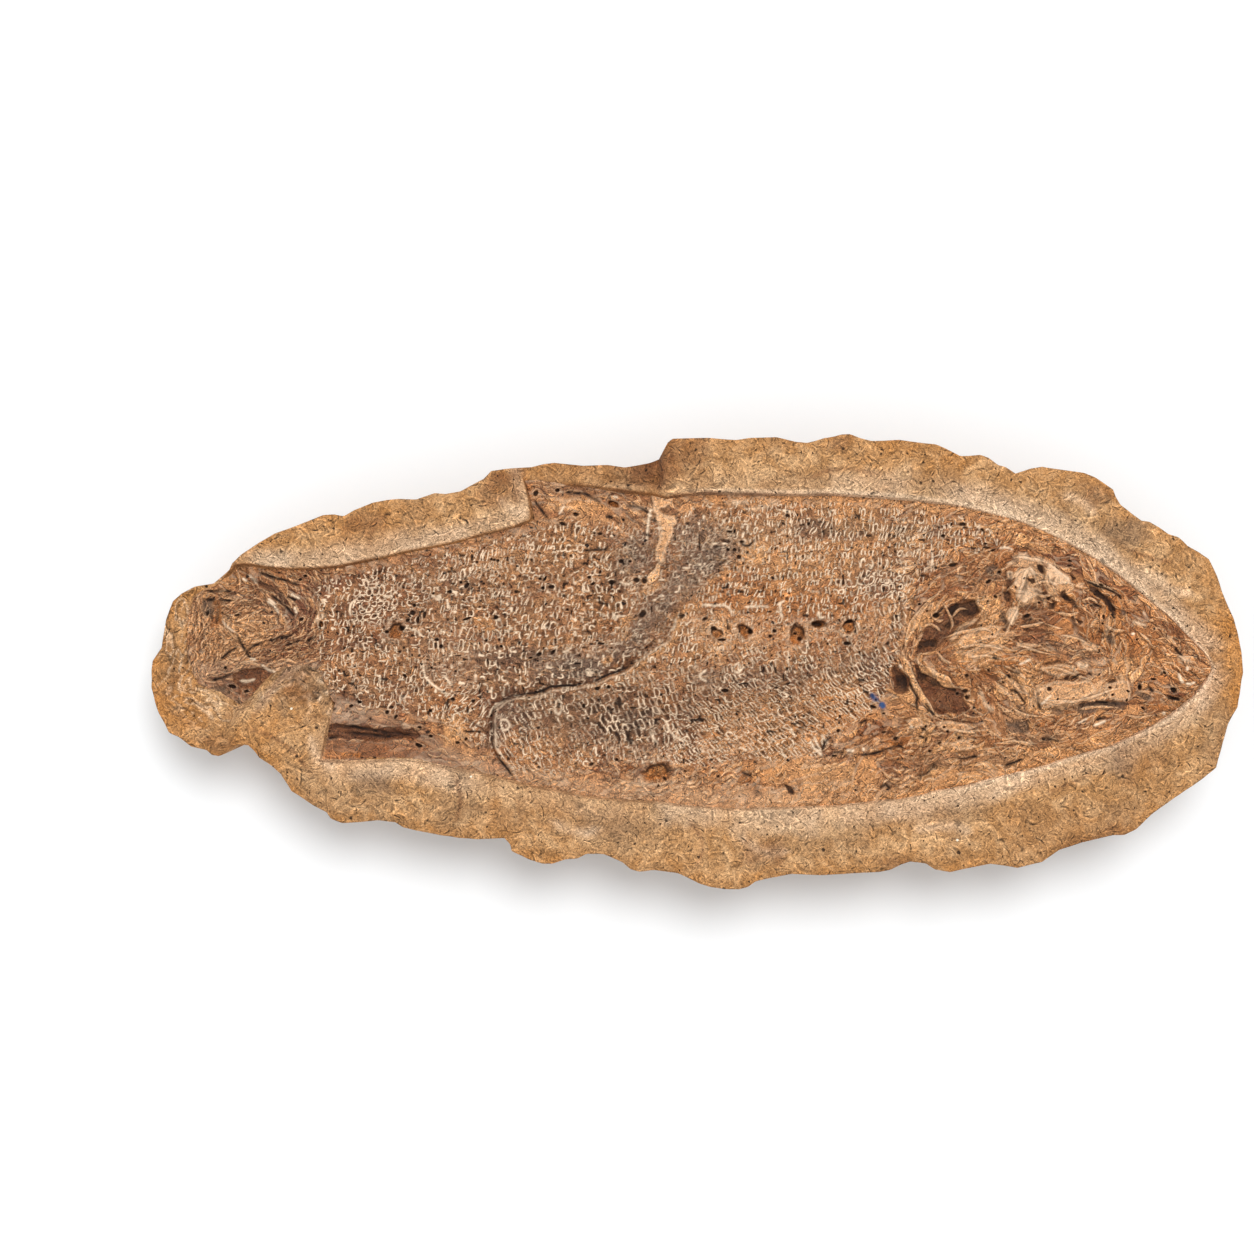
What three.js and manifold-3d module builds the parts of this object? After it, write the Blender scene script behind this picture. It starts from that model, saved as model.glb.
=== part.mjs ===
// A fossil fish lying in its half of a split limestone nodule.
//
// The nodule half is one lump of matrix: a scalloped slab with a worn flat underneath, a rim all
// round, and a trough cut down to the fish. The fish is the second piece, a flank-up body that sits
// in the trough, with its buried side rounded, and its tail, back fin and anal fin grown to it.
//
// Millimetres. +X runs to the snout, +Y to the fish's back, +Z up out of the slab. The origin is on
// the surface that the slab rests on, under the middle of its outline.
import * as THREE from "three";
import { mergeVertices } from "three/addons/utils/BufferGeometryUtils.js";
import Module from "manifold-3d";

const wasm = await Module();
wasm.setup();

// Driving dimensions.
const RIM_HEIGHT = 32; // the split face above what the slab rests on, at the slab's middle
const RIM_SLOPE = 0.013; // the split face climbs towards the snout by this much for each millimetre
const BEVEL_WIDTH = 5.2; // tooled slope round the trough
const BEVEL_DROP = 1.8;
const TROUGH_DEPTH = 4.4; // from the rim to the fish's edge
const FISH_DOME = 2.8; // how far the flank bulges above the fish's edge
const STEP_HEIGHT = 1.5; // how far the front flank stands above the rear flank
const FIN_THICKNESS = 2.4;
const KEEL = 9; // how far the buried flank bulges below the fins
const FIT_GAP = 0.35; // clearance between fish and matrix, at the trough's walls and under the fins
const KEEL_GAP = 0.45; // the same, straight down from the buried flank

// The slab's edge and the trough's edge, anticlockwise from the snout. Each run pairs a stretch of
// the one with the stretch of the other that faces it.
const RUNS = [
  { // snout to the top of the back
    edge: [[150.2, -3], [149.8, 2], [148.8, 6.5], [146.6, 15], [144.2, 20.5], [141, 28], [139.3, 29.9],
      [134.5, 32.6], [129.8, 35], [125, 38.2], [122.3, 38.6], [119.8, 40.8], [116.5, 43.2], [114.5, 47.5],
      [110.3, 50.2], [104.5, 52.3], [95, 53.3], [88, 51.6], [83.5, 53.7], [78.5, 56.8], [72.5, 56.3]],
    trough: [[141, -1.8], [138, 4], [130, 11.8], [120, 20.3], [110, 27.8], [100, 33.5], [90, 37.8],
      [80, 40.6], [70, 42.8]],
  },
  { // the back, as far as the old break across the slab
    edge: [[67, 59.4], [57, 60.9], [49, 60.5], [42.5, 62.6], [38, 61.6], [30.3, 60.1], [24, 61.5],
      [15, 61.5], [11, 60.9], [3, 61.6], [-6, 61.5]],
    trough: [[64, 43.5], [48, 45], [30, 45.4], [10, 45.8], [-4, 45.3]],
  },
  { // the break, and the rim chipped away behind it
    edge: [[-8, 59.5], [-10.2, 55.9], [-16, 53.9], [-19.5, 53.5], [-28, 54.4], [-38.5, 54.8], [-45, 53.6]],
    trough: [[-8, 44.6], [-16, 46.5], [-29, 48.2], [-42, 49.8]],
  },
  { // round the corner of the back fin
    edge: [[-50, 53.3], [-56.5, 52.3]],
    trough: [[-47, 50], [-45.6, 44]],
  },
  { // the tail stalk's back
    edge: [[-58.5, 50.4], [-66, 46.8], [-75, 45.2], [-84, 44.6], [-91, 42.3], [-98, 39.9], [-103, 40.3],
      [-107, 38.5], [-114.5, 36.3], [-121, 32.5], [-125, 29.6]],
    trough: [[-45, 38.6], [-56, 35.4], [-68, 32.2], [-80, 29.3], [-92, 26.3], [-105, 24.9], [-118, 25.6]],
  },
  { // the tail's upper tip, which reaches the slab's edge
    edge: [[-128, 26.6], [-130.5, 23.8], [-134.5, 21.6], [-140, 20], [-144.5, 15.5], [-147, 9], [-148, 3.8]],
    trough: [[-126.6, 25.9], [-130, 22.3], [-137.5, 18.3], [-139.4, 12], [-140, 6]],
  },
  { // the tail's rear edge
    edge: [[-150.2, 0.5], [-150, -5], [-149.5, -10], [-148.2, -14.5], [-145, -19.5], [-140.5, -22.8],
      [-135, -24.3]],
    trough: [[-140, 2], [-139.8, -3], [-133.5, -8.5], [-129.5, -11.2]],
  },
  { // the tail's lower tip, forward to the notch behind the belly
    edge: [[-131.8, -26], [-129.5, -25.3], [-126, -22.6]],
    trough: [[-126.5, -12.6], [-121, -7.5], [-116, -2.5]],
  },
  { // the notch, to the anal fin
    edge: [[-123.3, -23], [-120, -26.5], [-117, -28.5]],
    trough: [[-110, 1], [-103, -1.5], [-99.6, -8]],
  },
  { // the anal fin's rear edge
    edge: [[-115, -30.2], [-112.3, -34]],
    trough: [[-100.5, -14], [-102, -21]],
  },
  { // the anal fin's lower edge and the belly
    edge: [[-111.3, -35.6], [-103, -41], [-100.3, -43.6], [-97, -44.3], [-84, -43.9], [-80.5, -45.6],
      [-72, -47.5], [-62, -48.8], [-53, -48.5], [-50.7, -52.3], [-42, -55.4], [-35.5, -54.3], [-30, -53],
      [-24, -53.8], [-17.5, -57.2], [-6, -57.5], [3, -61]],
    trough: [[-103.2, -27.2], [-91, -27.2], [-78, -27.3], [-65, -29], [-52, -32.3], [-38, -35.3],
      [-30, -37], [-14, -38.2], [2, -39.7]],
  },
  { // the belly, forward to the throat
    edge: [[12.3, -62.6], [16.5, -60], [25, -59], [42, -58.4], [53, -57.7], [59, -55.1], [64, -55.8],
      [70, -57.8], [82.5, -55.8], [88.5, -56.6]],
    trough: [[12, -39.8], [30, -39.5], [50, -38.2], [60, -36.8], [66, -35], [77, -33.2]],
  },
  { // throat and lower jaw, back to the snout
    edge: [[95, -55], [100, -51.6], [110, -48.4], [118, -47.5], [122.3, -44.8], [130, -38.5], [137, -33.5],
      [142, -30.5], [144, -25], [145.7, -17], [148.6, -10.5]],
    trough: [[88, -29.8], [102, -26], [114, -21.8], [124, -17], [132, -12.8], [136.5, -8.5], [139.6, -5]],
  },
];

// The fish's belly line and back line, both from the tail stalk to the snout. They run just outside
// the trough's edge, which trims the fish to its outline.
const BELLY = [[-110, 1], [-100, -3], [-96, -11], [-80, -18], [-66, -25], [-53, -33], [-38, -36.5],
  [-14, -39.5], [12, -41], [50, -39.5], [68, -36], [90, -30.7], [112, -23.5], [126, -17.5], [137, -10],
  [141.5, -5]];
const BACK = [[-108, 26], [-92, 27.5], [-68, 33.5], [-44, 39], [-26, 42], [-8, 45.5], [10, 47], [30, 46.7],
  [50, 46], [66, 44.2], [82, 41.5], [92, 38.5], [102, 34], [112, 28.2], [122, 20.2], [132, 11.5],
  [140, 4], [142, -0.5]];

// Each fin, from its root in the flank to a line just outside its free edge.
const FINS = [
  { // tail
    root: [[-100, 5], [-99, 14], [-101, 24]],
    edge: [[-114, -1], [-121, -9], [-127, -15], [-137, -9], [-142, -3], [-141.5, 10], [-139, 20],
      [-126, 28], [-110, 27]],
    rays: 18,
    across: 4,
  },
  { // back fin
    root: [[-43, 36], [-28, 38.5], [-12, 41.5]],
    edge: [[-47, 40], [-48.5, 52], [-29, 50], [-16, 48], [-6, 46.5]],
    rays: 11,
    across: 2,
  },
  { // anal fin
    root: [[-66, -23], [-80, -16], [-94, -10]],
    edge: [[-62, -31], [-80, -29], [-105, -29], [-102, -12]],
    rays: 11,
    across: 2,
  },
];

// The ragged line along which the front flank stands above the rear flank, from the back to the belly.
const FLANK_STEP = [[14, 42], [13, 33], [6, 25], [-3, 14], [-6.5, 8], [-12, 3.5], [-18, -1.5], [-30, -5.8],
  [-43, -9], [-52, -10.7], [-56.3, -14.5], [-56.6, -20], [-54, -26.5], [-49, -33.5]];

// Bones that stand out as ridges: name, route, half width, height above the flank.
const BONE_RIDGES = [
  ["gill cover's rear edge", [[66, 17.5], [61.5, 13], [58.6, 8], [57, 2.8], [58.6, -2], [61, -8.5],
    [64.3, -12.4], [68, -15.2]], 1.3, 1.1],
  ["gill arch", [[60.4, 1.6], [64.8, -2.1], [69, -5.3], [73, -6.9]], 0.9, 0.7],
  ["skull roof", [[85, 27.6], [91, 28.9], [97, 27.4], [101.5, 24.2], [105, 20.6]], 1.4, 1.2],
  ["brow", [[105, 22.6], [110, 20.6], [114.5, 17], [117, 14.4]], 1.1, 0.8],
  ["cheek strut", [[67.6, 6.2], [73, 9.6], [78, 12]], 1.2, 0.8],
  ["palate", [[87, 6.8], [95, 4.8], [103, 1.8], [108, 0.6]], 0.9, 0.6],
  ["upper jaw", [[92, -2.6], [99, -1], [107, -1.6], [117, -4]], 1.3, 0.9],
  ["lower jaw", [[88, -13.6], [99, -13.8], [110, -12], [121, -10]], 1.5, 0.9],
  ["throat fold", [[60.4, -29.2], [68.5, -27.4], [79, -25.8], [90, -22.4]], 1.1, 0.6],
  ["breast fin", [[36, -25.8], [43, -22.4], [50, -18.6], [56.5, -15.6]], 2.4, 1.0],
];

// Weathered holes through the flank: x, y, radius.
const PITS = [[-82, 9, 2.1], [-76.5, 12.4, 1.2], [5.2, 8.8, 1.3], [13.8, 8.6, 1.9], [27.6, 6.6, 2.5],
  [33.6, 10.4, 1.4], [42, 10.2, 1.6], [-11.5, -29.8, 2.6], [-7.8, -30.2, 2.1]];

// The eye's ring of bone and the ring at the snout: x, y, radius, half thickness.
const BONE_RINGS = [[111.2, 12.4, 4.4, 0.9], [135.4, -2.4, 3.3, 0.6]];

// Hollows left where bone has gone from the head: x, y, half length, half width, turn in degrees.
const HEAD_HOLLOWS = [[66, 5, 6.2, 2.6, 38], [71, 13, 6.4, 2.3, 22], [67, -4.4, 6.6, 2.2, -32],
  [70, -11, 6, 2.4, -18], [56.8, -5, 4, 1.7, 100], [111, 17.2, 4.6, 1.5, -32], [93, 10.6, 4.4, 3.4, 0]];

// ---- Numbers ----

const clamp01 = (v) => Math.min(1, Math.max(0, v));
const mix = (a, b, t) => a + (b - a) * t;
const smooth = (t) => t * t * (3 - 2 * t);
const mixPoint = (a, b, t) => [mix(a[0], b[0], t), mix(a[1], b[1], t)];

// A repeatable number from -1 to 1 for a pair of whole numbers.
function hash(i, j) {
  const v = Math.sin(i * 127.1 + j * 311.7) * 43758.5453;
  return 2 * (v - Math.floor(v)) - 1;
}

// Smooth lumps of the given size, from -1 to 1.
function lumps(x, y, size) {
  const [u, v] = [x / size, y / size];
  const [i, j] = [Math.floor(u), Math.floor(v)];
  const [a, b] = [smooth(u - i), smooth(v - j)];
  return mix(mix(hash(i, j), hash(i + 1, j), a), mix(hash(i, j + 1), hash(i + 1, j + 1), a), b);
}

// The point a given share of the way along a polyline.
function along(line, share) {
  const lengths = line.slice(1).map((p, i) => Math.hypot(p[0] - line[i][0], p[1] - line[i][1]));
  let left = clamp01(share) * lengths.reduce((sum, d) => sum + d, 0);
  for (let i = 0; i < lengths.length; i++) {
    const last = i === lengths.length - 1;
    if (last || left <= lengths[i]) return mixPoint(line[i], line[i + 1], left / lengths[i]);
    left -= lengths[i];
  }
}

// Distance from a point to a polyline, positive on its left side as it is followed.
function signedDistance(x, y, line) {
  let best = Infinity;
  let sign = 1;
  for (let i = 0; i + 1 < line.length; i++) {
    const [ax, ay] = line[i];
    const [dx, dy] = [line[i + 1][0] - ax, line[i + 1][1] - ay];
    const t = clamp01(((x - ax) * dx + (y - ay) * dy) / (dx * dx + dy * dy));
    const d = Math.hypot(x - ax - t * dx, y - ay - t * dy);
    if (d < best) {
      best = d;
      sign = dx * (y - ay) - dy * (x - ax) >= 0 ? 1 : -1;
    }
  }
  return best * sign;
}

// ---- Levels ----

// The split face, and the plane in it that the fish's edge lies in.
const splitFace = (x) => RIM_HEIGHT + RIM_SLOPE * x;
const fishEdge = (x) => splitFace(x) - TROUGH_DEPTH;

// Height of the rim, which undulates a little.
const rimLevel = (x, y) => splitFace(x) + 0.7 * lumps(x, y, 13) + 0.35 * lumps(x + 40, y, 5);

// Height of the flank, t from belly to back.
function flankLevel(x, y, t) {
  const bulge = Math.sin(Math.PI * clamp01(t));
  const front = smooth(clamp01(signedDistance(x, y, FLANK_STEP) / 2 + 0.5)) - 0.5;
  return fishEdge(x) + FISH_DOME * bulge ** 0.6 + STEP_HEIGHT * front * bulge ** 0.3;
}

// ---- Solids ----

// A closed mesh as a manifold-3d solid.
function solidOf(geometry) {
  const bare = geometry.clone();
  bare.deleteAttribute("normal");
  bare.deleteAttribute("uv");
  const merged = mergeVertices(bare, 1e-4);
  const vertProperties = new Float32Array(merged.attributes.position.array);
  const triVerts = new Uint32Array(merged.index.array);
  return new wasm.Manifold(new wasm.Mesh({ numProp: 3, vertProperties, triVerts }));
}

function geometryOf(solid) {
  const mesh = solid.getMesh();
  const geometry = new THREE.BufferGeometry();
  geometry.setAttribute("position", new THREE.BufferAttribute(mesh.vertProperties, 3));
  geometry.setIndex(new THREE.BufferAttribute(mesh.triVerts, 1));
  geometry.computeVertexNormals();
  return geometry;
}

// A closed solid skinned over rings of points. Each ring is as long as the next, and the first and
// the last are closed with flat caps, triangulated as `flatten` lays their points out in a plane.
function skinned(rings, flatten) {
  const columns = rings[0].length;
  const faces = [];
  for (let r = 0; r + 1 < rings.length; r++)
    for (let c = 0; c < columns; c++) {
      const [a, b] = [r * columns + c, r * columns + ((c + 1) % columns)];
      faces.push(a, a + columns, b, b, a + columns, b + columns);
    }
  const cap = (ring, first, turned) => {
    for (const [a, b, c] of THREE.ShapeUtils.triangulateShape(ring.map(flatten), []))
      faces.push(first + a, first + (turned ? c : b), first + (turned ? b : c));
  };
  cap(rings[0], 0, false);
  cap(rings.at(-1), (rings.length - 1) * columns, true);
  const geometry = new THREE.BufferGeometry();
  geometry.setAttribute("position", new THREE.Float32BufferAttribute(rings.flat(2), 3));
  geometry.setIndex(faces);
  return solidOf(geometry);
}

const inPlan = ([x, y]) => new THREE.Vector2(x, y);

// A prism over an outline, between two heights that depend on x.
const prism = (outline, top, bottom) =>
  skinned([outline.map(([x, y]) => [x, y, top(x)]), outline.map(([x, y]) => [x, y, bottom(x)])], inPlan);

// A closed body between two lines, with a height for its top and one for its underside.
function bodyBetween({ from, to, steps, across, under, top, bottom }) {
  const rings = [];
  for (let i = 0; i <= steps; i++) {
    const share = i / steps;
    const [a, b] = [along(from, share), along(to, share)];
    const ring = [];
    for (let j = 0; j <= across; j++) {
      const [x, y] = mixPoint(a, b, j / across);
      ring.push([x, y, top(x, y, j / across, i, j)]);
    }
    for (let j = under; j >= 0; j--) {
      const [x, y] = mixPoint(a, b, j / under);
      ring.push([x, y, bottom(x, j / under, share)]);
    }
    rings.push(ring);
  }
  // Seen from in front, a section's far side lies to the right.
  const inSection = ([x, y, z], i, ring) => new THREE.Vector2(-Math.hypot(x - ring[0][0], y - ring[0][1]), z);
  return skinned(rings, inSection);
}

// A rounded ridge along a line, half sunk in the flank.
function ridge(route, halfWidth, height) {
  const curve = new THREE.CatmullRomCurve3(route.map(([x, y]) => new THREE.Vector3(x, y, flankHeight(x, y))));
  const section = new THREE.Shape();
  section.absellipse(0, 0, height, halfWidth, 0, 2 * Math.PI);
  const steps = Math.max(4, Math.round(curve.getLength() / BONE_STEP));
  const settings = { extrudePath: curve, steps, curveSegments: 2, bevelEnabled: false };
  return solidOf(new THREE.ExtrudeGeometry(section, settings));
}

// The flank's height at a place, with its share from belly to back taken straight up the slab.
function flankHeight(x, y) {
  const crossing = (line) => {
    const i = Math.min(line.length - 2, Math.max(0, line.findIndex((p) => p[0] > x) - 1));
    return mix(line[i][1], line[i + 1][1], clamp01((x - line[i][0]) / (line[i + 1][0] - line[i][0])));
  };
  return flankLevel(x, y, (y - crossing(BELLY)) / (crossing(BACK) - crossing(BELLY)));
}

// ---- Outlines ----

// Pairs of points round the slab: one on its edge, and one on the trough's edge facing it.
const round = RUNS.flatMap((run, r) => {
  const next = RUNS[(r + 1) % RUNS.length];
  const edge = [...run.edge, next.edge[0]];
  const trough = [...run.trough, next.trough[0]];
  const shares = [0];
  for (let i = 1; i < edge.length; i++)
    shares.push(shares[i - 1] + Math.hypot(edge[i][0] - edge[i - 1][0], edge[i][1] - edge[i - 1][1]));
  return run.edge.map((point, i) => ({ edge: point, trough: along(trough, shares[i] / shares.at(-1)) }));
});
const troughEdge = RUNS.flatMap(({ trough }) => trough);

// An outline drawn in by a distance.
function inset(outline, distance) {
  return outline.map(([x, y], i) => {
    const [before, after] = [outline.at(i - 1), outline[(i + 1) % outline.length]];
    const [dx, dy] = [after[0] - before[0], after[1] - before[1]];
    const length = Math.hypot(dx, dy);
    return [x - (distance * dy) / length, y + (distance * dx) / length];
  });
}

// Heights that are clear of everything.
const above = (x) => splitFace(x) + 10;
const below = (x) => splitFace(x) - 25;

// ---- The fish ----

const BONE_STEP = 6.5; // length of a bone's facets
const BODY_STEPS = 56;
const BODY_STRIPS = 12;
const KEEL_STRIPS = 4;
const SCALE_LIFT = 0.28; // every other crossing of the flank's strips stands up, as the scale rows do
const RAY_LIFT = 0.3; // the same for the fin rays
const ROOT_RISE = 0.9; // a fin climbs by this to its root
const SCALED = [-100, 56]; // the flank is scaled between these

function bodyTop(x, y, t, i, j) {
  const scaled = x > SCALED[0] && x < SCALED[1];
  return flankLevel(x, y, t) + (scaled ? SCALE_LIFT * ((i + j) % 2 ? 1 : -1) : 0.5 * lumps(x, y, 4));
}

const bodyBottom = (x, t, share) =>
  fishEdge(x) - FIN_THICKNESS - KEEL * Math.sin(Math.PI * t) * Math.sin(Math.PI * share) ** 0.5;

const finBody = ({ root, edge, rays, across }) =>
  bodyBetween({
    from: root,
    to: edge,
    steps: rays,
    across,
    under: 1,
    top: (x, y, t, i) => fishEdge(x) + ROOT_RISE * (1 - t) + RAY_LIFT * (i % 2 ? 1 : -1),
    bottom: (x) => fishEdge(x) - FIN_THICKNESS,
  });

function fishSolid() {
  let fish = bodyBetween({
    from: BELLY,
    to: BACK,
    steps: BODY_STEPS,
    across: BODY_STRIPS,
    under: KEEL_STRIPS,
    top: bodyTop,
    bottom: bodyBottom,
  });
  for (const fin of FINS) fish = fish.add(finBody(fin));
  for (const [, route, halfWidth, height] of BONE_RIDGES) fish = fish.add(ridge(route, halfWidth, height));
  for (const [x, y, radius, thickness] of BONE_RINGS) {
    const ring = new THREE.TorusGeometry(radius, thickness, 4, 12);
    fish = fish.add(solidOf(ring.translate(x, y, flankHeight(x, y))));
  }
  for (const [x, y, radius] of PITS) {
    const pit = new THREE.IcosahedronGeometry(radius, 0).scale(1, 1, 1.2);
    fish = fish.subtract(solidOf(pit.translate(x, y, flankHeight(x, y) + 0.3 * radius)));
  }
  for (const [x, y, halfLength, halfWidth, turn] of HEAD_HOLLOWS) {
    const hollow = new THREE.SphereGeometry(1, 6, 4).scale(halfLength, halfWidth, 1.5);
    hollow.rotateZ(THREE.MathUtils.degToRad(turn)).translate(x, y, flankHeight(x, y) + 0.5);
    fish = fish.subtract(solidOf(hollow));
  }
  return fish.intersect(prism(inset(troughEdge, FIT_GAP), above, below));
}

// ---- The matrix ----

// The rim, from the trough outwards: share of the way to the slab's edge, drop below the rim's top.
const RIM_RINGS = [[0.62, 0], [0.86, 0.5], [0.955, 2.6]];
// The side and the underside, from the slab's edge inwards: share of the way to the middle line, and
// share of the rim's height.
const SIDE_RINGS = [[0, 0.66], [0.012, 0.5], [0.05, 0.32], [0.13, 0.17], [0.28, 0.06], [0.5, 0]];
const MIDDLE_LINE = 0.6; // the underside's middle line is this share of the slab's length
const CHIP = 0.014; // chips and ledges move the side in and out by this share

function slabSolid() {
  const towardsEdge = ({ trough, edge }, share, drop) => {
    const [x, y] = mixPoint(trough, edge, share);
    return [x, y, rimLevel(x, y) - drop];
  };
  const bevelShare = ({ trough, edge }) =>
    Math.min(0.4, BEVEL_WIDTH / Math.hypot(edge[0] - trough[0], edge[1] - trough[1]));
  const rings = [
    round.map((pair) => towardsEdge(pair, 0, BEVEL_DROP)),
    round.map((pair) => towardsEdge(pair, bevelShare(pair), 0)),
    ...RIM_RINGS.map(([share, drop]) => round.map((pair) => towardsEdge(pair, share, drop))),
    ...SIDE_RINGS.map(([share, height], r) => round.map(({ edge: [x, y] }, i) => {
      const chip = r === 0 || height === 0 ? 0 : CHIP * hash(i >> 1, r);
      return [...mixPoint([x, y], [x * MIDDLE_LINE, 0], share + chip), rimLevel(x, y) * height];
    })),
  ];
  return skinned(rings, inPlan);
}

function matrixSolid() {
  const keelPocket = bodyBetween({
    from: BELLY,
    to: BACK,
    steps: BODY_STEPS,
    across: 1,
    under: KEEL_STRIPS,
    top: above,
    bottom: (x, t, share) => bodyBottom(x, t, share) - KEEL_GAP,
  });
  const finFloor = (x) => fishEdge(x) - FIN_THICKNESS - FIT_GAP;
  const trough = prism(troughEdge, above, finFloor);
  const keelTrough = keelPocket.intersect(prism(troughEdge, above, below));
  return slabSolid().subtract(trough.add(keelTrough));
}

// ---- Assembly ----

function piece(name, solid, color, roughness) {
  const material = new THREE.MeshStandardMaterial({ color, roughness, metalness: 0, flatShading: true });
  const mesh = new THREE.Mesh(geometryOf(solid), material);
  mesh.name = name;
  return mesh;
}

const specimen = new THREE.Group();
specimen.name = "fossil_fish";
specimen.add(piece("matrix", matrixSolid(), 0xbf976a, 0.92));
specimen.add(piece("fish", fishSolid(), 0xa67d5d, 0.8));

export default specimen;
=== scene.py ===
"""A fossil fish in its half of a split limestone nodule, dressed for a studio render.

The nodule is one closed stone. The fish is nine closed pieces of relief that lie in the stone's
trough: tail fan, lower and upper halves of rear flank, front flank and head, back fin and anal fin.
Their heights all come from one landscape, so the pieces meet without a seam. Plans are in
millimetres, and meshes in metres.
"""

import logging
import math
from dataclasses import dataclass, field
from enum import Enum

import bpy
import numpy as np
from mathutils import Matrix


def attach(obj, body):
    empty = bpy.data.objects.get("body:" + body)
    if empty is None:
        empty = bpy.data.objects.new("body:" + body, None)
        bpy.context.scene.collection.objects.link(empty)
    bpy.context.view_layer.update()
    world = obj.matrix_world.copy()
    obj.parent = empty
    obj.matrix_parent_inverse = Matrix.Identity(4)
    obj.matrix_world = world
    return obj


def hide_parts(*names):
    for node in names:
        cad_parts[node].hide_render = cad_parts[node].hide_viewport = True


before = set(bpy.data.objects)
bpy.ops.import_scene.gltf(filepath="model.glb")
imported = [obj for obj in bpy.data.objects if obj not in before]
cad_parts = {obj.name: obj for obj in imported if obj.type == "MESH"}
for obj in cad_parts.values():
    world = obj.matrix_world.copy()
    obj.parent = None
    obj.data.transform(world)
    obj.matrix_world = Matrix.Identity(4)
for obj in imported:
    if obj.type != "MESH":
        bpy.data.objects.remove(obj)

Array = np.ndarray
Point = tuple[float, float]
Route = list[Point]
Hole = tuple[float, float, float, float, float]  # middle, half length, half width, and turn in degrees

LOG = logging.getLogger("fossil_fish")
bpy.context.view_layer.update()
MM = 0.001

# Levels, in millimetres: the split face climbs towards the snout, and the fish lies below it.
RIM_HEIGHT = 32.0
RIM_SLOPE = 0.013
TROUGH_DEPTH = 4.4
BEVEL_DROP = 1.7
BEVEL_WIDTH = 6.5
CEILING = 34.5  # no relief is higher than this
FAR = -99.0  # the depth of a place that is well outside an outline


# ---------------------------------------------------------------- numbers and noise


def ramp(value: Array, low: float, high: float) -> Array:
    """Smooth step from 0 at low to 1 at high."""
    t = np.clip((value - low) / (high - low), 0.0, 1.0)
    return t * t * (3.0 - 2.0 * t)


def bell(distance: Array, width: float) -> Array:
    """Gaussian bump, 1 on the line and falling off over the width."""
    return np.exp(-((distance / width) ** 2))


class Grain:
    """Seeded smooth noise on the plane, from a wrapped table of random values."""

    SIDE = 256

    def __init__(self, seed: int) -> None:
        """Fill the table."""
        self.table = np.random.default_rng(seed).uniform(-1.0, 1.0, (self.SIDE, self.SIDE))

    def at(self, x: Array, y: Array, size: float) -> Array:
        """Value noise from -1 to 1: the table's values blended with a smooth step.

        Args:
            x, y: places, in millimetres.
            size: distance between the table's values.

        Returns:
            One value for each place.
        """
        u, v = x / size, y / size
        i, j = np.floor(u).astype(np.int64), np.floor(v).astype(np.int64)
        a, b = u - i, v - j
        a, b = a * a * (3 - 2 * a), b * b * (3 - 2 * b)
        i0, j0, i1, j1 = i % self.SIDE, j % self.SIDE, (i + 1) % self.SIDE, (j + 1) % self.SIDE
        low = self.table[i0, j0] * (1 - a) + self.table[i1, j0] * a
        high = self.table[i0, j1] * (1 - a) + self.table[i1, j1] * a
        return low * (1 - b) + high * b

    def cloud(self, x: Array, y: Array, size: float, octaves: int = 3) -> Array:
        """Sum of octaves, each half the size and strength of the one before.

        Args:
            x, y: places, in millimetres.
            size: of the broadest octave.
            octaves: how many.

        Returns:
            One value from -1 to 1 for each place.
        """
        total = np.zeros_like(x)
        for octave in range(octaves):
            shift = 17.3 * octave
            total += self.at(x + shift, y - shift, size / 2**octave) / 2**octave
        return total / (2 - 2 ** (1 - octaves))

    def streaks(self, x: Array, y: Array, turn: Array, size: float, length: float) -> Array:
        """Noise drawn out along a flow: the mean of nine samples along it, scaled to about -1 to 1.

        Args:
            x, y: places.
            turn: the flow's direction at each place, in radians.
            size: width of the streaks.
            length: how far the samples reach.

        Returns:
            One value for each place.
        """
        dx, dy = np.cos(turn) * length / 8, np.sin(turn) * length / 8
        total = sum(self.at(x + k * dx, y + k * dy, size) for k in range(-4, 5))
        return total / 9 * (1 + 0.55 * length / size) ** 0.5


WARP = Grain(5)


# ---------------------------------------------------------------- plan curves


def smooth_route(points: Route, step: float = 1.0) -> Array:
    """Catmull-Rom curve through the points, resampled at even steps.

    Args:
        points: the route's given points.
        step: distance between the samples.

    Returns:
        The samples, one row each.
    """
    p = np.array(points, float)
    p = np.vstack([2 * p[0] - p[1], p, 2 * p[-1] - p[-2]])
    t = np.linspace(0, 1, 9)[:-1, None]
    parts = [
        0.5 * (2 * b + (c - a) * t + (2 * a - 5 * b + 4 * c - d) * t**2 + (3 * b - a - 3 * c + d) * t**3)
        for a, b, c, d in zip(p[:-3], p[1:-2], p[2:-1], p[3:])
    ]
    return resample(np.vstack([*parts, p[-2:-1]]), step=step)


def resample(line: Array, count: int = 0, step: float = 1.0) -> Array:
    """The same line with evenly spaced points.

    Args:
        line: the line's points.
        count: how many points to make, or 0 to go by the step.
        step: distance between the points.

    Returns:
        The points, one row each.
    """
    length = np.concatenate([[0], np.cumsum(np.hypot(*np.diff(line, axis=0).T))])
    count = count or max(2, int(length[-1] / step) + 1)
    at = np.linspace(0, length[-1], count)
    return np.column_stack([np.interp(at, length, line[:, 0]), np.interp(at, length, line[:, 1])])


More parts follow.
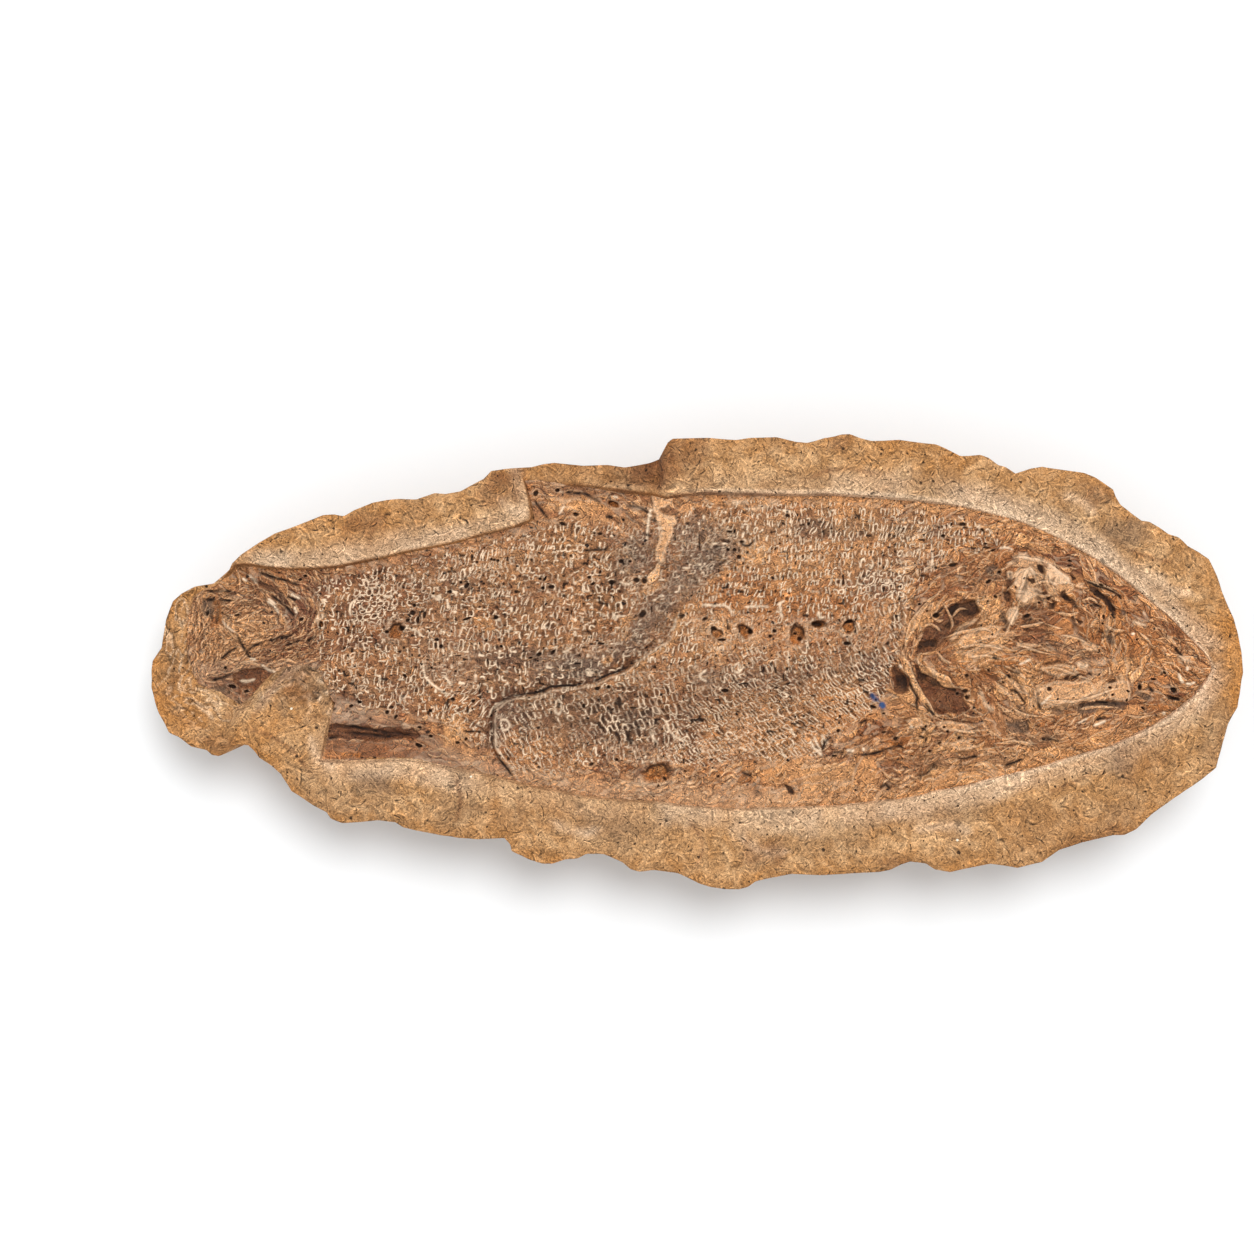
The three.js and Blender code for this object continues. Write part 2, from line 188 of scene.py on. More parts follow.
def reach(x: Array, y: Array, line: Array) -> tuple[Array, Array, Array]:
    """Distance from each place to a line, with the side that it lies on.

    Args:
        x, y: places.
        line: the line's points.

    Returns:
        The distance, the share of the way along the line, and the side: 1 left of it, -1 right of it.
    """
    best = np.full(x.shape, np.inf)
    share, side = np.zeros_like(x), np.ones_like(x)
    for i, ((ax, ay), (bx, by)) in enumerate(zip(line[:-1], line[1:])):
        dx, dy = bx - ax, by - ay
        t = np.clip(((x - ax) * dx + (y - ay) * dy) / (dx * dx + dy * dy), 0, 1)
        d = (x - ax - t * dx) ** 2 + (y - ay - t * dy) ** 2
        near = d < best
        best = np.where(near, d, best)
        share = np.where(near, (i + t) / (len(line) - 1), share)
        side = np.where(near, np.sign(dx * (y - ay) - dy * (x - ax)), side)
    return np.sqrt(best), share, side


def inside(x: Array, y: Array, line: Array) -> Array:
    """Which places are inside a closed line: those with an odd number of crossings to their right.

    Args:
        x, y: places.
        line: the line's points, without the first one again at the end.

    Returns:
        True or False for each place.
    """
    crossings = np.zeros(x.shape, int)
    for (ax, ay), (bx, by) in zip(line, np.roll(line, -1, axis=0)):
        if ay != by:
            crossings += ((ay > y) != (by > y)) & (x < ax + (y - ay) * (bx - ax) / (by - ay))
    return crossings % 2 == 1


def depth_in(x: Array, y: Array, outline: Route, rag: float) -> Array:
    """How deep each place lies inside an outline with a ragged edge, negative outside it.

    Args:
        x, y: places.
        outline: the area's corners.
        rag: how far the edge wanders.

    Returns:
        One value for each place.
    """
    depth = np.full_like(x, FAR)
    line = resample(np.array([*outline, outline[0]], float), step=1.5)
    low, high = line.min(axis=0) - 3 - rag, line.max(axis=0) + 3 + rag
    near = (x > low[0]) & (x < high[0]) & (y > low[1]) & (y < high[1])
    if near.any():
        nx, ny = x[near], y[near]
        wx = nx + rag * WARP.cloud(nx, ny, 2.6, 3)
        wy = ny + rag * WARP.cloud(ny + 40, nx, 2.6, 3)
        distance, _, _ = reach(wx, wy, line)
        depth[near] = np.where(inside(wx, wy, line[:-1]), distance, -distance)
    return depth


def soft_area(x: Array, y: Array, outline: Route, fade: float, rag: float) -> Array:
    """1 inside an outline and 0 outside it, with a blurred and ragged edge."""
    return ramp(depth_in(x, y, outline, rag), -0.5 * fade, 0.5 * fade)


# The slab's edge and the trough's edge, anticlockwise from the snout. Each run pairs a stretch of the
# one with the stretch of the other that faces it.
RUNS: list[tuple[Route, Route]] = [
    (  # snout to the top of the back
        [(150.2, -3), (149.8, 2), (148.7, 8), (147.4, 12), (145, 17.4), (143.2, 23.2), (140.8, 28.2),
         (138.2, 30), (135, 31.8), (132.4, 34.2), (129.8, 35), (127.2, 36.8), (124.6, 38.4), (122.5, 38.7),
         (119.6, 40.8), (116.7, 43.1), (115.4, 45.2), (114.6, 47.3), (109.9, 50.5), (106.7, 51.8),
         (98.8, 52.9), (95.2, 53.5), (92, 53), (87.8, 51.6), (85.2, 53.4), (83.1, 54), (80.5, 56),
         (78.3, 56.8), (75.3, 56.5), (72.7, 56.4)],
        [(141, -1.8), (138.7, 3), (135.1, 6.4), (130, 11.9), (125.1, 16.1), (120, 20.5), (115, 24.4),
         (110, 27.8), (104.6, 30.9), (100, 33.5), (95.2, 35.6), (90, 37.8), (85.2, 39.3), (80, 40.6),
         (74.8, 41.9), (70, 42.8)]),
    (  # the back, as far as the old break across the slab
        [(68.5, 58.6), (65.9, 59.7), (62.7, 60), (55.9, 60.9), (51.7, 60.7), (48.5, 60.6), (45.3, 61.4),
         (42.5, 62.5), (40.1, 62.4), (38, 61.8), (35.4, 61.4), (32.8, 60.6), (30.7, 60.1), (27.5, 60.4),
         (22.2, 61.7), (15, 61.5), (11.3, 60.9), (3.2, 61.5), (-6.3, 61.3)],
        [(66, 43.2), (62.7, 43.7), (56.4, 44.3), (48, 45), (43, 45.2), (38, 45.6), (30, 45.4), (20, 45.5),
         (10, 45.8), (2, 45.9), (-4, 45.3)]),
    (  # the break, and the rim chipped away behind it
        [(-7.6, 60.2), (-8.9, 57.8), (-10, 55.7), (-12.6, 54.7), (-16.3, 54), (-19.4, 53.5), (-24.1, 54.2),
         (-31, 54), (-38.9, 54.8), (-42, 54.4), (-45.2, 53.6)],
        [(-8, 44.6), (-12, 45.6), (-16, 46), (-22, 46.8), (-29, 48), (-35, 48.5), (-42, 49.7)]),
    (  # round the corner of the back fin
        [(-49.4, 53.3), (-53, 52.9), (-56.2, 52.4)],
        [(-47, 50), (-45.6, 45), (-45, 41)]),
    (  # the tail stalk's back
        [(-58.3, 50.2), (-61.4, 48.6), (-64.6, 46.8), (-68.8, 46.1), (-71.7, 46.4), (-76.8, 44.6),
         (-81.5, 44.8), (-84.7, 44.5), (-88.9, 43.7), (-94.1, 41.6), (-96.8, 40), (-99.4, 40.5),
         (-102.5, 40.3), (-105.2, 39.2), (-109.4, 37.5), (-115.7, 35.3), (-119.9, 32.9), (-125.1, 29.5)],
        [(-45, 38.6), (-50, 36.7), (-56, 35.4), (-62, 33.6), (-68, 32), (-74, 30.9), (-80, 29.8), (-86, 28.2),
         (-92, 27.1), (-98, 25.8), (-105, 25.2), (-112, 25.1), (-118, 25.6), (-122, 26.4)]),
    (  # the tail's upper tip, which reaches the slab's edge
        [(-127.8, 27.1), (-128.6, 25.3), (-130.4, 23.7), (-133, 21.5), (-138.2, 20.7), (-141.9, 18.7),
         (-144.3, 16.6), (-146.1, 11.7), (-147.1, 5.9)],
        [(-126.4, 26.4), (-129, 23.4), (-132, 20.6), (-137, 18.6), (-139.4, 14), (-140, 6)]),
    (  # the tail's rear edge
        [(-147.4, 3.8), (-149.9, 0.1), (-150.2, -2.5), (-150.1, -5.1), (-150.2, -7.2), (-149, -12),
         (-148.2, -14.3), (-145.1, -19.7), (-142.5, -20.7), (-138.8, -23.4), (-134.6, -24.4)],
        [(-140, 2), (-139.8, -3), (-138, -6.4), (-133.5, -8.9), (-129.5, -11.4)]),
    (  # the tail's lower tip, forward to the notch behind the belly
        [(-133.2, -25.7), (-131.1, -26.1), (-127.2, -23.4), (-125.6, -22.7)],
        [(-126.3, -12.8), (-123, -10.2), (-120, -6.8), (-117, -3.9)]),
    (  # the notch, to the anal fin
        [(-123, -23.1), (-121.4, -24.7), (-120.1, -26.5), (-116.7, -28.6)],
        [(-113.5, -1.5), (-108, 0), (-103.6, -2.5), (-101, -7.5)]),
    (  # the anal fin's rear edge
        [(-114.1, -31), (-112.2, -33.9)],
        [(-100.4, -14), (-101.6, -19), (-102.3, -23.5)]),
    (  # the anal fin's lower edge and the belly
        [(-111.2, -35.7), (-105.2, -39.6), (-101.5, -41.5), (-100.4, -43.3), (-97.3, -44.5), (-92, -44.2),
         (-87.3, -43.7), (-82.6, -44.2), (-80.5, -45.6), (-76.8, -46.5), (-70.3, -47.8), (-65.1, -48.5),
         (-59.8, -48.9), (-52.5, -48.5), (-50.9, -50.3), (-50.6, -52.1), (-45.6, -54.5), (-42, -55.6),
         (-39.4, -55.6), (-35.7, -54.4), (-32.5, -54.2), (-29.9, -52.9), (-25.2, -52.9), (-22.6, -54),
         (-19.9, -55.3), (-17.8, -57.1), (-15.2, -57.8), (-11.5, -57.3), (-4.7, -58.2), (1.2, -61)],
        [(-103.2, -27.2), (-94.7, -27.6), (-85.2, -27.2), (-78, -27.2), (-70, -28.9), (-60, -30.2),
         (-52, -32.4), (-44, -34.2), (-38, -35.3), (-30, -37), (-20, -37.9), (-10, -38.5), (0, -39.7)]),
    (  # the belly, forward to the throat
        [(4.4, -62), (8.1, -62.5), (12.1, -62.6), (14.4, -61.9), (16.5, -60.4), (20.6, -59.5), (26.5, -58.4),
         (34.9, -58.7), (45.9, -58), (50.6, -57.8), (53.8, -57.1), (56.4, -55.8), (59, -54.9), (63.2, -55.4),
         (65.8, -57.1), (70, -57.8), (73.7, -56.9), (81, -55.5), (84.7, -56), (88.4, -56.6)],
        [(3, -39.8), (10, -40.4), (20, -40.1), (30, -39.8), (40, -39.4), (50, -38.2), (60, -37), (66, -35.3),
         (74, -34.2), (79, -32.6)]),
    (  # throat and lower jaw, back to the snout
        [(91.5, -55.9), (95.2, -55), (99.9, -51.7), (106.2, -49.6), (114.6, -47.6), (117.8, -47.6),
         (120.9, -46.1), (125.1, -41.9), (133, -36.4), (139.3, -32), (142.9, -29.1), (144.4, -23.8),
         (146.1, -17.3), (148.7, -12.5), (149.7, -5.7)],
        [(85, -31), (95, -28.6), (105, -25.3), (110, -24), (115, -22.5), (120, -20.1), (125.1, -17.5),
         (130, -14.8), (135.1, -10.6), (138.2, -7.5), (140.2, -4.4)]),
]

# The fish's own lines, all from tail to snout or from belly to back.
TAIL_ROOT: Route = [(-105.2, -1.6), (-103, 5), (-102.2, 14), (-104.5, 25.5)]
BACK: Route = [
    (-104.5, 25.5), (-98, 26.1), (-86, 28.5), (-74, 31.2), (-62, 33.9), (-50, 37), (-44.4, 39.2), (-30, 41.4),
    (-16, 43.8), (-6, 45.8), (2, 46.3), (14, 46.1), (30, 45.8), (43, 45.5), (56.4, 44.7), (66, 43.6),
    (70, 43.1), (80, 41), (90, 38.1), (100, 33.9), (110, 28.2), (120, 20.8), (130, 12.2), (138.9, 3.3),
    (141, 0.6),
]
BELLY: Route = [
    (-105.2, -1.6), (-101.5, -7), (-99.5, -11.5), (-90, -15.6), (-80, -20.6), (-70, -25.4), (-64, -29.6),
    (-52, -32.8), (-49.3, -33.6), (-38, -35.7), (-30, -37.4), (-14, -38.6), (0, -40), (10, -40.8),
    (30, -40.2), (50, -38.5), (60, -37.4), (66, -35.6), (79, -33), (95, -29), (105, -25.7), (115, -22.8),
    (125.1, -17.8), (135.2, -10.9), (140.4, -4.6),
]
CRACK: Route = [
    (-49.3, -33.6), (-51.5, -29.4), (-54.2, -25.8), (-55.5, -22.7), (-55.9, -16), (-54.6, -12.4),
    (-49.9, -9.6), (-43, -8.6), (-38.8, -7.3), (-31, -6.3), (-26.7, -4.9), (-20.4, -2.5), (-16.3, 0.2),
    (-11, 4.4), (-7.3, 7), (-6, 10.4), (-4.2, 14.6), (1.2, 20.4), (5.5, 24.2), (10, 28), (13.6, 32.6),
    (15, 37), (14, 46.1),
]
GILL: Route = [
    (66, -35.6), (66.6, -28), (67.2, -19), (66.2, -15.2), (63.4, -12), (61.2, -8.8), (59.4, -4.9),
    (58.2, -1.4), (57.4, 2.1), (58.1, 5.8), (59.5, 9.6), (62, 14.4), (66.2, 19), (69.6, 26), (71, 34),
    (70, 43.1),
]


# ---------------------------------------------------------------- what lies on the relief


class Stain(Enum):
    """What a place carries beside its height: mostly colours. Each is a mesh attribute."""

    PALE = "pale"  # scale edges, worn bone, tooled stone, and painted highlights
    DARK = "dark"  # holes, cracks, deep shade
    RUST = "rust"
    GREY = "grey"
    UMBER = "umber"  # purple-brown bone and film, and some painted shade
    SAND = "sand"  # matrix, filler and worn bone, and painted highlights on slivers
    BLUE = "blue"
    GRAIN = "grain"  # a field whose level lines are the fine fibres


PALE, DARK, RUST, GREY, UMBER, SAND, BLUE, GRAIN = Stain


@dataclass
class Ground:
    """Places on the specimen with their height and stains, all in arrays of one shape."""

    x: Array
    y: Array
    height: Array = field(init=False)
    stains: dict[Stain, Array] = field(init=False)

    def __post_init__(self) -> None:
        """Start flat and clean."""
        self.height = np.zeros_like(self.x)
        self.stains = {stain: np.zeros_like(self.x) for stain in Stain}

    def paint(self, stain: Stain, amount: Array, where: Array | slice = slice(None)) -> None:
        """Lay a stain over what is there: what is left of the clean ground shrinks by the amount."""
        layer = self.stains[stain]
        layer[where] = layer[where] + (1 - layer[where]) * np.clip(amount, 0, 1)

    def wipe(self, stain: Stain, amount: Array, where: Array | slice = slice(None)) -> None:
        """Take a share of a stain away."""
        self.stains[stain][where] *= 1 - np.clip(amount, 0, 1)


@dataclass(frozen=True)
class Stroke:
    """A kind of raised or sunk line, such as a bone's edge or a crease.

    Across it the height is a bell of the stroke's width, or a flat top with sharp edges, and it tapers off
    at both ends.
    """

    width: float
    lift: float
    stains: dict[Stain, float]
    taper: float = 0.15
    crisp: bool = False  # flat on top, with a painted highlight on its upper edge and a dark line of painted shade round it

    def mark(self, ground: Ground, route: Route) -> None:
        """Draw one along a route.

        Args:
            ground: the places, changed here.
            route: the given points.
        """
        line = smooth_route(route, 1.0)
        margin = 3 * self.width + 1
        low, high = line.min(axis=0) - margin, line.max(axis=0) + margin
        near = (ground.x > low[0]) & (ground.x < high[0]) & (ground.y > low[1]) & (ground.y < high[1])
        if not near.any():
            return
        x, y = ground.x[near], ground.y[near]
        wobble = 0.4 * min(1.0, self.width)
        distance, share, side = reach(x + wobble * WARP.at(x, y, 2.1), y + wobble * WARP.at(y, x, 2.3), line)
        ends = ramp(np.minimum(share, 1 - share), -0.02, self.taper)
        body = bell(distance, self.width * (0.55 + 0.45 * ends)) * np.minimum(1, 0.3 + ends)
        if self.crisp:
            out = distance - self.width * (0.15 + 0.85 * ends) * (1 + 0.4 * WARP.at(x, y, 2.6))
            body = ramp(-out, -0.1, 0.12) * np.minimum(1, 0.5 + ends)
            for stain in (DARK, UMBER, GREY, RUST):
                ground.wipe(stain, 0.6 * body, near)
            # painted shade: a dark line just outside the flat top
            ground.paint(DARK, 0.45 * ends * bell(out - 0.16, 0.15), near)
        ground.height[near] += self.lift * body
        for stain, amount in self.stains.items():
            ground.paint(stain, amount * body * (1 + 0.35 * WARP.at(x, y, 1.3)), near)
        if self.crisp:
            # painted highlight: a pale line along the stroke's upper edge, towards the light
            ground.paint(PALE, 0.3 * bell(out + 0.2, 0.16) * (side * (line[-1, 0] - line[0, 0]) > 0), near)


@dataclass(frozen=True)
class Patch:
    """A kind of area with a ragged edge, such as a bone plate, a hollow or a stain."""

    fade: float
    lift: float
    stains: dict[Stain, float]
    rag: float = 0.7
    cover: float = 0.0  # share of what is under it that it hides
    edge: float = 0.0  # strength of a pale rim inside and a dark line of painted shade outside

    def mark(self, ground: Ground, outline: Route) -> None:
        """Lay one in an outline.

        Args:
            ground: the places, changed here.
            outline: the area's corners.
        """
        depth = depth_in(ground.x, ground.y, outline, self.rag)
        body = ramp(depth, -0.5 * self.fade, 0.5 * self.fade)
        rim = self.edge * bell(depth - 0.45, 0.35)
        ground.height += self.lift * body + 0.3 * rim
        mottle = body * (1 + 0.3 * WARP.cloud(ground.x, ground.y, 1.7, 2))
        for stain in Stain:
            ground.wipe(stain, self.cover * body)
            if stain in self.stains:
                ground.paint(stain, self.stains[stain] * mottle)
        ground.paint(PALE, rim)
        # painted shade: a dark line just outside the patch's edge
        ground.paint(DARK, self.edge * bell(depth + 0.35, 0.35))


@dataclass(frozen=True)
class Pit:
    """A kind of round or oval weathered hole, with a dark floor and a worn lip."""

    depth: float
    stains: dict[Stain, float]
    lip: float = 0.3

    def mark(self, ground: Ground, hole: Hole) -> None:
        """Sink one.

        Args:
            ground: the places, changed here.
            hole: its middle, half its length, half its width, and its turn in degrees.
        """
        at_x, at_y, half_length, half_width, turn = hole
        near = np.hypot(ground.x - at_x, ground.y - at_y) < 2.2 * half_length + 1
        if not near.any():
            return
        x, y = ground.x[near] - at_x, ground.y[near] - at_y
        c, s = math.cos(math.radians(turn)), math.sin(math.radians(turn))
        ragged = 1 + 0.3 * WARP.cloud(x + 7 * at_x, y, 1.4, 2)
        r = np.hypot((c * x + s * y) / half_length, (c * y - s * x) / half_width) * ragged
        sunk = 1 - ramp(r, 0.6, 1.15)
        ground.height[near] += self.lip * bell(r - 1.3, 0.25) - self.depth * sunk
        ground.paint(PALE, self.lip * bell(r - 1.35, 0.25), near)
        core = sunk
        if len(self.stains) > 1:  # a hole with several stains is dark in its middle, with painted shade under its upper lip only
            core = bell(r - 0.8, 0.22) * ramp(y, -0.6, 0.4) + 0.5 * bell(r, 0.35)
        ground.wipe(PALE, sunk, near)
        for stain, amount in self.stains.items():
            ground.paint(stain, amount * (core if stain is DARK else sunk), near)


@dataclass(frozen=True)
class ScaleRows:
    """Rows of scales, each seen as the worn rim of an upright rounded oblong.

    In its own cell, every scale has a moved and leaning rim. Of that rim the two walls, the top and the
    foot are each there or not by chance, and the hollow inside may be dark. Painted shade lies beside each
    rim.
    """

    turn: float  # of the rows, in degrees from +X
    along: float  # pitch in a row
    across: float  # row pitch
    lean: float  # of the walls, along the row for each millimetre across it
    tall: float  # the rims' share of the row pitch
    wall: float  # chance of each wall
    arch: float  # chance of a top or a foot
    hollow: float  # how dark the insides are
    seed: int
    snug: float = 0.8  # share of the pitch that a rim takes: 1 joins the rims to a net

    def lay(self, x: Array, y: Array) -> tuple[Array, Array]:
        """Lay the rows over the plane.

        Args:
            x, y: places.

        Returns:
            Rim strength, and hollow strength with the painted shade beside the rims, at each place, both 0 to
            1.
        """
        c, s = math.cos(math.radians(self.turn)), math.sin(math.radians(self.turn))
        side = Grain.SIDE
        chance = np.random.default_rng(self.seed).random((10, side, side))
        v = (c * y - s * x) / self.across
        row = np.floor(v).astype(np.int64)
        rise = (v - row - 0.5) * self.across
        shift = 0.5 * (row % 2) + 0.5 * chance[9][row % side, 0]
        u = (c * x + s * y - self.lean * rise) / self.along + shift
        cell = np.floor(u).astype(np.int64)
        pick = [layer[cell % side, row % side] - 0.5 for layer in chance]
        dx = (u - cell - 0.5) * self.along - 0.36 * pick[0] - 0.4 * pick[8] * rise
        dy = rise - 0.26 * pick[1] * self.across
        wide = 0.5 * self.along * (self.snug + 0.36 * pick[2])
        high = 0.5 * self.across * self.tall * (0.86 + 0.5 * pick[3])
        r = ((np.abs(dx) / wide) ** 2.5 + (np.abs(dy) / high) ** 2.5) ** 0.4 + 1e-6
        off = np.hypot(dx, dy) * (1 - 1 / r)
        parts = [(-dx / wide / r, self.wall, 4), (dx / wide / r, self.wall, 5),
                 (dy / high / r, self.arch, 6), (-dy / high / r, self.arch, 7)]
        shown = np.maximum.reduce([ramp(t, 0.45, 0.75) * (pick[k] + 0.5 < odds) for t, odds, k in parts])
        rims = bell(off, 0.15) * shown * np.clip(0.8 + 0.9 * pick[8], 0, 1)
        hollow = self.hollow * bell(r, 0.8) * np.clip(0.75 + pick[0] + pick[3], 0, 1)
        # the hollow takes a dark band beside each rim that is shown: painted shade along the rims
        return rims, np.maximum(hollow, 0.6 * shown * bell(off, 0.45)) * (1 - rims)


@dataclass(frozen=True)
class Slivers:
    """Slivers of bone or skin that lie over one another along the flow.

    Each is a bent blade, pointed at both ends: its half width falls with the square of the way along it.
    It takes the stains of the ground at its middle, shifted by chance, and has fibres along it, a painted
    highlight along its upper edge and a dark line of painted shadow below it.
    """

    box: tuple[float, float, float, float]  # x from and to, y from and to
    count: int
    half_length: tuple[float, float]
    half_width: tuple[float, float]
    lift: float  # height of the proudest
    contrast: float  # how far their stains differ from the ground's
    edge: float  # strength of the painted highlight and painted shadow at the edges
    seed: int
    bend: float = 0.8
    stray: float = 0.5  # how far they turn from the flow, in radians
    skin: bool = False  # on the scaly skin, or off it

    def lay(self, ground: Ground, landscape: "Landscape") -> None:
        """Scatter them over the ground, each seed at the same places on every piece.

        Args:
            ground: the places, changed here.
            landscape: what the slivers take their flow and stains from.
        """
        rng = np.random.default_rng(self.seed)
        bed = Ground(rng.uniform(*self.box[:2], self.count), rng.uniform(*self.box[2:], self.count))
        chance, shade = rng.random(self.count), rng.uniform(-1, 1, self.count)
        drawn = rng.random((5, self.count))  # turn, length, width, bend and level
        off_skin = landscape.bony(bed)
        crowd = 0.4 + 0.9 * ramp(landscape.broad.at(bed.x + self.seed, bed.y, 8), -0.5, 0.4)
        kept = chance < (1 - off_skin if self.skin else off_skin * crowd)
        margin = self.half_length[1]
        kept &= (bed.x > ground.x.min() - margin) & (bed.x < ground.x.max() + margin)
        kept &= (bed.y > ground.y.min() - margin) & (bed.y < ground.y.max() + margin)
        landscape.weather(bed)
        landscape.draw(bed, AREAS)
        turn = landscape.flow(bed.x, bed.y) + self.stray * (drawn[0] - 0.5)
        base = ground.height.copy()
        for i in np.flatnonzero(kept):
            length = self.half_length[0] + drawn[1, i] ** 2 * (self.half_length[1] - self.half_length[0])
            width = self.half_width[0] + drawn[2, i] ** 2 * (self.half_width[1] - self.half_width[0])
            near = (np.abs(ground.x - bed.x[i]) < length) & (np.abs(ground.y - bed.y[i]) < length)
            if not near.any():
                continue
            dx, dy = ground.x[near] - bed.x[i], ground.y[near] - bed.y[i]
            c, sn = math.cos(turn[i]), math.sin(turn[i])
            if c < 0:
                c, sn = -c, -sn
            along = (c * dx + sn * dy) / length
            t = c * dy - sn * dx - (drawn[3, i] - 0.5) * self.bend * length * (along**2 - 0.3)
            depth = width * (1 - along**2) * (1 + 1.2 * (drawn[2, i] - 0.5) * along) - np.abs(t)
            body = ramp(depth, -0.06, 0.1)
            level = self.lift * drawn[4, i] + 0.35 * self.lift * t / width
            ground.height[near] += body * (base[near] + level - ground.height[near])
            push = self.contrast * shade[i]
            shift = {SAND: 0.9 * push, UMBER: -0.75 * push, PALE: 0.5 * (push - 0.5),
                     DARK: 0.6 * (-push - 0.6), RUST: self.contrast * (drawn[4, i] - 0.72)}
            for stain in (PALE, DARK, RUST, GREY, UMBER, SAND):
                tone = min(1.0, bed.stains[stain][i] + max(0.0, shift.get(stain, 0.0)))
                layer = ground.stains[stain]
                layer[near] += body * (tone - layer[near])
            ground.stains[GRAIN][near] += body * (1.25 * t + 5 * drawn[0, i] - ground.stains[GRAIN][near])
            # painted highlight along the upper edge, towards the light, and painted shadow under the lower
            # edge
            above = self.edge * (0.6 + 0.6 * shade[i]) * (t > 0) * bell(depth - 0.13, 0.14)
            below = self.edge * (0.4 + drawn[2, i]) * (t <= 0) * bell(depth + 0.1, 0.16)
            ground.paint(SAND, above, near)
            ground.paint(PALE, 0.4 * above, near)
            ground.paint(UMBER, below, near)
            ground.paint(DARK, 0.4 * below, near)


# ---------------------------------------------------------------- the landscape


def split_face(x: Array) -> Array:
    """Height of the split face."""
    return RIM_HEIGHT + RIM_SLOPE * x


def fish_edge(x: Array) -> Array:
    """Height of the fish's edge, where it meets the trough's wall."""
    return split_face(x) - TROUGH_DEPTH


# The way the bone fibres and rays run: x, y and degrees from +X, on the tail and then on the head.
FLOW: list[tuple[float, float, float]] = [
    (-125, 24, -48), (-120, 22, -45), (-115, 20, -35), (-112, 15, -40), (-117, 17, -45), (-116, 12, -75),
    (-122, 13, 10), (-122, 19, -8), (-127, 20, 0), (-131, 18, 0), (-127, 15, 5), (-121, 9, -12),
    (-128, 9, -42), (-118, 6, 25), (-112, 6, 15), (-108, 4, 15), (-114, 2, 15), (-122, 2, 25), (-128, 3, 22),
    (-133, 4, 80), (-136, 0, 75), (-137, 8, 55), (-135, 14, 85), (-130, -3, 15), (-123, -4, 8),
    (-131, -8, -32), (-127, -11, -35), (-108, 11, 80), (-105, 20, -60), (-110, 21, -15), (-95, -20, 0),
    (-82, -20, -5), (-95, -26, 2), (-40, 45, -10), (-28, 46, -25), (-20, 44, -35), (-14, 44, -30),
    (97, 24, -48), (102, 22, -38), (91, 18, 78), (88, 25, 40), (84, 18, 60), (82, 13, 40), (80, 22, 30),
    (75, 25, 15), (70, 23, 15), (66, 20, 30), (62, 14, 60), (58.5, 6, 80), (58.5, -3, -70), (62, -9, -58),
    (65, -14, -50), (64, -3, -45), (69, -6, -28), (68, -11, -40), (65, 3, 55), (68, 9, 50), (72, 13, 35),
    (75, 8, 30), (80, 8, 18), (78, 2, 6), (85, 1, -5), (82, -3, -20), (84, -8, -50), (88, -9, -50),
    (79, -9, -65), (91, 0, -8), (93, 8, -4), (96, 3, -8), (103, 3, -12), (108, 3, -20), (100, 10, 30),
    (104, 14, -50), (108, 17, -40), (112, 19, -40), (111, 12, 60), (116, 12, -65), (116, 5, 80),
    (120, 10, -30), (122, 3, 60), (126, 7, -42), (131, 8, -42), (133, 3, -36), (126, -3, -8), (120, -3, 70),
    (118, -8, 80), (113, -8, 70), (105, -6, 10), (98, -4, 12), (94, -9, 70), (100, -10, 0), (101, -14, 5),
    (108, -12, 14), (115, -12, 0), (122, -11, 10), (128, -11, -30), (121, -16, 22), (112, -17, 12),
    (104, -17, 18), (96, -18, 0), (90, -16, -40), (86, -20, 0), (88, -25, 22), (82, -25, -20), (76, -22, 10),
    (76, -17, -25), (70, -17, 30), (68, -22, 20), (70, -28, 10), (62, -20, 45), (58, -20, 20), (57, -14, 0),
    (52, -18, 20), (46, -20, 25), (42, -22, 42), (50, -23, 12), (55, -27, 10), (62, -28, 50), (46, -28, 70),
    (36, -27, 22), (96, -23, 10), (100, 29, -30), (108, 25, -40), (115, 20, -45),
]

# Where the scaly skin is seen, and where it is too worn to show.
SKIN: Route = [
    (-104, 2), (-104, 22), (-96, 23.5), (-86, 26), (-74, 28.5), (-62, 31.5), (-50, 35), (-40, 37.5),
    (-30, 38.5), (-16, 39), (-4, 40.5), (2, 43), (14, 43.8), (30, 43.5), (43, 43), (56, 42), (66, 40.5),
    (78, 38.5), (82, 35), (84, 31.5), (78, 30), (72, 29), (66, 24.5), (61, 19), (58, 13), (56.5, 7), (56, 2),
    (54, 0), (53, -6), (50, -12), (46, -15), (42, -18.5), (37, -20.5), (34, -26), (24, -26.5), (12, -27),
    (2, -29), (-4, -28), (-14, -27.5), (-24, -27), (-36, -31), (-46, -31), (-52, -29), (-58, -24), (-64, -20),
    (-72, -15.5), (-80, -14), (-92, -12), (-99, -9), (-103, -3),
]
WORN: list[Route] = [
    [(-24, 35), (-12, 41), (0, 40), (9, 37), (13, 32), (11, 28), (4, 23), (-3, 18), (-7, 8), (-14, 3),
     (-24, 2), (-44, -3), (-45, 1), (-30, 5), (-19, 9), (-18, 20), (-22, 28)],
    [(-74, 2), (-60, 3), (-60, -6), (-66, -8), (-72, -6), (-75, -2)],
    [(-90, 10), (-84, 4), (-80, 11), (-84, 12)], [(-1, -3), (3, 0), (8, 0), (6, -6), (0, -10)],
    [(13, 33), (20, 33), (20, 27), (14, 26)], [(-26, -21), (-12, -23), (-10, -26), (-24, -26)],
    [(62, 28), (72, 29), (76, 26), (66, 24)], [(42, 8), (52, 12), (54, 4), (44, 4)],
    [(-3, 12), (12, 13), (40, 11), (44, 7), (20, 5), (0, 6)], [(-84, 24), (-76, 22), (-74, 28), (-83, 28)],
]

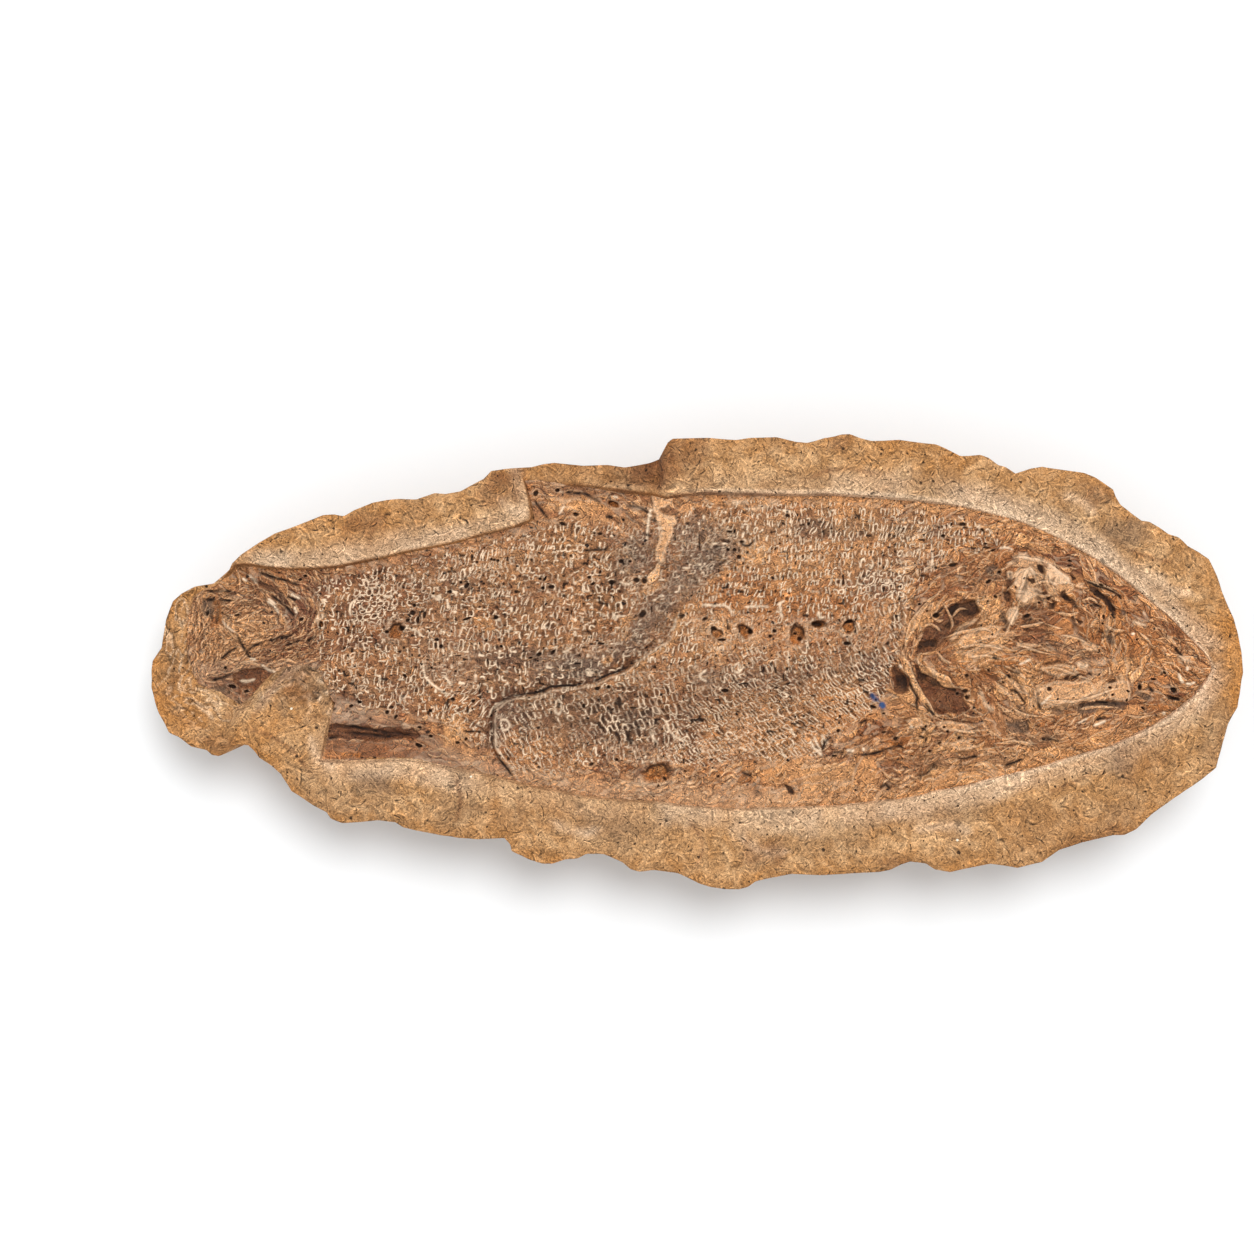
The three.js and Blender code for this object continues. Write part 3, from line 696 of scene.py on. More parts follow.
# Rows of scales: turn, pitch along and across, lean, height, chances of a wall and of an arch, hollow, seed
# and snugness.
WORN_SCALES = ScaleRows(10, 1.15, 1.4, 0.1, 1.0, 0.4, 0.4, 1.3, 21)
REAR_HIGH_SCALES = ScaleRows(4, 1.4, 2.3, 0.3, 0.92, 0.42, 0.2, 1.2, 3)
REAR_LOW_SCALES = ScaleRows(-3, 1.5, 2.2, -0.05, 0.88, 0.38, 0.22, 1.2, 5)
FRONT_HIGH_SCALES = ScaleRows(2, 1.25, 2.4, 0.1, 0.8, 0.52, 0.12, 0.8, 7)
FRONT_LOW_SCALES = ScaleRows(14, 1.4, 2.7, -0.2, 0.98, 0.6, 0.3, 1.1, 9, 0.86)
BELLY_SCALES = ScaleRows(17, 1.05, 2.2, -0.55, 1.05, 0.82, 0.25, 1.3, 13, 1.0)

# Beds of scales with their own look, each in its outline.
BEDS: list[tuple[Route, ScaleRows]] = [
    ([(-94, 10), (-94, 19), (-88, 22.5), (-82, 21), (-82, 12), (-87, 9)],
     ScaleRows(8, 1.9, 1.8, 0.25, 1.0, 0.78, 0.7, 0.9, 31)),
    ([(-73, 22), (-69, 29), (-56, 32), (-48, 34), (-44, 30), (-58, 24.5)],
     ScaleRows(12, 1.25, 3.0, 0.42, 0.92, 0.8, 0.2, 0.5, 33)),
    ([(-73, 2), (-72, 8), (-62, 9.5), (-55, 9), (-56, 3), (-66, 1)],
     ScaleRows(-2, 1.45, 3.6, 0.1, 0.95, 0.8, 0.3, 0.6, 35)),
    ([(-69, -6), (-60, -7), (-57, -14), (-60, -20), (-68, -16)],
     ScaleRows(-14, 1.7, 3.0, 0.4, 0.95, 0.8, 0.35, 0.7, 37)),
    ([(26, 33.5), (26, 37.5), (44, 39.5), (64, 38.5), (64, 35), (44, 34.5)],
     ScaleRows(-2, 1.3, 2.7, 0.2, 0.95, 0.66, 0.1, 1.2, 39)),
    ([(-30, -9), (-8, -5), (-2, -12), (-6, -22), (-22, -22), (-32, -18)],
     ScaleRows(9, 1.5, 2.6, -0.2, 1.05, 0.8, 0.5, 1.6, 41, 0.96)),
    ([(-5, -11), (10, -5), (28, -2), (32, -12), (28, -23), (8, -25), (-6, -22)],
     ScaleRows(15, 1.08, 2.1, -0.6, 1.1, 0.78, 0.4, 1.4, 43, 1.0)),
    ([(40, 16), (40, 24), (60, 27), (58, 18), (50, 14)],
     ScaleRows(4, 1.5, 2.2, 0.15, 0.9, 0.7, 0.5, 0.5, 45)),
]

# Kinds of line: half width, lift, stains and taper.
RIDGE = Stroke(0.7, 0.5, {SAND: 0.7, PALE: 0.4})
BLADE = Stroke(0.95, 0.6, {SAND: 0.8, PALE: 0.05}, 0.3, True)
RIB = Stroke(0.32, 0.2, {PALE: 0.9})
GLINT = Stroke(0.34, 0.35, {PALE: 1.3})
CLEFT = Stroke(0.42, -0.5, {DARK: 0.9})
SEAM = Stroke(0.34, -0.2, {UMBER: 0.6, DARK: 0.4})
GASH = Stroke(0.6, -0.7, {DARK: 0.9}, 0.3)
RUSTED = Stroke(0.8, 0.1, {RUST: 0.8})
FLECK = Stroke(0.85, 0.1, {BLUE: 1.3}, 0.3)
STRAND = Stroke(0.38, 0.35, {SAND: 0.58, PALE: 0.08}, 0.3, True)
SHADOW = Stroke(0.55, -0.45, {UMBER: 0.9, DARK: 0.5})
# a sunk brown line; on the rim some of them are painted shadow
SEAM_AND_SHADOW = Stroke(0.6, -0.3, {UMBER: 0.5, DARK: 0.2})
CREST = Stroke(1.4, 0.3, {PALE: 0.35, RUST: 0.2})

# Kinds of area: how soft the edge is, lift, stains, and how far the edge wanders.
PLATE = Patch(1.2, 0.5, {SAND: 0.65, PALE: 0.15}, cover=0.6)
BONE = Patch(1.6, 0.3, {SAND: 0.55}, cover=0.5)
HOLLOW = Patch(0.5, -0.9, {UMBER: 0.9, RUST: 0.1, DARK: 0.36}, 0.9, 0.85)
SHARD = Patch(0.4, 0.35, {SAND: 0.5, PALE: 0.04}, 0.6, 0.5, 0.22)
BRIGHT = Patch(0.5, 0.4, {SAND: 0.55, PALE: 0.32}, 0.8, 0.6, 0.15)
BROWN = Patch(0.6, -0.25, {UMBER: 0.72, RUST: 0.12, DARK: 0.08}, 0.5, 0.6)
INK = Patch(0.45, -0.8, {UMBER: 0.6, DARK: 0.8}, 0.9, 0.9)
COAL = Patch(0.8, -0.3, {GREY: 0.85, DARK: 0.3}, 0.9, 0.6)
FILM = Patch(1.4, 0.0, {UMBER: 0.72}, cover=0.5)
ASH = Patch(5.0, -0.15, {GREY: 0.66, UMBER: 0.18}, 2.0)
HAZE = Patch(7.0, 0.0, {GREY: 0.34}, 3.0)
# broad brown patches; on the rim some of them are painted shade
UMBER_AND_SHADE = Patch(4.0, -0.3, {UMBER: 0.45}, 2.0)
SMUDGE = Patch(3.0, -0.2, {GREY: 0.45, UMBER: 0.25, DARK: 0.1}, 2.5)
DUSK = Patch(4.0, 0.0, {UMBER: 0.05, DARK: 0.1}, 2.5)
AMBER = Patch(5.0, 0.0, {RUST: 0.34}, 2.5)
WASH = Patch(1.6, 0.1, {SAND: 0.4}, 1.5, 0.3)
GLOW = Patch(6.0, 0.1, {SAND: 0.22}, 3.0)
OCHRE = Patch(1.6, 0.1, {SAND: 0.3, RUST: 0.25}, cover=0.4)
FILLER = Patch(0.7, 0.35, {SAND: 0.6, PALE: 0.08}, 1.3, 0.7, 0.25)
LIGHT = Patch(5.0, 0.0, {PALE: 0.26}, 2.5)
TAN = Patch(6.0, 0.0, {UMBER: 0.13, RUST: 0.04}, 3.0)
EMBER = Patch(2.0, 0.0, {RUST: 0.2}, 1.5)

# Kinds of hole: depth, stains and the lip.
HOLE = Pit(1.0, {DARK: 0.95}, 0.12)
RUSTY = Pit(1.5, {RUST: 0.85, UMBER: 0.4, DARK: 0.9}, 0.12)

# What is drawn on the fish, kind by kind: later kinds lie over earlier ones. The areas lie under
# the fibres and the scales, and the marks over them.
AREAS: list[tuple[Patch, list[Route]]] = [
    (ASH, [
        [(-34, -6), (-28, -4), (-20, 0), (-13, 6), (-6, 13), (0, 20), (7, 26), (13, 31), (13, 36), (8, 39),
         (0, 40), (-6, 38), (-4, 30), (-8, 22), (-14, 14), (-20, 8), (-27, 3), (-34, 1), (-44, -1),
         (-46, -5)], [(-36, -6.5), (-25, -4), (-22, 1), (-28, 1), (-38, -2)],
        [(0, 24), (3, 36), (12, 36), (11, 30), (5, 25)], [(-22, 24), (-19, 34), (-13, 35), (-14, 26)],
        [(12, 34.5), (12, 38.5), (30, 39), (50, 38.5), (70, 37), (72, 34), (50, 34.5), (30, 34.5)],
        [(-58, -18), (-52, -10), (-50, -12), (-54, -24), (-58, -24)],
        [(78, 24), (84, 25), (84, 21), (76, 19)], [(84, -14), (90, -13), (92, -19), (86, -19)],
        [(-110, -2), (-104, -3), (-106, -9), (-112, -8)]]),
    (HAZE, [
        [(0, -4), (26, -3), (36, -14), (10, -20), (-4, -16)], [(44, 30), (57, 31), (60, 20), (46, 16)],
        [(-52, -8), (-40, -8), (-26, -8), (-12, -12), (-8, -20), (-14, -26), (-30, -25), (-46, -20),
         (-54, -14)], [(-2, -2), (10, -1), (30, 1), (50, 3), (52, -4), (36, -6), (16, -8), (0, -8)],
        [(-76, 8), (-60, 6), (-44, 2), (-46, -6), (-60, -8), (-76, -4)],
        [(-70, 26), (-58, 28), (-56, 18), (-68, 18)], [(-98, -4), (-88, -3), (-86, -12), (-96, -12)],
        [(-22, 30), (-12, 32), (-12, 22), (-20, 20)]]),
    (DUSK, [
        [(-54, -10), (-40, -8), (-20, -5), (0, -2), (20, -1), (40, -1), (46, -8), (30, -9), (12, -14),
         (2, -20), (-20, -26), (-40, -23), (-52, -18)],
        [(-16, 12), (-10, 20), (-16, 30), (-12, 38), (0, 40), (6, 28), (10, 16), (0, 14), (-10, 6)],
        [(-26, 2), (-14, 6), (-6, 16), (-6, 34), (-22, 34), (-28, 20)],
        [(0, -3), (24, -2), (40, -6), (30, -16), (6, -18), (-8, -14)],
        [(-60, 6), (-40, 6), (-32, 28), (-54, 30)], [(-58, -8), (-44, -8), (-44, -20), (-58, -20)],
        [(66, 2), (80, 10), (84, 20), (74, 24), (70, 10)], [(68, -14), (78, -14), (78, -22), (68, -22)],
        [(-100, 12), (-86, 14), (-78, 26), (-70, 28), (-72, 14), (-80, 2), (-92, 3)],
        [(-48, -12), (-30, -8), (-12, -4), (-8, -14), (-24, -22), (-48, -20)],
        [(-2, 14), (14, 18), (34, 18), (52, 14), (40, 11), (16, 12)]]),
    (AMBER, [
        [(102, 5), (118, 5), (118, 18), (104, 18)], [(64, -4), (88, -4), (88, 9), (70, 9)],
        [(90, 2), (95, 14), (104, 22), (114, 20), (120, 8), (128, 4), (136, 2), (138, -4), (126, -6),
         (112, -2), (100, -3)], [(44, -12), (58, -14), (64, -26), (50, -28), (40, -20)],
        [(-8, 16), (20, 22), (50, 18), (48, 12), (16, 12)], [(-76, -4), (-66, -6), (-64, -14), (-74, -16)],
        [(-104, 12), (-90, 11), (-88, 7), (-104, 7)],
        [(0, -8), (20, -4), (44, -6), (46, -14), (38, -20), (20, -24), (2, -22)],
        [(-102, -22), (-86, -22), (-85, -26), (-102, -27)],
        [(-40, 44), (-24, 45), (-14, 43), (-20, 41), (-38, 42)],
        [(-2, -29), (8, -29), (24, -30), (27, -35), (12, -33)]]),
    (DUSK, [
        [(-24, -4), (-4, -2), (-2, 12), (-20, 10)], [(54, -13), (80, -13), (78, -27), (54, -26)],
        [(-130, 25), (-111, 24), (-109, 14), (-127, 14)], [(-104, -19), (-62, -17), (-62, -29), (-105, -28)],
        [(67, -7), (88, -6), (87, 10), (68, 9)], [(102, 3), (118, 4), (118, 18), (104, 18)]]),
    (TAN, [
        [(-24, -4), (-4, -2), (-2, 12), (-20, 10)], [(-84, -9), (-56, -9), (-58, -20), (-82, -20)],
        [(66, -6), (88, -6), (88, 10), (70, 9)], [(78, 27), (100, 27), (92, 36), (76, 40)],
        [(78, -25), (112, -22), (104, -28), (80, -34)], [(56, -14), (78, -14), (78, -26), (56, -26)],
        [(-24, -8), (0, -3), (20, -1), (42, 0), (54, -4), (50, -12), (40, -20), (20, -24), (-8, -24),
         (-24, -20)],
        [(-40, -28), (-10, -28), (20, -28), (54, -28), (56, -34), (20, -37), (-20, -37), (-40, -35)],
        [(-28, 4), (-8, 8), (0, 20), (8, 40), (-12, 40), (-24, 26)],
        [(-104, 6), (-84, 4), (-70, 12), (-70, 28), (-100, 24)]]),
    (SMUDGE, [
        [(-36, -5.5), (-27, -2.5), (-25, 1), (-29, 1), (-37, -2)],
        [(-60, 3.5), (-44, 3), (-30, 1), (-28, -2), (-38, -3), (-50, 0), (-60, 0)],
        [(-24, -14), (-12, -13), (-10, -19), (-22, -20)],
        [(-18, -22.5), (-12, -23), (-12, -26), (-18, -25)]]),
    (GLOW, [
        [(2, -14), (20, -8), (44, -4), (52, -10), (44, -16), (36, -22), (20, -26), (6, -24)],
        [(13, 26), (13, 33), (26, 34), (50, 32), (56, 26), (40, 24), (22, 22)],
        [(60, -30), (76, -29), (100, -24), (120, -18), (100, -27), (80, -33), (64, -35)],
        [(-136, 2), (-133, 13), (-124, 14), (-117, 10), (-117, 4), (-126, 1)],
        [(-40, 36), (-28, 36), (-24, 30), (-32, 27), (-40, 29)], [(40, 44), (48, 44), (48, 36), (40, 36)],
        [(24, -24), (32, -24), (32, -32), (24, -32)], [(82, -12), (94, -12), (94, -20), (82, -20)],
        [(4, 40), (26, 40), (26, 33), (4, 34)], [(46, 38), (60, 38), (60, 30), (47, 31)],
        [(-2, 10), (8, 11), (9, 1), (-2, 1)], [(-57, 32), (-44, 32), (-44, 25), (-57, 25)],
        [(86, -22), (104, -22), (124, -12), (128, -17), (106, -27), (86, -31)],
        [(58, -24), (82, -24), (82, -31), (58, -31)], [(94, 4), (100, 4), (100, -6), (94, -5)],
        [(40, 42), (52, 40), (50, 36), (40, 38)], [(18, -40), (30, -39), (34, -34), (18, -36)],
        [(50, -9), (60, -8), (60, -16), (50, -16)], [(-4, 8), (0, 12), (-2, 16), (-6, 12)],
        [(106, 0), (118, 4), (128, 4), (124, -6), (110, -4)]]),
    (UMBER_AND_SHADE, [
        [(-61, -9), (-50, -7), (-45, -18), (-56, -20)], [(-128, 24), (-112, 23), (-110, 15), (-126, 15)],
        [(56, -15), (76, -15), (76, -25), (56, -25)], [(-102, -20), (-84, -20), (-84, -28), (-103, -28)],
        [(-84, -18), (-64, -18), (-64, -29), (-84, -29)],
        [(-132, -2), (-118, -1), (-117, -8), (-124, -12), (-131, -10)],
        [(-104, -8), (-90, -8), (-90, -16), (-103, -16)], [(-10, -14), (0, -14), (0, -22), (-10, -22)],
        [(26, 16), (38, 17), (38, 10), (26, 10)], [(-60, -9), (-50, -7), (-46, -18), (-57, -20)],
        [(-100, 14), (-84, 14), (-84, 5), (-100, 5)], [(112, 6), (126, 6), (126, -6), (112, -6)],
        [(45, 1), (57, 2), (55, -10), (44, -8)], [(73, 25), (83, 25), (83, 16), (73, 16)],
        [(106, 14), (118, 14), (120, 4), (108, 4)], [(67, -15), (78, -15), (78, -22), (67, -22)],
        [(-38, -3), (-28, -1), (-24, 2), (-30, 3), (-38, 1)], [(84, 34), (92, 34), (98, 28), (88, 28)],
        [(44, 30), (57, 31), (60, 20), (46, 16)],
        [(-108, 25), (-100, 24.5), (-84, 27), (-84, 23), (-98, 19), (-108, 18)],
        [(-106, 5), (-86, 10), (-84, 6), (-104, 0)], [(-134, 17), (-130, 18), (-129, 9), (-133, 9)],
        [(-92, -21), (-74, -20), (-68, -24), (-70, -28), (-92, -28)],
        [(-92, -21), (-74, -20), (-68, -24), (-70, -28), (-92, -28)],
        [(-104, -10), (-92, -10), (-90, -17), (-104, -17)],
        [(60, -25), (80, -24), (96, -22), (96, -27), (76, -30), (60, -30)],
        [(-100, 10), (-84, 12), (-78, 24), (-88, 25)],
        [(-137, -5), (-131, -2), (-127, -4), (-122, -1), (-117, -1), (-118, -5), (-122, -9), (-127, -12.5),
         (-131, -11)],
        [(-137, -5), (-131, -4), (-127, -6), (-122, -2), (-117, -2), (-118, -5), (-122, -9), (-127, -12.5),
         (-131, -11)], [(-130, 25), (-118, 21), (-108, 17), (-102, 21), (-104, 25), (-118, 26)],
        [(-116, 14), (-108, 17), (-104, 11), (-105, 4), (-114, 2), (-112, 8)],
        [(50, -27), (54, -27), (54, -37), (50, -37)],
        [(-102, -21), (-86, -21), (-84, -24), (-90, -27), (-102, -27)],
        [(8, -29.5), (22, -30), (24, -33), (12, -32)], [(58, 20), (66, 27), (76, 29), (70, 22), (60, 14)],
        [(-44, 44), (-30, 46), (-18, 43.5), (-18, 42), (-34, 43)],
        [(8, -29), (14, -28.4), (22, -31), (14, -31.6)], [(22, -33.4), (26, -34), (28, -37), (23, -36.6)],
        [(40, -22), (52, -16), (60, -20), (50, -27)], [(86, 12), (94, 13), (94, 5), (88, 5)],
        [(130, -7), (134, -8), (134, -11), (130, -11)],
        [(62, -28), (90, -27), (100, -22), (88, -23), (70, -25)]]),
    (BONE, [
        [(28, -28), (44, -28), (44, -36), (30, -36)],
        [(70, 6.5), (77, 11.5), (84, 9), (86, 5), (82, -2), (76, -1), (70, 2)],
        [(60, 10), (65, 17), (69, 16), (66, 11), (61, 8)],
        [(76, 20), (84, 23), (85, 12), (80, 9.5), (77, 13)],
        [(84, -4), (92, -1), (96, -6), (102, -13), (96, -15), (88, -14), (82, -9)],
        [(66, -20), (76, -21), (79, -24), (66, -25), (64, -22)],
        [(60, -14), (64, -14), (65, -21), (62, -24), (60, -20)],
        [(68, 40), (84, 37), (92, 34), (100, 30), (92, 31), (84, 35.5), (70, 38)],
        [(114, 0), (121, 2), (121, -5), (115, -5)], [(-70, -16), (-64, -15), (-62, -21), (-69, -24)],
        [(-40, 45), (-28, 45), (-22, 42), (-30, 41), (-42, 42)], [(13, 33), (20, 33), (20, 27), (14, 26)]]),
    (OCHRE, [
        [(56, -10), (59.5, -9.5), (61, -13.5), (56.5, -14.5)],
        [(110, 9.5), (115.5, 9.5), (115.5, 14), (110.5, 14.5)], [(44, -26), (50, -27), (49, -36), (45, -36)],
        [(66, -30), (72, -29), (72, -34), (66, -34.5)],
        [(90, -24), (100, -23), (110, -21), (120, -18.5), (120, -20), (105, -25.5), (90, -29.5), (80, -32),
         (86, -29)], [(126, 0), (134, -1), (132, 2), (126, 2)],
        [(-13, 46), (-6, 45.5), (-6, 43), (-12, 43.5)], [(0, 45.5), (24, 45), (20, 42.6), (4, 43)],
        [(-36, 46), (-28, 45), (-28, 43), (-36, 43)], [(10, -28), (24, -28), (26, -34), (16, -33)],
        [(-130, 24), (-127, 23), (-128, 20.5), (-132, 21)], [(-62, 12), (-56, 12), (-55, 8), (-60, 8)],
        [(-103, -25), (-96, -25), (-96, -27), (-103, -27)]]),
    (FILM, [
        [(96, 29), (98, 31), (103, 30.2), (109, 27), (115, 22.7), (118, 18.5), (117, 17), (113, 20.5),
         (107, 23), (103, 25), (99, 27.2)],
        [(88.3, 8), (89, 12), (91, 14.5), (96, 15), (99, 12.5), (98, 8.5), (95, 5.8), (91, 6)],
        [(59, -26.5), (63, -27), (65, -29), (62, -31), (58.5, -30)], [(69, 1), (72, -2), (71, -5), (67, -4)],
        [(84, -11), (88, -9), (85, -14), (81, -14)], [(104, 19), (108, 20), (112, 17), (110, 12), (102, 13)],
        [(129, -6), (133, -7), (134, -11), (129, -11)],
        [(-122, 25), (-112, 22), (-108, 20), (-110, 12), (-115, 15), (-120, 20)],
        [(-136, -4), (-127, -10), (-117, -2), (-120, -1), (-127, -3)],
        [(-112, 22), (-105, 23), (-104, 8), (-108, 4), (-113, 10)],
        [(-120, 2), (-116, 0), (-112, 2), (-104, 5), (-103, 9), (-108, 8.6), (-112, 8.4), (-118, 6.4)],
        [(-104, 18), (-100, 24), (-92, 25), (-98, 20)],
        [(-134, -5.5), (-128, -8), (-126, -12), (-130, -11), (-136, -7)],
        [(126, 12), (131, 9), (130, 6), (126, 8)], [(116, 12), (120, 13), (126, 14), (124, 11), (118, 8)],
        [(44, -19), (54, -15), (54, -18), (46, -21)],
        [(-99, -16), (-84, -16.5), (-78, -19), (-78, -21.5), (-90, -22), (-101, -21)]]),
    (PLATE, [
        [(86, 27), (88, 28.4), (92, 28), (95.5, 27.4), (98, 25.2), (100, 23.4), (103.2, 21.2), (101, 19.8),
         (97, 20), (95, 17.5), (94, 15.8), (90, 15.8), (88, 17), (88, 20.5), (86.5, 22), (85, 24.5)],
        [(93, -7), (98, -6.4), (104, -7.4), (109, -6.4), (113, -5.6), (118, -5.5), (119, -10), (112, -10.4),
         (107, -11), (103, -12.5), (97, -12), (92, -10)], [(66.5, -14.5), (70, -14.8), (66, -15.5)],
        [(85.3, 7.3), (88, 7.3), (88, 8.5), (85.3, 8.5)]]),
]
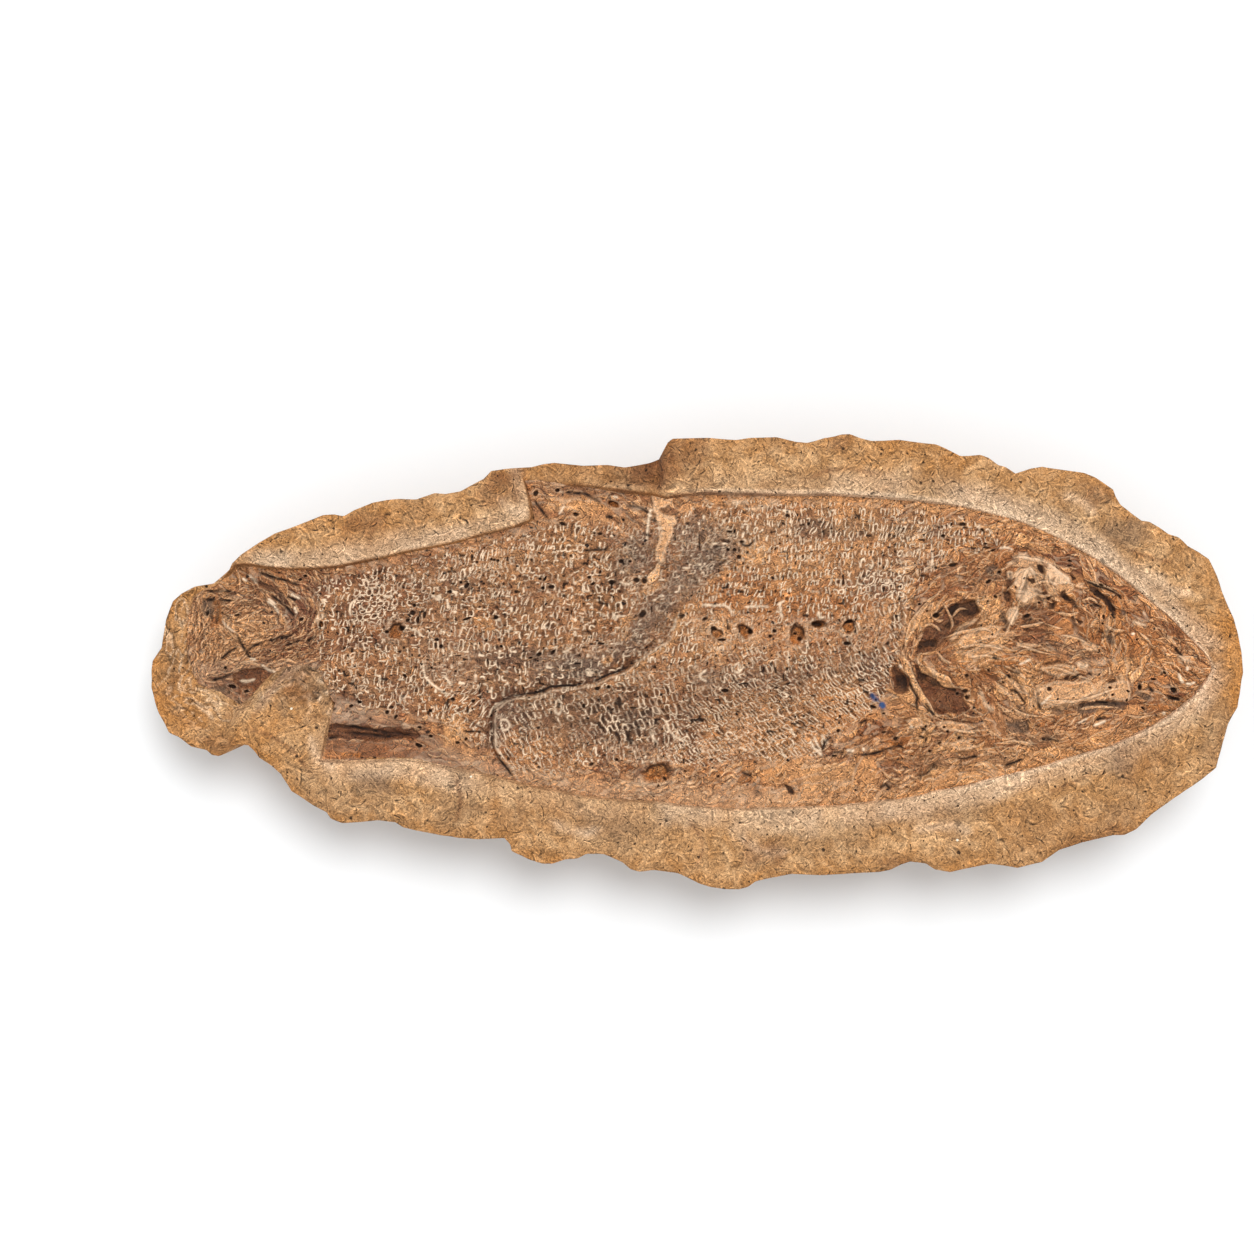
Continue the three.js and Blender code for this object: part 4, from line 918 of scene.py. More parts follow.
MARKS: list[tuple[Stroke | Patch | Pit, list]] = [
    (HOLLOW, [
        [(60, -1), (62.2, -1.4), (65.4, -3.6), (69, -5.4), (72.6, -7), (73.8, -8), (74, -11), (75.4, -14),
         (70, -14.2), (66.8, -14.2), (64.5, -11.5), (62, -7.5), (60.2, -3.5)],
        [(54.6, -0.2), (56.5, -1), (57.6, -3.5), (58.7, -6.5), (59.2, -8.4), (57, -9.4), (55, -8.6),
         (54, -4)],
        [(60.6, 2.4), (61.2, 5), (62.6, 8), (65, 10.6), (67.6, 13.4), (70, 15.6), (74, 17), (77.6, 16.6),
         (77.8, 12.8), (73.6, 11.4), (70.6, 8.6), (68.8, 6.4), (66.4, 4), (63, 2)],
        [(-128, -3.6), (-125, -2.4), (-121, -1.4), (-117, -2), (-117.4, -4.6), (-119.4, -7.2), (-123, -8),
         (-126.8, -7)],
        [(-101.5, -17.8), (-99, -17), (-92, -18), (-82, -18.2), (-77, -19), (-76, -21), (-84, -22),
         (-92.5, -22), (-97, -21.4), (-101.5, -21)]]),
    (BROWN, [
        [(-92, -21.6), (-78, -21), (-73, -23.6), (-78, -26.6), (-94, -26.8)],
        [(74.4, 23.6), (81, 24), (82, 18), (75, 17.6)],
        [(63, 0.4), (66.4, 4), (68.8, 6.4), (71.4, 4.6), (71.6, 0.6), (69, -2.4), (66, -1)],
        [(88, 9), (90, 13.6), (91.6, 14.6), (96, 13.8), (97, 11), (96.4, 7), (95, 5), (90, 6.8), (88.4, 7.6)],
        [(71.6, 7.2), (73.6, 9), (77.6, 11), (78, 10), (75, 8.2), (72.6, 6.6)],
        [(-131.8, 20), (-131, 16), (-130.2, 12.4), (-132, 9), (-134.6, 10.4), (-132.4, 13), (-132.8, 17)],
        [(66.6, 19), (70, 21.6), (74, 22.6), (73, 20), (69, 18)],
        [(-126.6, -7.2), (-122, -7), (-120, -8), (-122, -10.4), (-126, -10)],
        [(83, 19.4), (86, 19.8), (87.6, 17.6), (86.6, 14.6), (83.4, 16)],
        [(92, 3.4), (96, 3), (96, 0.4), (92.4, 0.2)],
        [(124, -11), (128, -11), (130.6, -11.6), (127, -15), (123.6, -15.2)],
        [(78.4, -9.4), (80.6, -9), (81.6, -12), (80.2, -13.4)],
        [(-101.6, -22), (-90, -22.6), (-84, -23.6), (-86, -26), (-95, -27), (-102.4, -27)],
        [(127.6, 11.6), (131.6, 10), (133.6, 7.4), (131, 7), (128.6, 8.4)]]),
    (INK, [
        [(69.2, 14), (70.6, 15.6), (73.4, 15.8), (75, 16.4), (77.4, 17.4), (77.7, 13), (75.6, 12.8),
         (74, 12.4), (72.4, 13.4), (70.8, 12)],
        [(61, 5.4), (62.4, 5.4), (64, 6.4), (66.6, 6.4), (66, 4.6), (64, 4.2), (62, 2.8), (60.8, 3.4)],
        [(68.6, 9.6), (70.2, 12.4), (71.4, 11.6), (69.8, 8.8)],
        [(60.4, -1.8), (62.4, -2.6), (64.6, -4.4), (63.4, -5.6), (61.2, -4.6)],
        [(64.6, -4.6), (68, -6), (72, -7.6), (71.6, -8.6), (67.5, -7.4), (64.4, -5.8)],
        [(54.8, -1), (57, -3.4), (58, -6.4), (58.6, -8.4), (56.6, -9), (55, -6)],
        [(84.6, 19), (86.4, 19.2), (87.2, 17), (85.4, 16.4)],
        [(94.4, 27.2), (96, 26.4), (95.8, 23.8), (94.6, 24.4)], [(91.4, 22.8), (93.7, 22.5), (92.6, 20.9)],
        [(108.6, 20.4), (110, 20.2), (111.4, 18.6), (113, 17.6), (114.4, 15.4), (116, 12.8), (115.2, 12.6),
         (113.4, 15), (112, 17), (110, 17.6), (108.8, 18.4)], [(102.8, 24.2), (104.4, 22.8), (103.8, 21.8)],
        [(100, 18.4), (101.6, 19.6), (102, 17.8), (103.8, 17.2), (101.6, 16.6)],
        [(97, 15.8), (98.6, 15.6), (98.2, 13.6), (97.2, 14)], [(96.4, 18), (98.4, 17.4), (97, 16.8)],
        [(6.6, 33.6), (9, 34.2), (10.4, 33.2), (8.6, 32.8)],
        [(24, -33.8), (26.6, -34.2), (28.2, -36.6), (25.6, -36)], [(104.4, 11.6), (106.4, 11), (105.4, 10)],
        [(128.6, -9.6), (132, -9.8), (133.4, -10.4), (131, -10.8)],
        [(86, -1.8), (88.6, -2.2), (88.6, -2.8), (86.4, -2.6)],
        [(-128.4, -2.9), (-127.2, -2.8), (-127.2, -3.8), (-127.8, -3.8)]]),
    (COAL, [
        [(98, -12.6), (100.6, -12.8), (101.2, -14), (98.6, -14.6), (97.6, -13.6)],
        [(102.6, -13.4), (107, -11.6), (110, -11), (114, -11), (119, -11.6), (117, -13), (109, -13.5),
         (105, -14.4)], [(88, -12), (91, -11.8), (91, -14.4), (88.6, -14.6)],
        [(120.4, -8.6), (124.6, -8.8), (124.6, -11), (121.6, -11)],
        [(112.4, 7.4), (115, 7.2), (115.2, 5.2), (112.6, 5.2)],
        [(85, -16.4), (91, -16), (92, -19), (86, -19.4)],
        [(-134, -7), (-131, -7), (-129, -8.4), (-127.4, -9.8), (-125.2, -12), (-128.6, -12.4),
         (-130.4, -10.6), (-132.4, -8.8)], [(83.2, 14.4), (85.4, 14), (85, 10.8), (83.6, 10.8)],
        [(129.8, -6.6), (132, -7), (132, -9), (130, -9)],
        [(116.6, 14.6), (118.2, 13.8), (118, 11.8), (116.8, 12)],
        [(80, 26.4), (83, 26), (82, 24), (79, 24.4)], [(87, 28.6), (89, 28.4), (88.6, 26.8), (87, 27)],
        [(-111.4, -0.6), (-108, -1), (-108, -3.6), (-111, -3.6)],
        [(-136, 17.6), (-132.6, 18), (-133, 13), (-136, 12.6)]]),
    (ASH, [
        [(87, -19.5), (96, -20), (101, -20), (100, -22.6), (94, -23), (87, -22)],
        [(80, -25), (84, -26.5), (88, -25), (90, -26), (88, -28.6), (84, -29.5), (80, -28)],
        [(90, 5), (100, 5), (109, 3.4), (109, 1), (98, 1.4)], [(65, -27), (70, -27), (70, -29), (66, -29)]]),
    (SHARD, [
        [(69.2, 6), (72, 9.6), (77.4, 12.4), (77.8, 11.6), (73.6, 8.6), (71.4, 5.8)],
        [(71.8, 5.6), (76, 8.4), (81.6, 10.4), (84.6, 9.6), (82.6, 6.6), (78, 5.6), (74, 3.4)],
        [(72.4, 2.4), (77, 3.8), (81.4, 5), (84.8, 4), (81, 1.6), (76, 0.6)],
        [(94, -1.6), (97, -0.9), (102, -0.4), (104, -1.6), (105.6, -3), (102.6, -3.4), (100, -4.4),
         (97, -3.8), (95.4, -2.8)],
        [(92.6, -8.4), (96, -6), (100, -5.2), (104, -5.5), (108, -4.8), (110.4, -8), (107, -10.2),
         (104, -11.4), (98, -12), (94, -11.4)],
        [(112.6, -5.4), (118.6, -4.8), (119.6, -8), (119, -11), (114, -10.6), (111.6, -8.6)],
        [(88, 5.4), (92, 5), (95.2, 4), (92, 3.6), (88, 3.6)],
        [(104.4, 20.2), (105.4, 21.8), (107.2, 21.4), (106.6, 20)],
        [(66, -16.6), (72, -16.4), (78, -18), (73, -19.4), (67, -18.6)],
        [(86, -4.4), (90, -6.6), (92.4, -10), (88.4, -8.4)],
        [(119.8, 11.6), (122, 11), (124, 9.8), (121, 9.8)],
        [(57.6, -16.4), (61, -15), (63, -17.4), (59.6, -19)], [(105, 6.4), (109, 5), (111, 2.6), (106, 3.8)],
        [(69, -22), (74, -21.4), (78, -23.4), (72, -24.4)]]),
    (BRIGHT, [
        [(97, 27.4), (99.6, 25.6), (102, 23.6), (103.6, 21.2), (101, 21.4), (98, 20.6), (96.6, 22.6),
         (96.4, 25)],
        [(88.4, 24.6), (91, 25.8), (93, 26.6), (93.6, 24), (91, 23.4), (90.6, 21), (93.6, 20), (96, 19.4),
         (92, 17.8), (90, 16), (88.4, 17), (89, 19.6), (87.4, 22)],
        [(85.4, 24.4), (87.6, 25), (87.4, 22.6), (85.6, 22)],
        [(86.2, 14.6), (88.2, 15.4), (88.6, 12), (86.6, 9.6), (85.4, 11)]]),
    (WASH, [
        [(-15.4, 18.4), (-15, 22.4), (-12, 23), (-10.4, 21), (-12, 18.2)],
        [(-20.8, 6), (-20.6, 12.6), (-18.2, 12.8), (-18.2, 6.4)],
        [(-25.2, -1.4), (-24.8, 1.4), (-22.8, 1.2), (-23, -1.4)]]),
    (FILLER, [
        [(-12.8, 45.6), (-5.7, 45.3), (-6.2, 43.6), (-8.8, 42.8), (-9.2, 41), (-6.2, 40.2), (-5.2, 36.4),
         (-6.4, 33.6), (-7.6, 30), (-8.8, 27.2), (-10.4, 26.8), (-10.6, 30), (-10.4, 34), (-9.8, 37.4),
         (-10.8, 40), (-11.2, 42.6), (-12.2, 43.8)]]),
    (EMBER, [
        [(-86, 10.5), (-80, 10.5), (-79, 6), (-85, 5)]]),
    (GASH, [
        [(-101.2, -18.2), (-95, -18), (-88, -19.2), (-76, -20.4)],
        [(-97, -19.6), (-90, -20.4), (-82, -20.8)]]),
    (SHADOW, [
        [(94, 26.4), (95.4, 24.6), (96.6, 22.6)], [(91.4, 23.4), (90.8, 21), (89.6, 18.6), (89.8, 16.6)],
        [(86.4, 24.8), (86.6, 22.4), (85.8, 20.4), (86.8, 18)], [(98.6, 23), (97.4, 21.2), (95.4, 20)],
        [(92.8, 19.8), (94.6, 18.6), (97, 18.8)], [(93.4, 17.2), (96, 17), (99.4, 18.4)],
        [(84, 12.6), (85.4, 10.4), (84.4, 8.2)], [(71, 8.2), (74.2, 9.6), (77.6, 10)],
        [(58.8, 8), (60.4, 12), (63, 15.6), (66, 18)], [(88.6, 14.6), (91.4, 15), (94.6, 14.4)],
        [(90, 10.4), (94, 10.6), (98, 9.6)], [(90, 8.6), (94.6, 8.4), (98.4, 7.4)],
        [(60.8, 0.4), (63, -2.6), (66.4, -4.6), (71.6, -6.6)],
        [(94, -12.6), (99, -13), (106, -12), (112, -11.4), (118, -11.6)], [(84, -3.4), (88, -5.4), (90, -9)],
        [(78, -2.2), (82, -4.6), (85.4, -8)], [(103, 12.6), (104.4, 9.6), (107.4, 8)],
        [(110, 8.4), (113, 8), (116, 10)], [(100.6, 18), (103.4, 17.2), (105, 14.6)],
        [(109.4, 19.6), (112.6, 17.6), (115.6, 13.8)], [(120.4, 5), (119.4, 2), (120.6, -1)],
        [(-123.4, 22.6), (-119, 21.2), (-115, 18.8), (-112, 15)], [(-133, 18), (-131.6, 14), (-132.4, 10)]]),
    (STRAND, [
        [(93, -9.6), (98, -10.8), (104, -10.8), (110, -9.2), (115, -7.6), (118, -7.2)],
        [(92.6, 27), (90.6, 24), (89.8, 21), (88.2, 17.6)],
        [(67.8, 16.4), (69.4, 13.8), (70.6, 10.6), (69.8, 8.2)], [(62.8, 9.6), (65, 10.2), (67.6, 8.2)],
        [(64.4, 13), (66.4, 11.2), (68.4, 11.6)], [(70.4, 12), (72.6, 14.4), (75, 14.2)],
        [(77.8, 18.6), (77.4, 16), (79.6, 14.6)], [(87.4, 28.6), (91, 28.5), (94.4, 27.6), (97, 27)],
        [(66, 3), (68, 0.4), (70.6, -0.6)], [(106.6, 22.8), (109.4, 21.4), (112.6, 20.6), (116, 18.6)],
        [(118, -14.8), (122, -15.4), (126, -14.6)], [(92.4, 20.8), (95, 22), (97.4, 21.8), (99.8, 20.4)],
        [(89.2, 17.4), (88.2, 13.8), (86, 9.6), (84.6, 6.6)], [(87, 22.6), (88.6, 24.6), (91, 25.4)],
        [(96.8, 25), (96.2, 22.4), (97.6, 20)], [(99.4, 23.4), (98.4, 21.4)],
        [(91.6, 26.4), (93, 24), (93.6, 21.6)], [(86.2, 20.6), (88, 19.4), (90.6, 19)],
        [(98.4, 14), (102, 12.8), (106, 13.6)], [(88.4, 9.4), (92, 9.8), (96, 11)],
        [(100, 7.4), (104, 6.6), (108, 5)], [(74, 1), (79, 1.6), (84, 0.6)],
        [(112, 10.4), (114.4, 8.6), (118, 8.4)], [(121.6, 8), (124, 6), (125.4, 3.4)],
        [(104.6, -13.2), (110, -12.4), (116, -12.6)], [(86, -12), (90, -14.4), (95, -15)],
        [(70, -18.4), (75, -19.4), (80, -18.6)], [(82, -22.6), (88, -22), (94, -23.4)],
        [(93.4, 18.6), (95.6, 17.8), (98, 18.2)],
        [(67.6, 6.4), (71.4, 7.6), (75.4, 8.6), (79.6, 8.8), (83, 6.4)],
        [(71, 3.4), (76, 4.4), (81, 4.2), (86, 2.8)], [(88, 4.4), (93, 3.2), (98.6, 1.6)],
        [(94.6, -2), (99, -2), (104, -3.6), (110, -5.4)], [(84, -1), (88, -2.6), (91.4, -5.6)],
        [(106, 16.6), (108.6, 17.4), (111, 15.4)]]),
    (BLADE, [
        [(56.7, 2.6), (57.8, 0.2), (58.9, -3), (60.1, -6.2), (61.9, -9), (64.2, -12.1), (66.6, -15)],
        [(60.2, 1.2), (62.2, -1.4), (65, -3), (67.8, -4.8), (69.8, -6.2), (73, -7.2)],
        [(57.6, 3.4), (58.4, 7), (60.6, 11.6), (63.4, 15.6), (67, 19.4)],
        [(82, -5.6), (84.6, -8.2), (86, -9.4)], [(119, -6), (121, -3.6), (122.4, -0.6)],
        [(-121.5, -9), (-118, -6.4), (-114.5, -3.6), (-110.5, -1)],
        [(-9.4, 27.6), (-10.8, 24.6), (-12.6, 20.8)]]),
    (RUSTED, [
        [(71.9, 6.9), (73.6, 7.7), (76, 9.3), (78.4, 10.1)], [(124, -12), (130, -13)],
        [(50, -24), (56.5, -22.5)], [(-133, 18), (-131.5, 14), (-131.4, 11), (-134, 10)],
        [(-98, -25.6), (-92, -26)], [(-46, 49), (-45, 46)], [(-24, 44), (-20.6, 43)],
        [(-29, 43), (-25, 42.6)], [(-92, 9), (-86, 8.6)], [(-56, -24), (-52, -28)]]),
    (RIDGE, [
        # the skull's upper ridge: pale bone, with a painted highlight along its crest where the light falls
        [(87.5, 28.8), (91, 28.6), (94, 27.9), (96, 27.3), (98, 26), (100, 24.4), (102, 22.9), (103.6, 21)],
        [(104.6, -0.6), (106, -1.2), (107.6, -1)], [(119.8, 11.2), (121.8, 10.4), (124, 9.8)],
        [(132.5, 2), (134.4, 0.6), (136, 0)], [(78, -8), (79.4, -11), (81.8, -14)], [(10, 44), (15, 43.4)],
        [(-104.8, 10.6), (-103.6, 12), (-101.6, 13)], [(15, 42.2), (19, 42.6), (23, 44.6)]]),
    (RIB, [
        [(-94.9, 12.4), (-95.2, 14.6), (-94.4, 16.4), (-93.3, 17.2)],
        [(-74.8, 0), (-75, -2), (-74.2, -4.6), (-72, -6.6), (-69.4, -8.4), (-66.6, -9.4)],
        [(-69.4, -3.6), (-67.2, -6.4)], [(-79, 9.4), (-76.8, 8.4), (-75.2, 7)],
        [(-57, -14.6), (-55.4, -12.6), (-52.6, -11)], [(-54.9, -20.6), (-55, -23.6), (-53.6, -26)],
        [(-53.6, -17), (-53, -16), (-51.6, -16.4), (-51.2, -18), (-52.4, -19), (-53.4, -18.2), (-53.6, -17)],
        [(-38.8, -12), (-37.8, -10.4), (-36.8, -12.4), (-37, -14), (-38, -14.6), (-38.8, -12)],
        [(-8, -16), (-7.4, -18.6), (-5, -21), (-1.6, -22)], [(-12.6, -19), (-11.6, -21), (-10.4, -22.6)],
        [(10.6, -2), (11.4, -0.4), (12.6, -1.8), (12, -3), (10.8, -2.8), (10.6, -2)],
        [(-20.8, 22), (-19, 21.2), (-17.2, 21.9)],
        [(1.6, 15.6), (5, 15.4), (8.6, 15.2), (9.8, 14), (9.9, 12.8)],
        [(13.4, 15.1), (16.6, 15.1), (20.2, 15.1)], [(23.4, 16.2), (23.3, 14), (23.6, 12.2)],
        [(22.4, 15.6), (23.4, 16.2), (24.6, 16.8)], [(34, 14), (33.6, 12.6), (34.6, 11.8), (35.4, 12.4)],
        [(-5.4, 12), (-5.6, 10), (-6.8, 8.4)], [(3, -2.2), (1, -4), (3.2, -5.4)], [(61, 29.8), (61.6, 31)],
        [(64.8, 30.6), (65.2, 28), (64.8, 26)], [(-123.4, 24), (-121, 21.4)],
        [(-130.4, 11.4), (-129, 9.6), (-127, 8)], [(-117.8, 17.4), (-115.4, 15.6)], [(88.8, -0.8), (92, 0.8)],
        [(97.6, -9), (94.6, -12)], [(-13.4, 33), (-12.6, 41), (-11.4, 42)], [(105, -17), (107.6, -15.6)],
        [(83.6, 31.2), (85.6, 31.4), (87.4, 30.6)], [(-37.6, 40.6), (-36, 43)],
        [(35, -26), (33, -24), (31.6, -22)], [(34.6, -24.8), (33.4, -22.4), (32.4, -20.6)],
        [(36.2, -22.4), (34.6, -20)]]),
    (CLEFT, [
        [(58.6, -5.2), (59.8, -8), (61, -9.8), (60.4, -11.6), (61.2, -13.6)],
        [(63, -11.3), (64.4, -13.2), (66, -14.8)], [(65, 12.6), (66.4, 13.4), (68.2, 15)],
        [(89.8, 12), (91, 11.2), (92.5, 11.9)], [(95.8, -0.8), (98, -0.4), (100, 0.3)],
        [(81.4, 1.2), (83.4, 0.8)], [(86.4, -2.7), (89, -3.2)], [(86.2, -7.8), (88, -8.2), (90.4, -11)],
        [(93.6, -8), (93.8, -11), (94.8, -13.2)],
        [(107, 22.4), (110, 20.9), (113, 20), (116, 18.4), (117.4, 16.8)],
        [(101, -4.9), (103.4, -4.4), (105.4, -3.4)], [(107.6, -3), (108.8, -3.6)],
        [(113, -5.9), (114, -5.4), (115.2, -5.2)], [(109.6, -10.9), (113.4, -11.2)],
        [(110, -15.8), (112.6, -15.2)], [(121.4, -5.8), (122, -7.4)],
        [(131.4, 3.8), (132.4, 2.6), (133.6, 1.8)], [(129.4, -9.9), (131.6, -10.4), (133.2, -10.4)],
        [(124, -6.4), (125.6, -8.3)], [(108, 15.3), (110, 15.6), (112, 14.8)], [(114.2, 13.2), (115.2, 11.6)],
        [(95, -21), (98, -21.6), (100, -22)], [(85, -28.8), (87, -28), (90, -26.8)],
        [(72.2, -26), (73, -26.8), (75, -26.5), (78, -25.9)], [(62, -18), (63.6, -19.4), (63.2, -22.2)],
        [(61.4, -20.4), (63, -21)], [(61.2, -31.2), (63.4, -31), (65.4, -29), (65.4, -27.6)],
        [(44.8, -25.7), (49, -25.2), (53, -24), (56.5, -23.2), (56.8, -24.8)], [(45, -16.9), (47, -16)],
        [(38, -25), (40.6, -25)], [(35, -24.6), (35.6, -22.2), (37.4, -20.8)],
        [(50.6, -35), (52.4, -33.8), (53.8, -35.4)],
        [(-103.2, -12.6), (-101.4, -13.9), (-99, -12.8)], [(-101.2, -21.4), (-98.6, -21)],
        [(-120.6, 24.6), (-117, 23.4), (-113, 22.4), (-109, 21)],
        [(-134.4, 19.2), (-131, 19.4), (-127.6, 19.3)], [(-126.2, 7), (-124.8, 4), (-123.6, 2)],
        [(-131, 0.4), (-128.6, 2.8), (-126, 4)], [(-118, 5.6), (-114, 6.6), (-110.6, 7.8)],
        [(-113, 4.4), (-108.6, 5.8)], [(-107, 5.4), (-104.4, 7)], [(-124, 2.6), (-121.6, 4.4), (-119, 5.4)],
        [(-124, 2.4), (-122.8, 1)], [(-117, 18.4), (-114.5, 16.4), (-112, 14.2), (-110.4, 12.4)],
        [(-112.6, 18), (-110, 16.8)], [(-136, 17.2), (-132.6, 17)], [(-131.6, 16.9), (-128, 16.8)],
        [(-128, -3.4), (-131, -4.6), (-134, -5.2)], [(-36, 46.8), (-31, 46.4), (-28, 44.8), (-25.6, 43.4)],
        [(-19, 43), (-15.6, 42.6), (-12.6, 41)], [(-44.4, 44.6), (-42.8, 42.4), (-40.4, 39.4)],
        [(-14.6, 35.4), (-12, 34.6)], [(5, 31.4), (7, 31.6)], [(-24.8, 39.8), (-22.6, 39.8)],
        [(12.6, 32.6), (14.6, 31.8), (16.6, 33.6)], [(-4.2, 13.4), (-3.8, 11.8)], [(-31, 30.4), (-24, 31)],
        [(12.6, -30.2), (15.6, -31.6)], [(23, -31.8), (24, -30.8)], [(-86.6, -4.8), (-84.6, -5)],
        [(8.6, 28), (6.6, 26.4)]]),
    (SEAM, [
        [(36, -28), (40, -27), (43.6, -23.6)], [(45.6, -22.4), (50, -20.2), (55, -19)],
        [(96, 20.4), (98.4, 18), (98, 14.6)], [(100, 20), (102, 17), (106, 14)],
        [(103.4, 10), (104.6, 8), (107, 6.4)], [(111, 7), (114, 6.6), (116.6, 8)],
        [(116.8, 5), (118, 2.6), (117, 1)], [(123.6, 4), (125.6, 3), (126.4, 0.6), (125.2, -0.8)],
        [(93, 3.4), (98, 4.6), (104, 3.2)], [(-88.6, 4), (-86.6, 5.6)],
        [(-80, 11), (-75.8, 10.6), (-70.4, 10.8)], [(-64.8, -15), (-60, -17.6), (-56.6, -20)],
        [(-74, -6.4), (-79, -8.6)], [(27.6, -19.4), (30, -18), (34.4, -16.4)], [(-70.2, -17.4), (-69.4, -20)],
        [(-80, -9), (-82, -12)], [(83, 26.6), (80.6, 28.8)],
        [(118, -18.6), (121, -17.6), (124, -16.2)], [(92, -1.4), (94.6, -3.2), (100, -4)],
        [(86, 20), (85.4, 24)]]),
    (GLINT, [
        [(132.4, -3), (132.8, -4.7), (133.9, -5.9)], [(134.4, -6), (135.6, -6.2), (137, -5.6)],
        [(134.8, -1.2), (134.8, -2.4)], [(109.2, -17.5), (110.6, -17), (112.8, -16.2)],
        [(41.4, -24.4), (43.6, -24.4)], [(46, -23.6), (46.4, -24.4)], [(119.4, 7.5), (120.4, 7.6)],
        [(58.8, -17.8), (59.6, -18.2)], [(-22.6, 45.6), (-21.4, 45.3)], [(-13, 41), (-12, 40)],
        [(56, -0.8), (56.6, -1.6)], [(-14, -26), (-13.4, -26.6)], [(128.4, -14), (129.2, -14.6)],
        [(-119.8, -1), (-118, -2.4), (-116, -3)], [(-123, 0.8), (-121.4, 0.4)],
        [(-118, 16.6), (-115.8, 15), (-114.8, 13)], [(-110.6, 15), (-109.8, 13.4)],
        [(-126, -5.4), (-124, -5.6), (-121.8, -5)], [(-125, 23), (-123.6, 22.2)],
        [(-111.4, 18.6), (-109, 17.2)], [(24, 41.6), (26.6, 41)]]),
    (FLECK, [
        [(48.2, -8.6), (49, -9.8), (50.2, -11)], [(50.7, -11.2), (51.4, -12.2), (52, -12.9)]]),
    (RUSTY, [
        (-82.5, 8.5, 2.4, 1.9, 60), (13.6, 8.4, 2.1, 1.7, -50), (27.9, 7.2, 2.9, 2.1, 80),
        (42.2, 9.8, 2.0, 1.6, 70), (5.8, 7.8, 1.8, 1.1, -30), (-10.6, -30.6, 4.2, 2.5, 15),
        (33.8, 10.2, 2.2, 1.2, -5), (-103.2, 10.2, 0.9, 0.6, 90), (-22.4, 43.4, 1.6, 0.8, -20)]),
    (HOLE, [
        (5.1, 9.1, 0.9, 0.6, -15), (2.6, 11.7, 0.7, 0.4, 20), (7.3, 6, 1.1, 0.4, 0), (20.5, 7, 0.5, 0.5, 0),
        (21.7, 8.4, 0.6, 0.5, 0), (28.7, 6.2, 0.7, 0.6, 0), (27.4, 7.7, 0.5, 0.4, 0),
        (15.2, 8.2, 0.7, 0.6, 70), (33.6, 10.2, 1.7, 0.8, -5), (42.2, 11, 1.2, 0.5, 15),
        (41.6, 5, 1.0, 0.5, 0), (-80.9, 9.2, 0.9, 0.7, 0), (-85, 8.2, 0.6, 0.5, 0),
        (-77.9, 13.4, 0.8, 0.7, 0), (-76.4, 11.6, 0.9, 0.4, 80), (-74.6, 12.9, 0.9, 0.5, 80),
        (-77.4, 15.4, 0.5, 0.5, 0), (-79.2, 11.4, 0.6, 0.4, 30), (-71.2, 6, 0.6, 0.4, 0),
        (-70, 4.2, 0.6, 0.5, 60), (-64.6, 21.8, 0.5, 0.4, 0), (-63, 20.9, 0.9, 0.5, 45),
        (-72.2, 18.8, 0.4, 0.4, 0), (-67.6, 19.2, 0.5, 0.4, 0), (-62.8, 11.8, 1.2, 0.3, 20),
        (-95, -12.3, 0.6, 0.4, 20), (-85, -14, 0.6, 0.5, 60), (-82.6, -15.3, 0.6, 0.3, 50),
        (-66.8, -10.4, 0.6, 0.5, 0), (-61.2, -10.9, 0.6, 0.5, 0), (-73, -13.5, 0.5, 0.4, 0),
        (-80, -4, 0.7, 0.4, -45), (-92.6, -11.2, 0.6, 0.4, 0), (-76.4, -23.2, 1.0, 0.5, -20),
        (-73, -20.6, 0.6, 0.4, 0), (-63.2, -21.4, 0.5, 0.4, 40), (-65.6, -22.4, 0.6, 0.4, 0),
        (-76, -18.2, 0.6, 0.4, 0), (-55, 12.2, 0.8, 0.7, 0), (-57.6, 5.8, 0.5, 0.5, 0),
        (-53.4, 4.2, 0.4, 0.4, 60), (-55.4, 28, 0.5, 0.4, 0), (-56.2, 28.2, 0.4, 0.4, 0),
        (-54.4, 27.8, 0.5, 0.4, 0), (-60.2, 27.4, 0.4, 0.4, 0), (-41.4, 22.8, 0.7, 0.3, 60),
        (-42.8, 22.8, 0.5, 0.4, 0), (-39.6, 20.6, 0.9, 0.6, 0), (-42, 20.2, 0.6, 0.5, 0),
        (-29.2, 23.2, 0.5, 0.4, 0), (-28.2, 21.4, 0.7, 0.4, 30), (-23, 21.8, 1.0, 0.7, 10),
        (-26.2, 24.6, 0.6, 0.4, 60), (-26.2, 35.2, 0.7, 0.4, 0), (-27.8, 35.4, 0.4, 0.3, 0),
        (-45.4, 1, 0.6, 0.3, 10), (-43, 2, 0.9, 0.5, 30), (-39.2, 2.6, 0.8, 0.4, 50),
        (-35.2, 14.3, 0.5, 0.4, 0), (-20.4, 27.6, 0.6, 0.5, 0), (-18, 27.6, 0.5, 0.4, 0),
        (-16.2, 22.4, 0.8, 0.6, 0), (-14, 22.2, 0.8, 0.8, 0), (-14.6, 13, 1.2, 0.8, 40),
        (9, 30.8, 0.5, 0.5, 0), (10.8, 30.8, 0.6, 0.5, 0), (12, 28.8, 0.6, 0.6, 0), (12.8, 33, 0.5, 0.8, 90),
        (9.4, 35.8, 0.9, 0.5, 0), (10.8, 35.9, 0.6, 0.3, 70), (29.4, 37.6, 0.9, 0.3, 10),
        (31.2, 38, 0.5, 0.4, 70), (25.4, 40.2, 0.6, 0.4, -20), (-26.9, -7.4, 0.6, 0.5, 0),
        (-23.9, -7, 0.5, 0.5, 0), (-30.7, -12.2, 0.7, 0.5, 80), (-21.6, -27, 0.5, 0.4, 0),
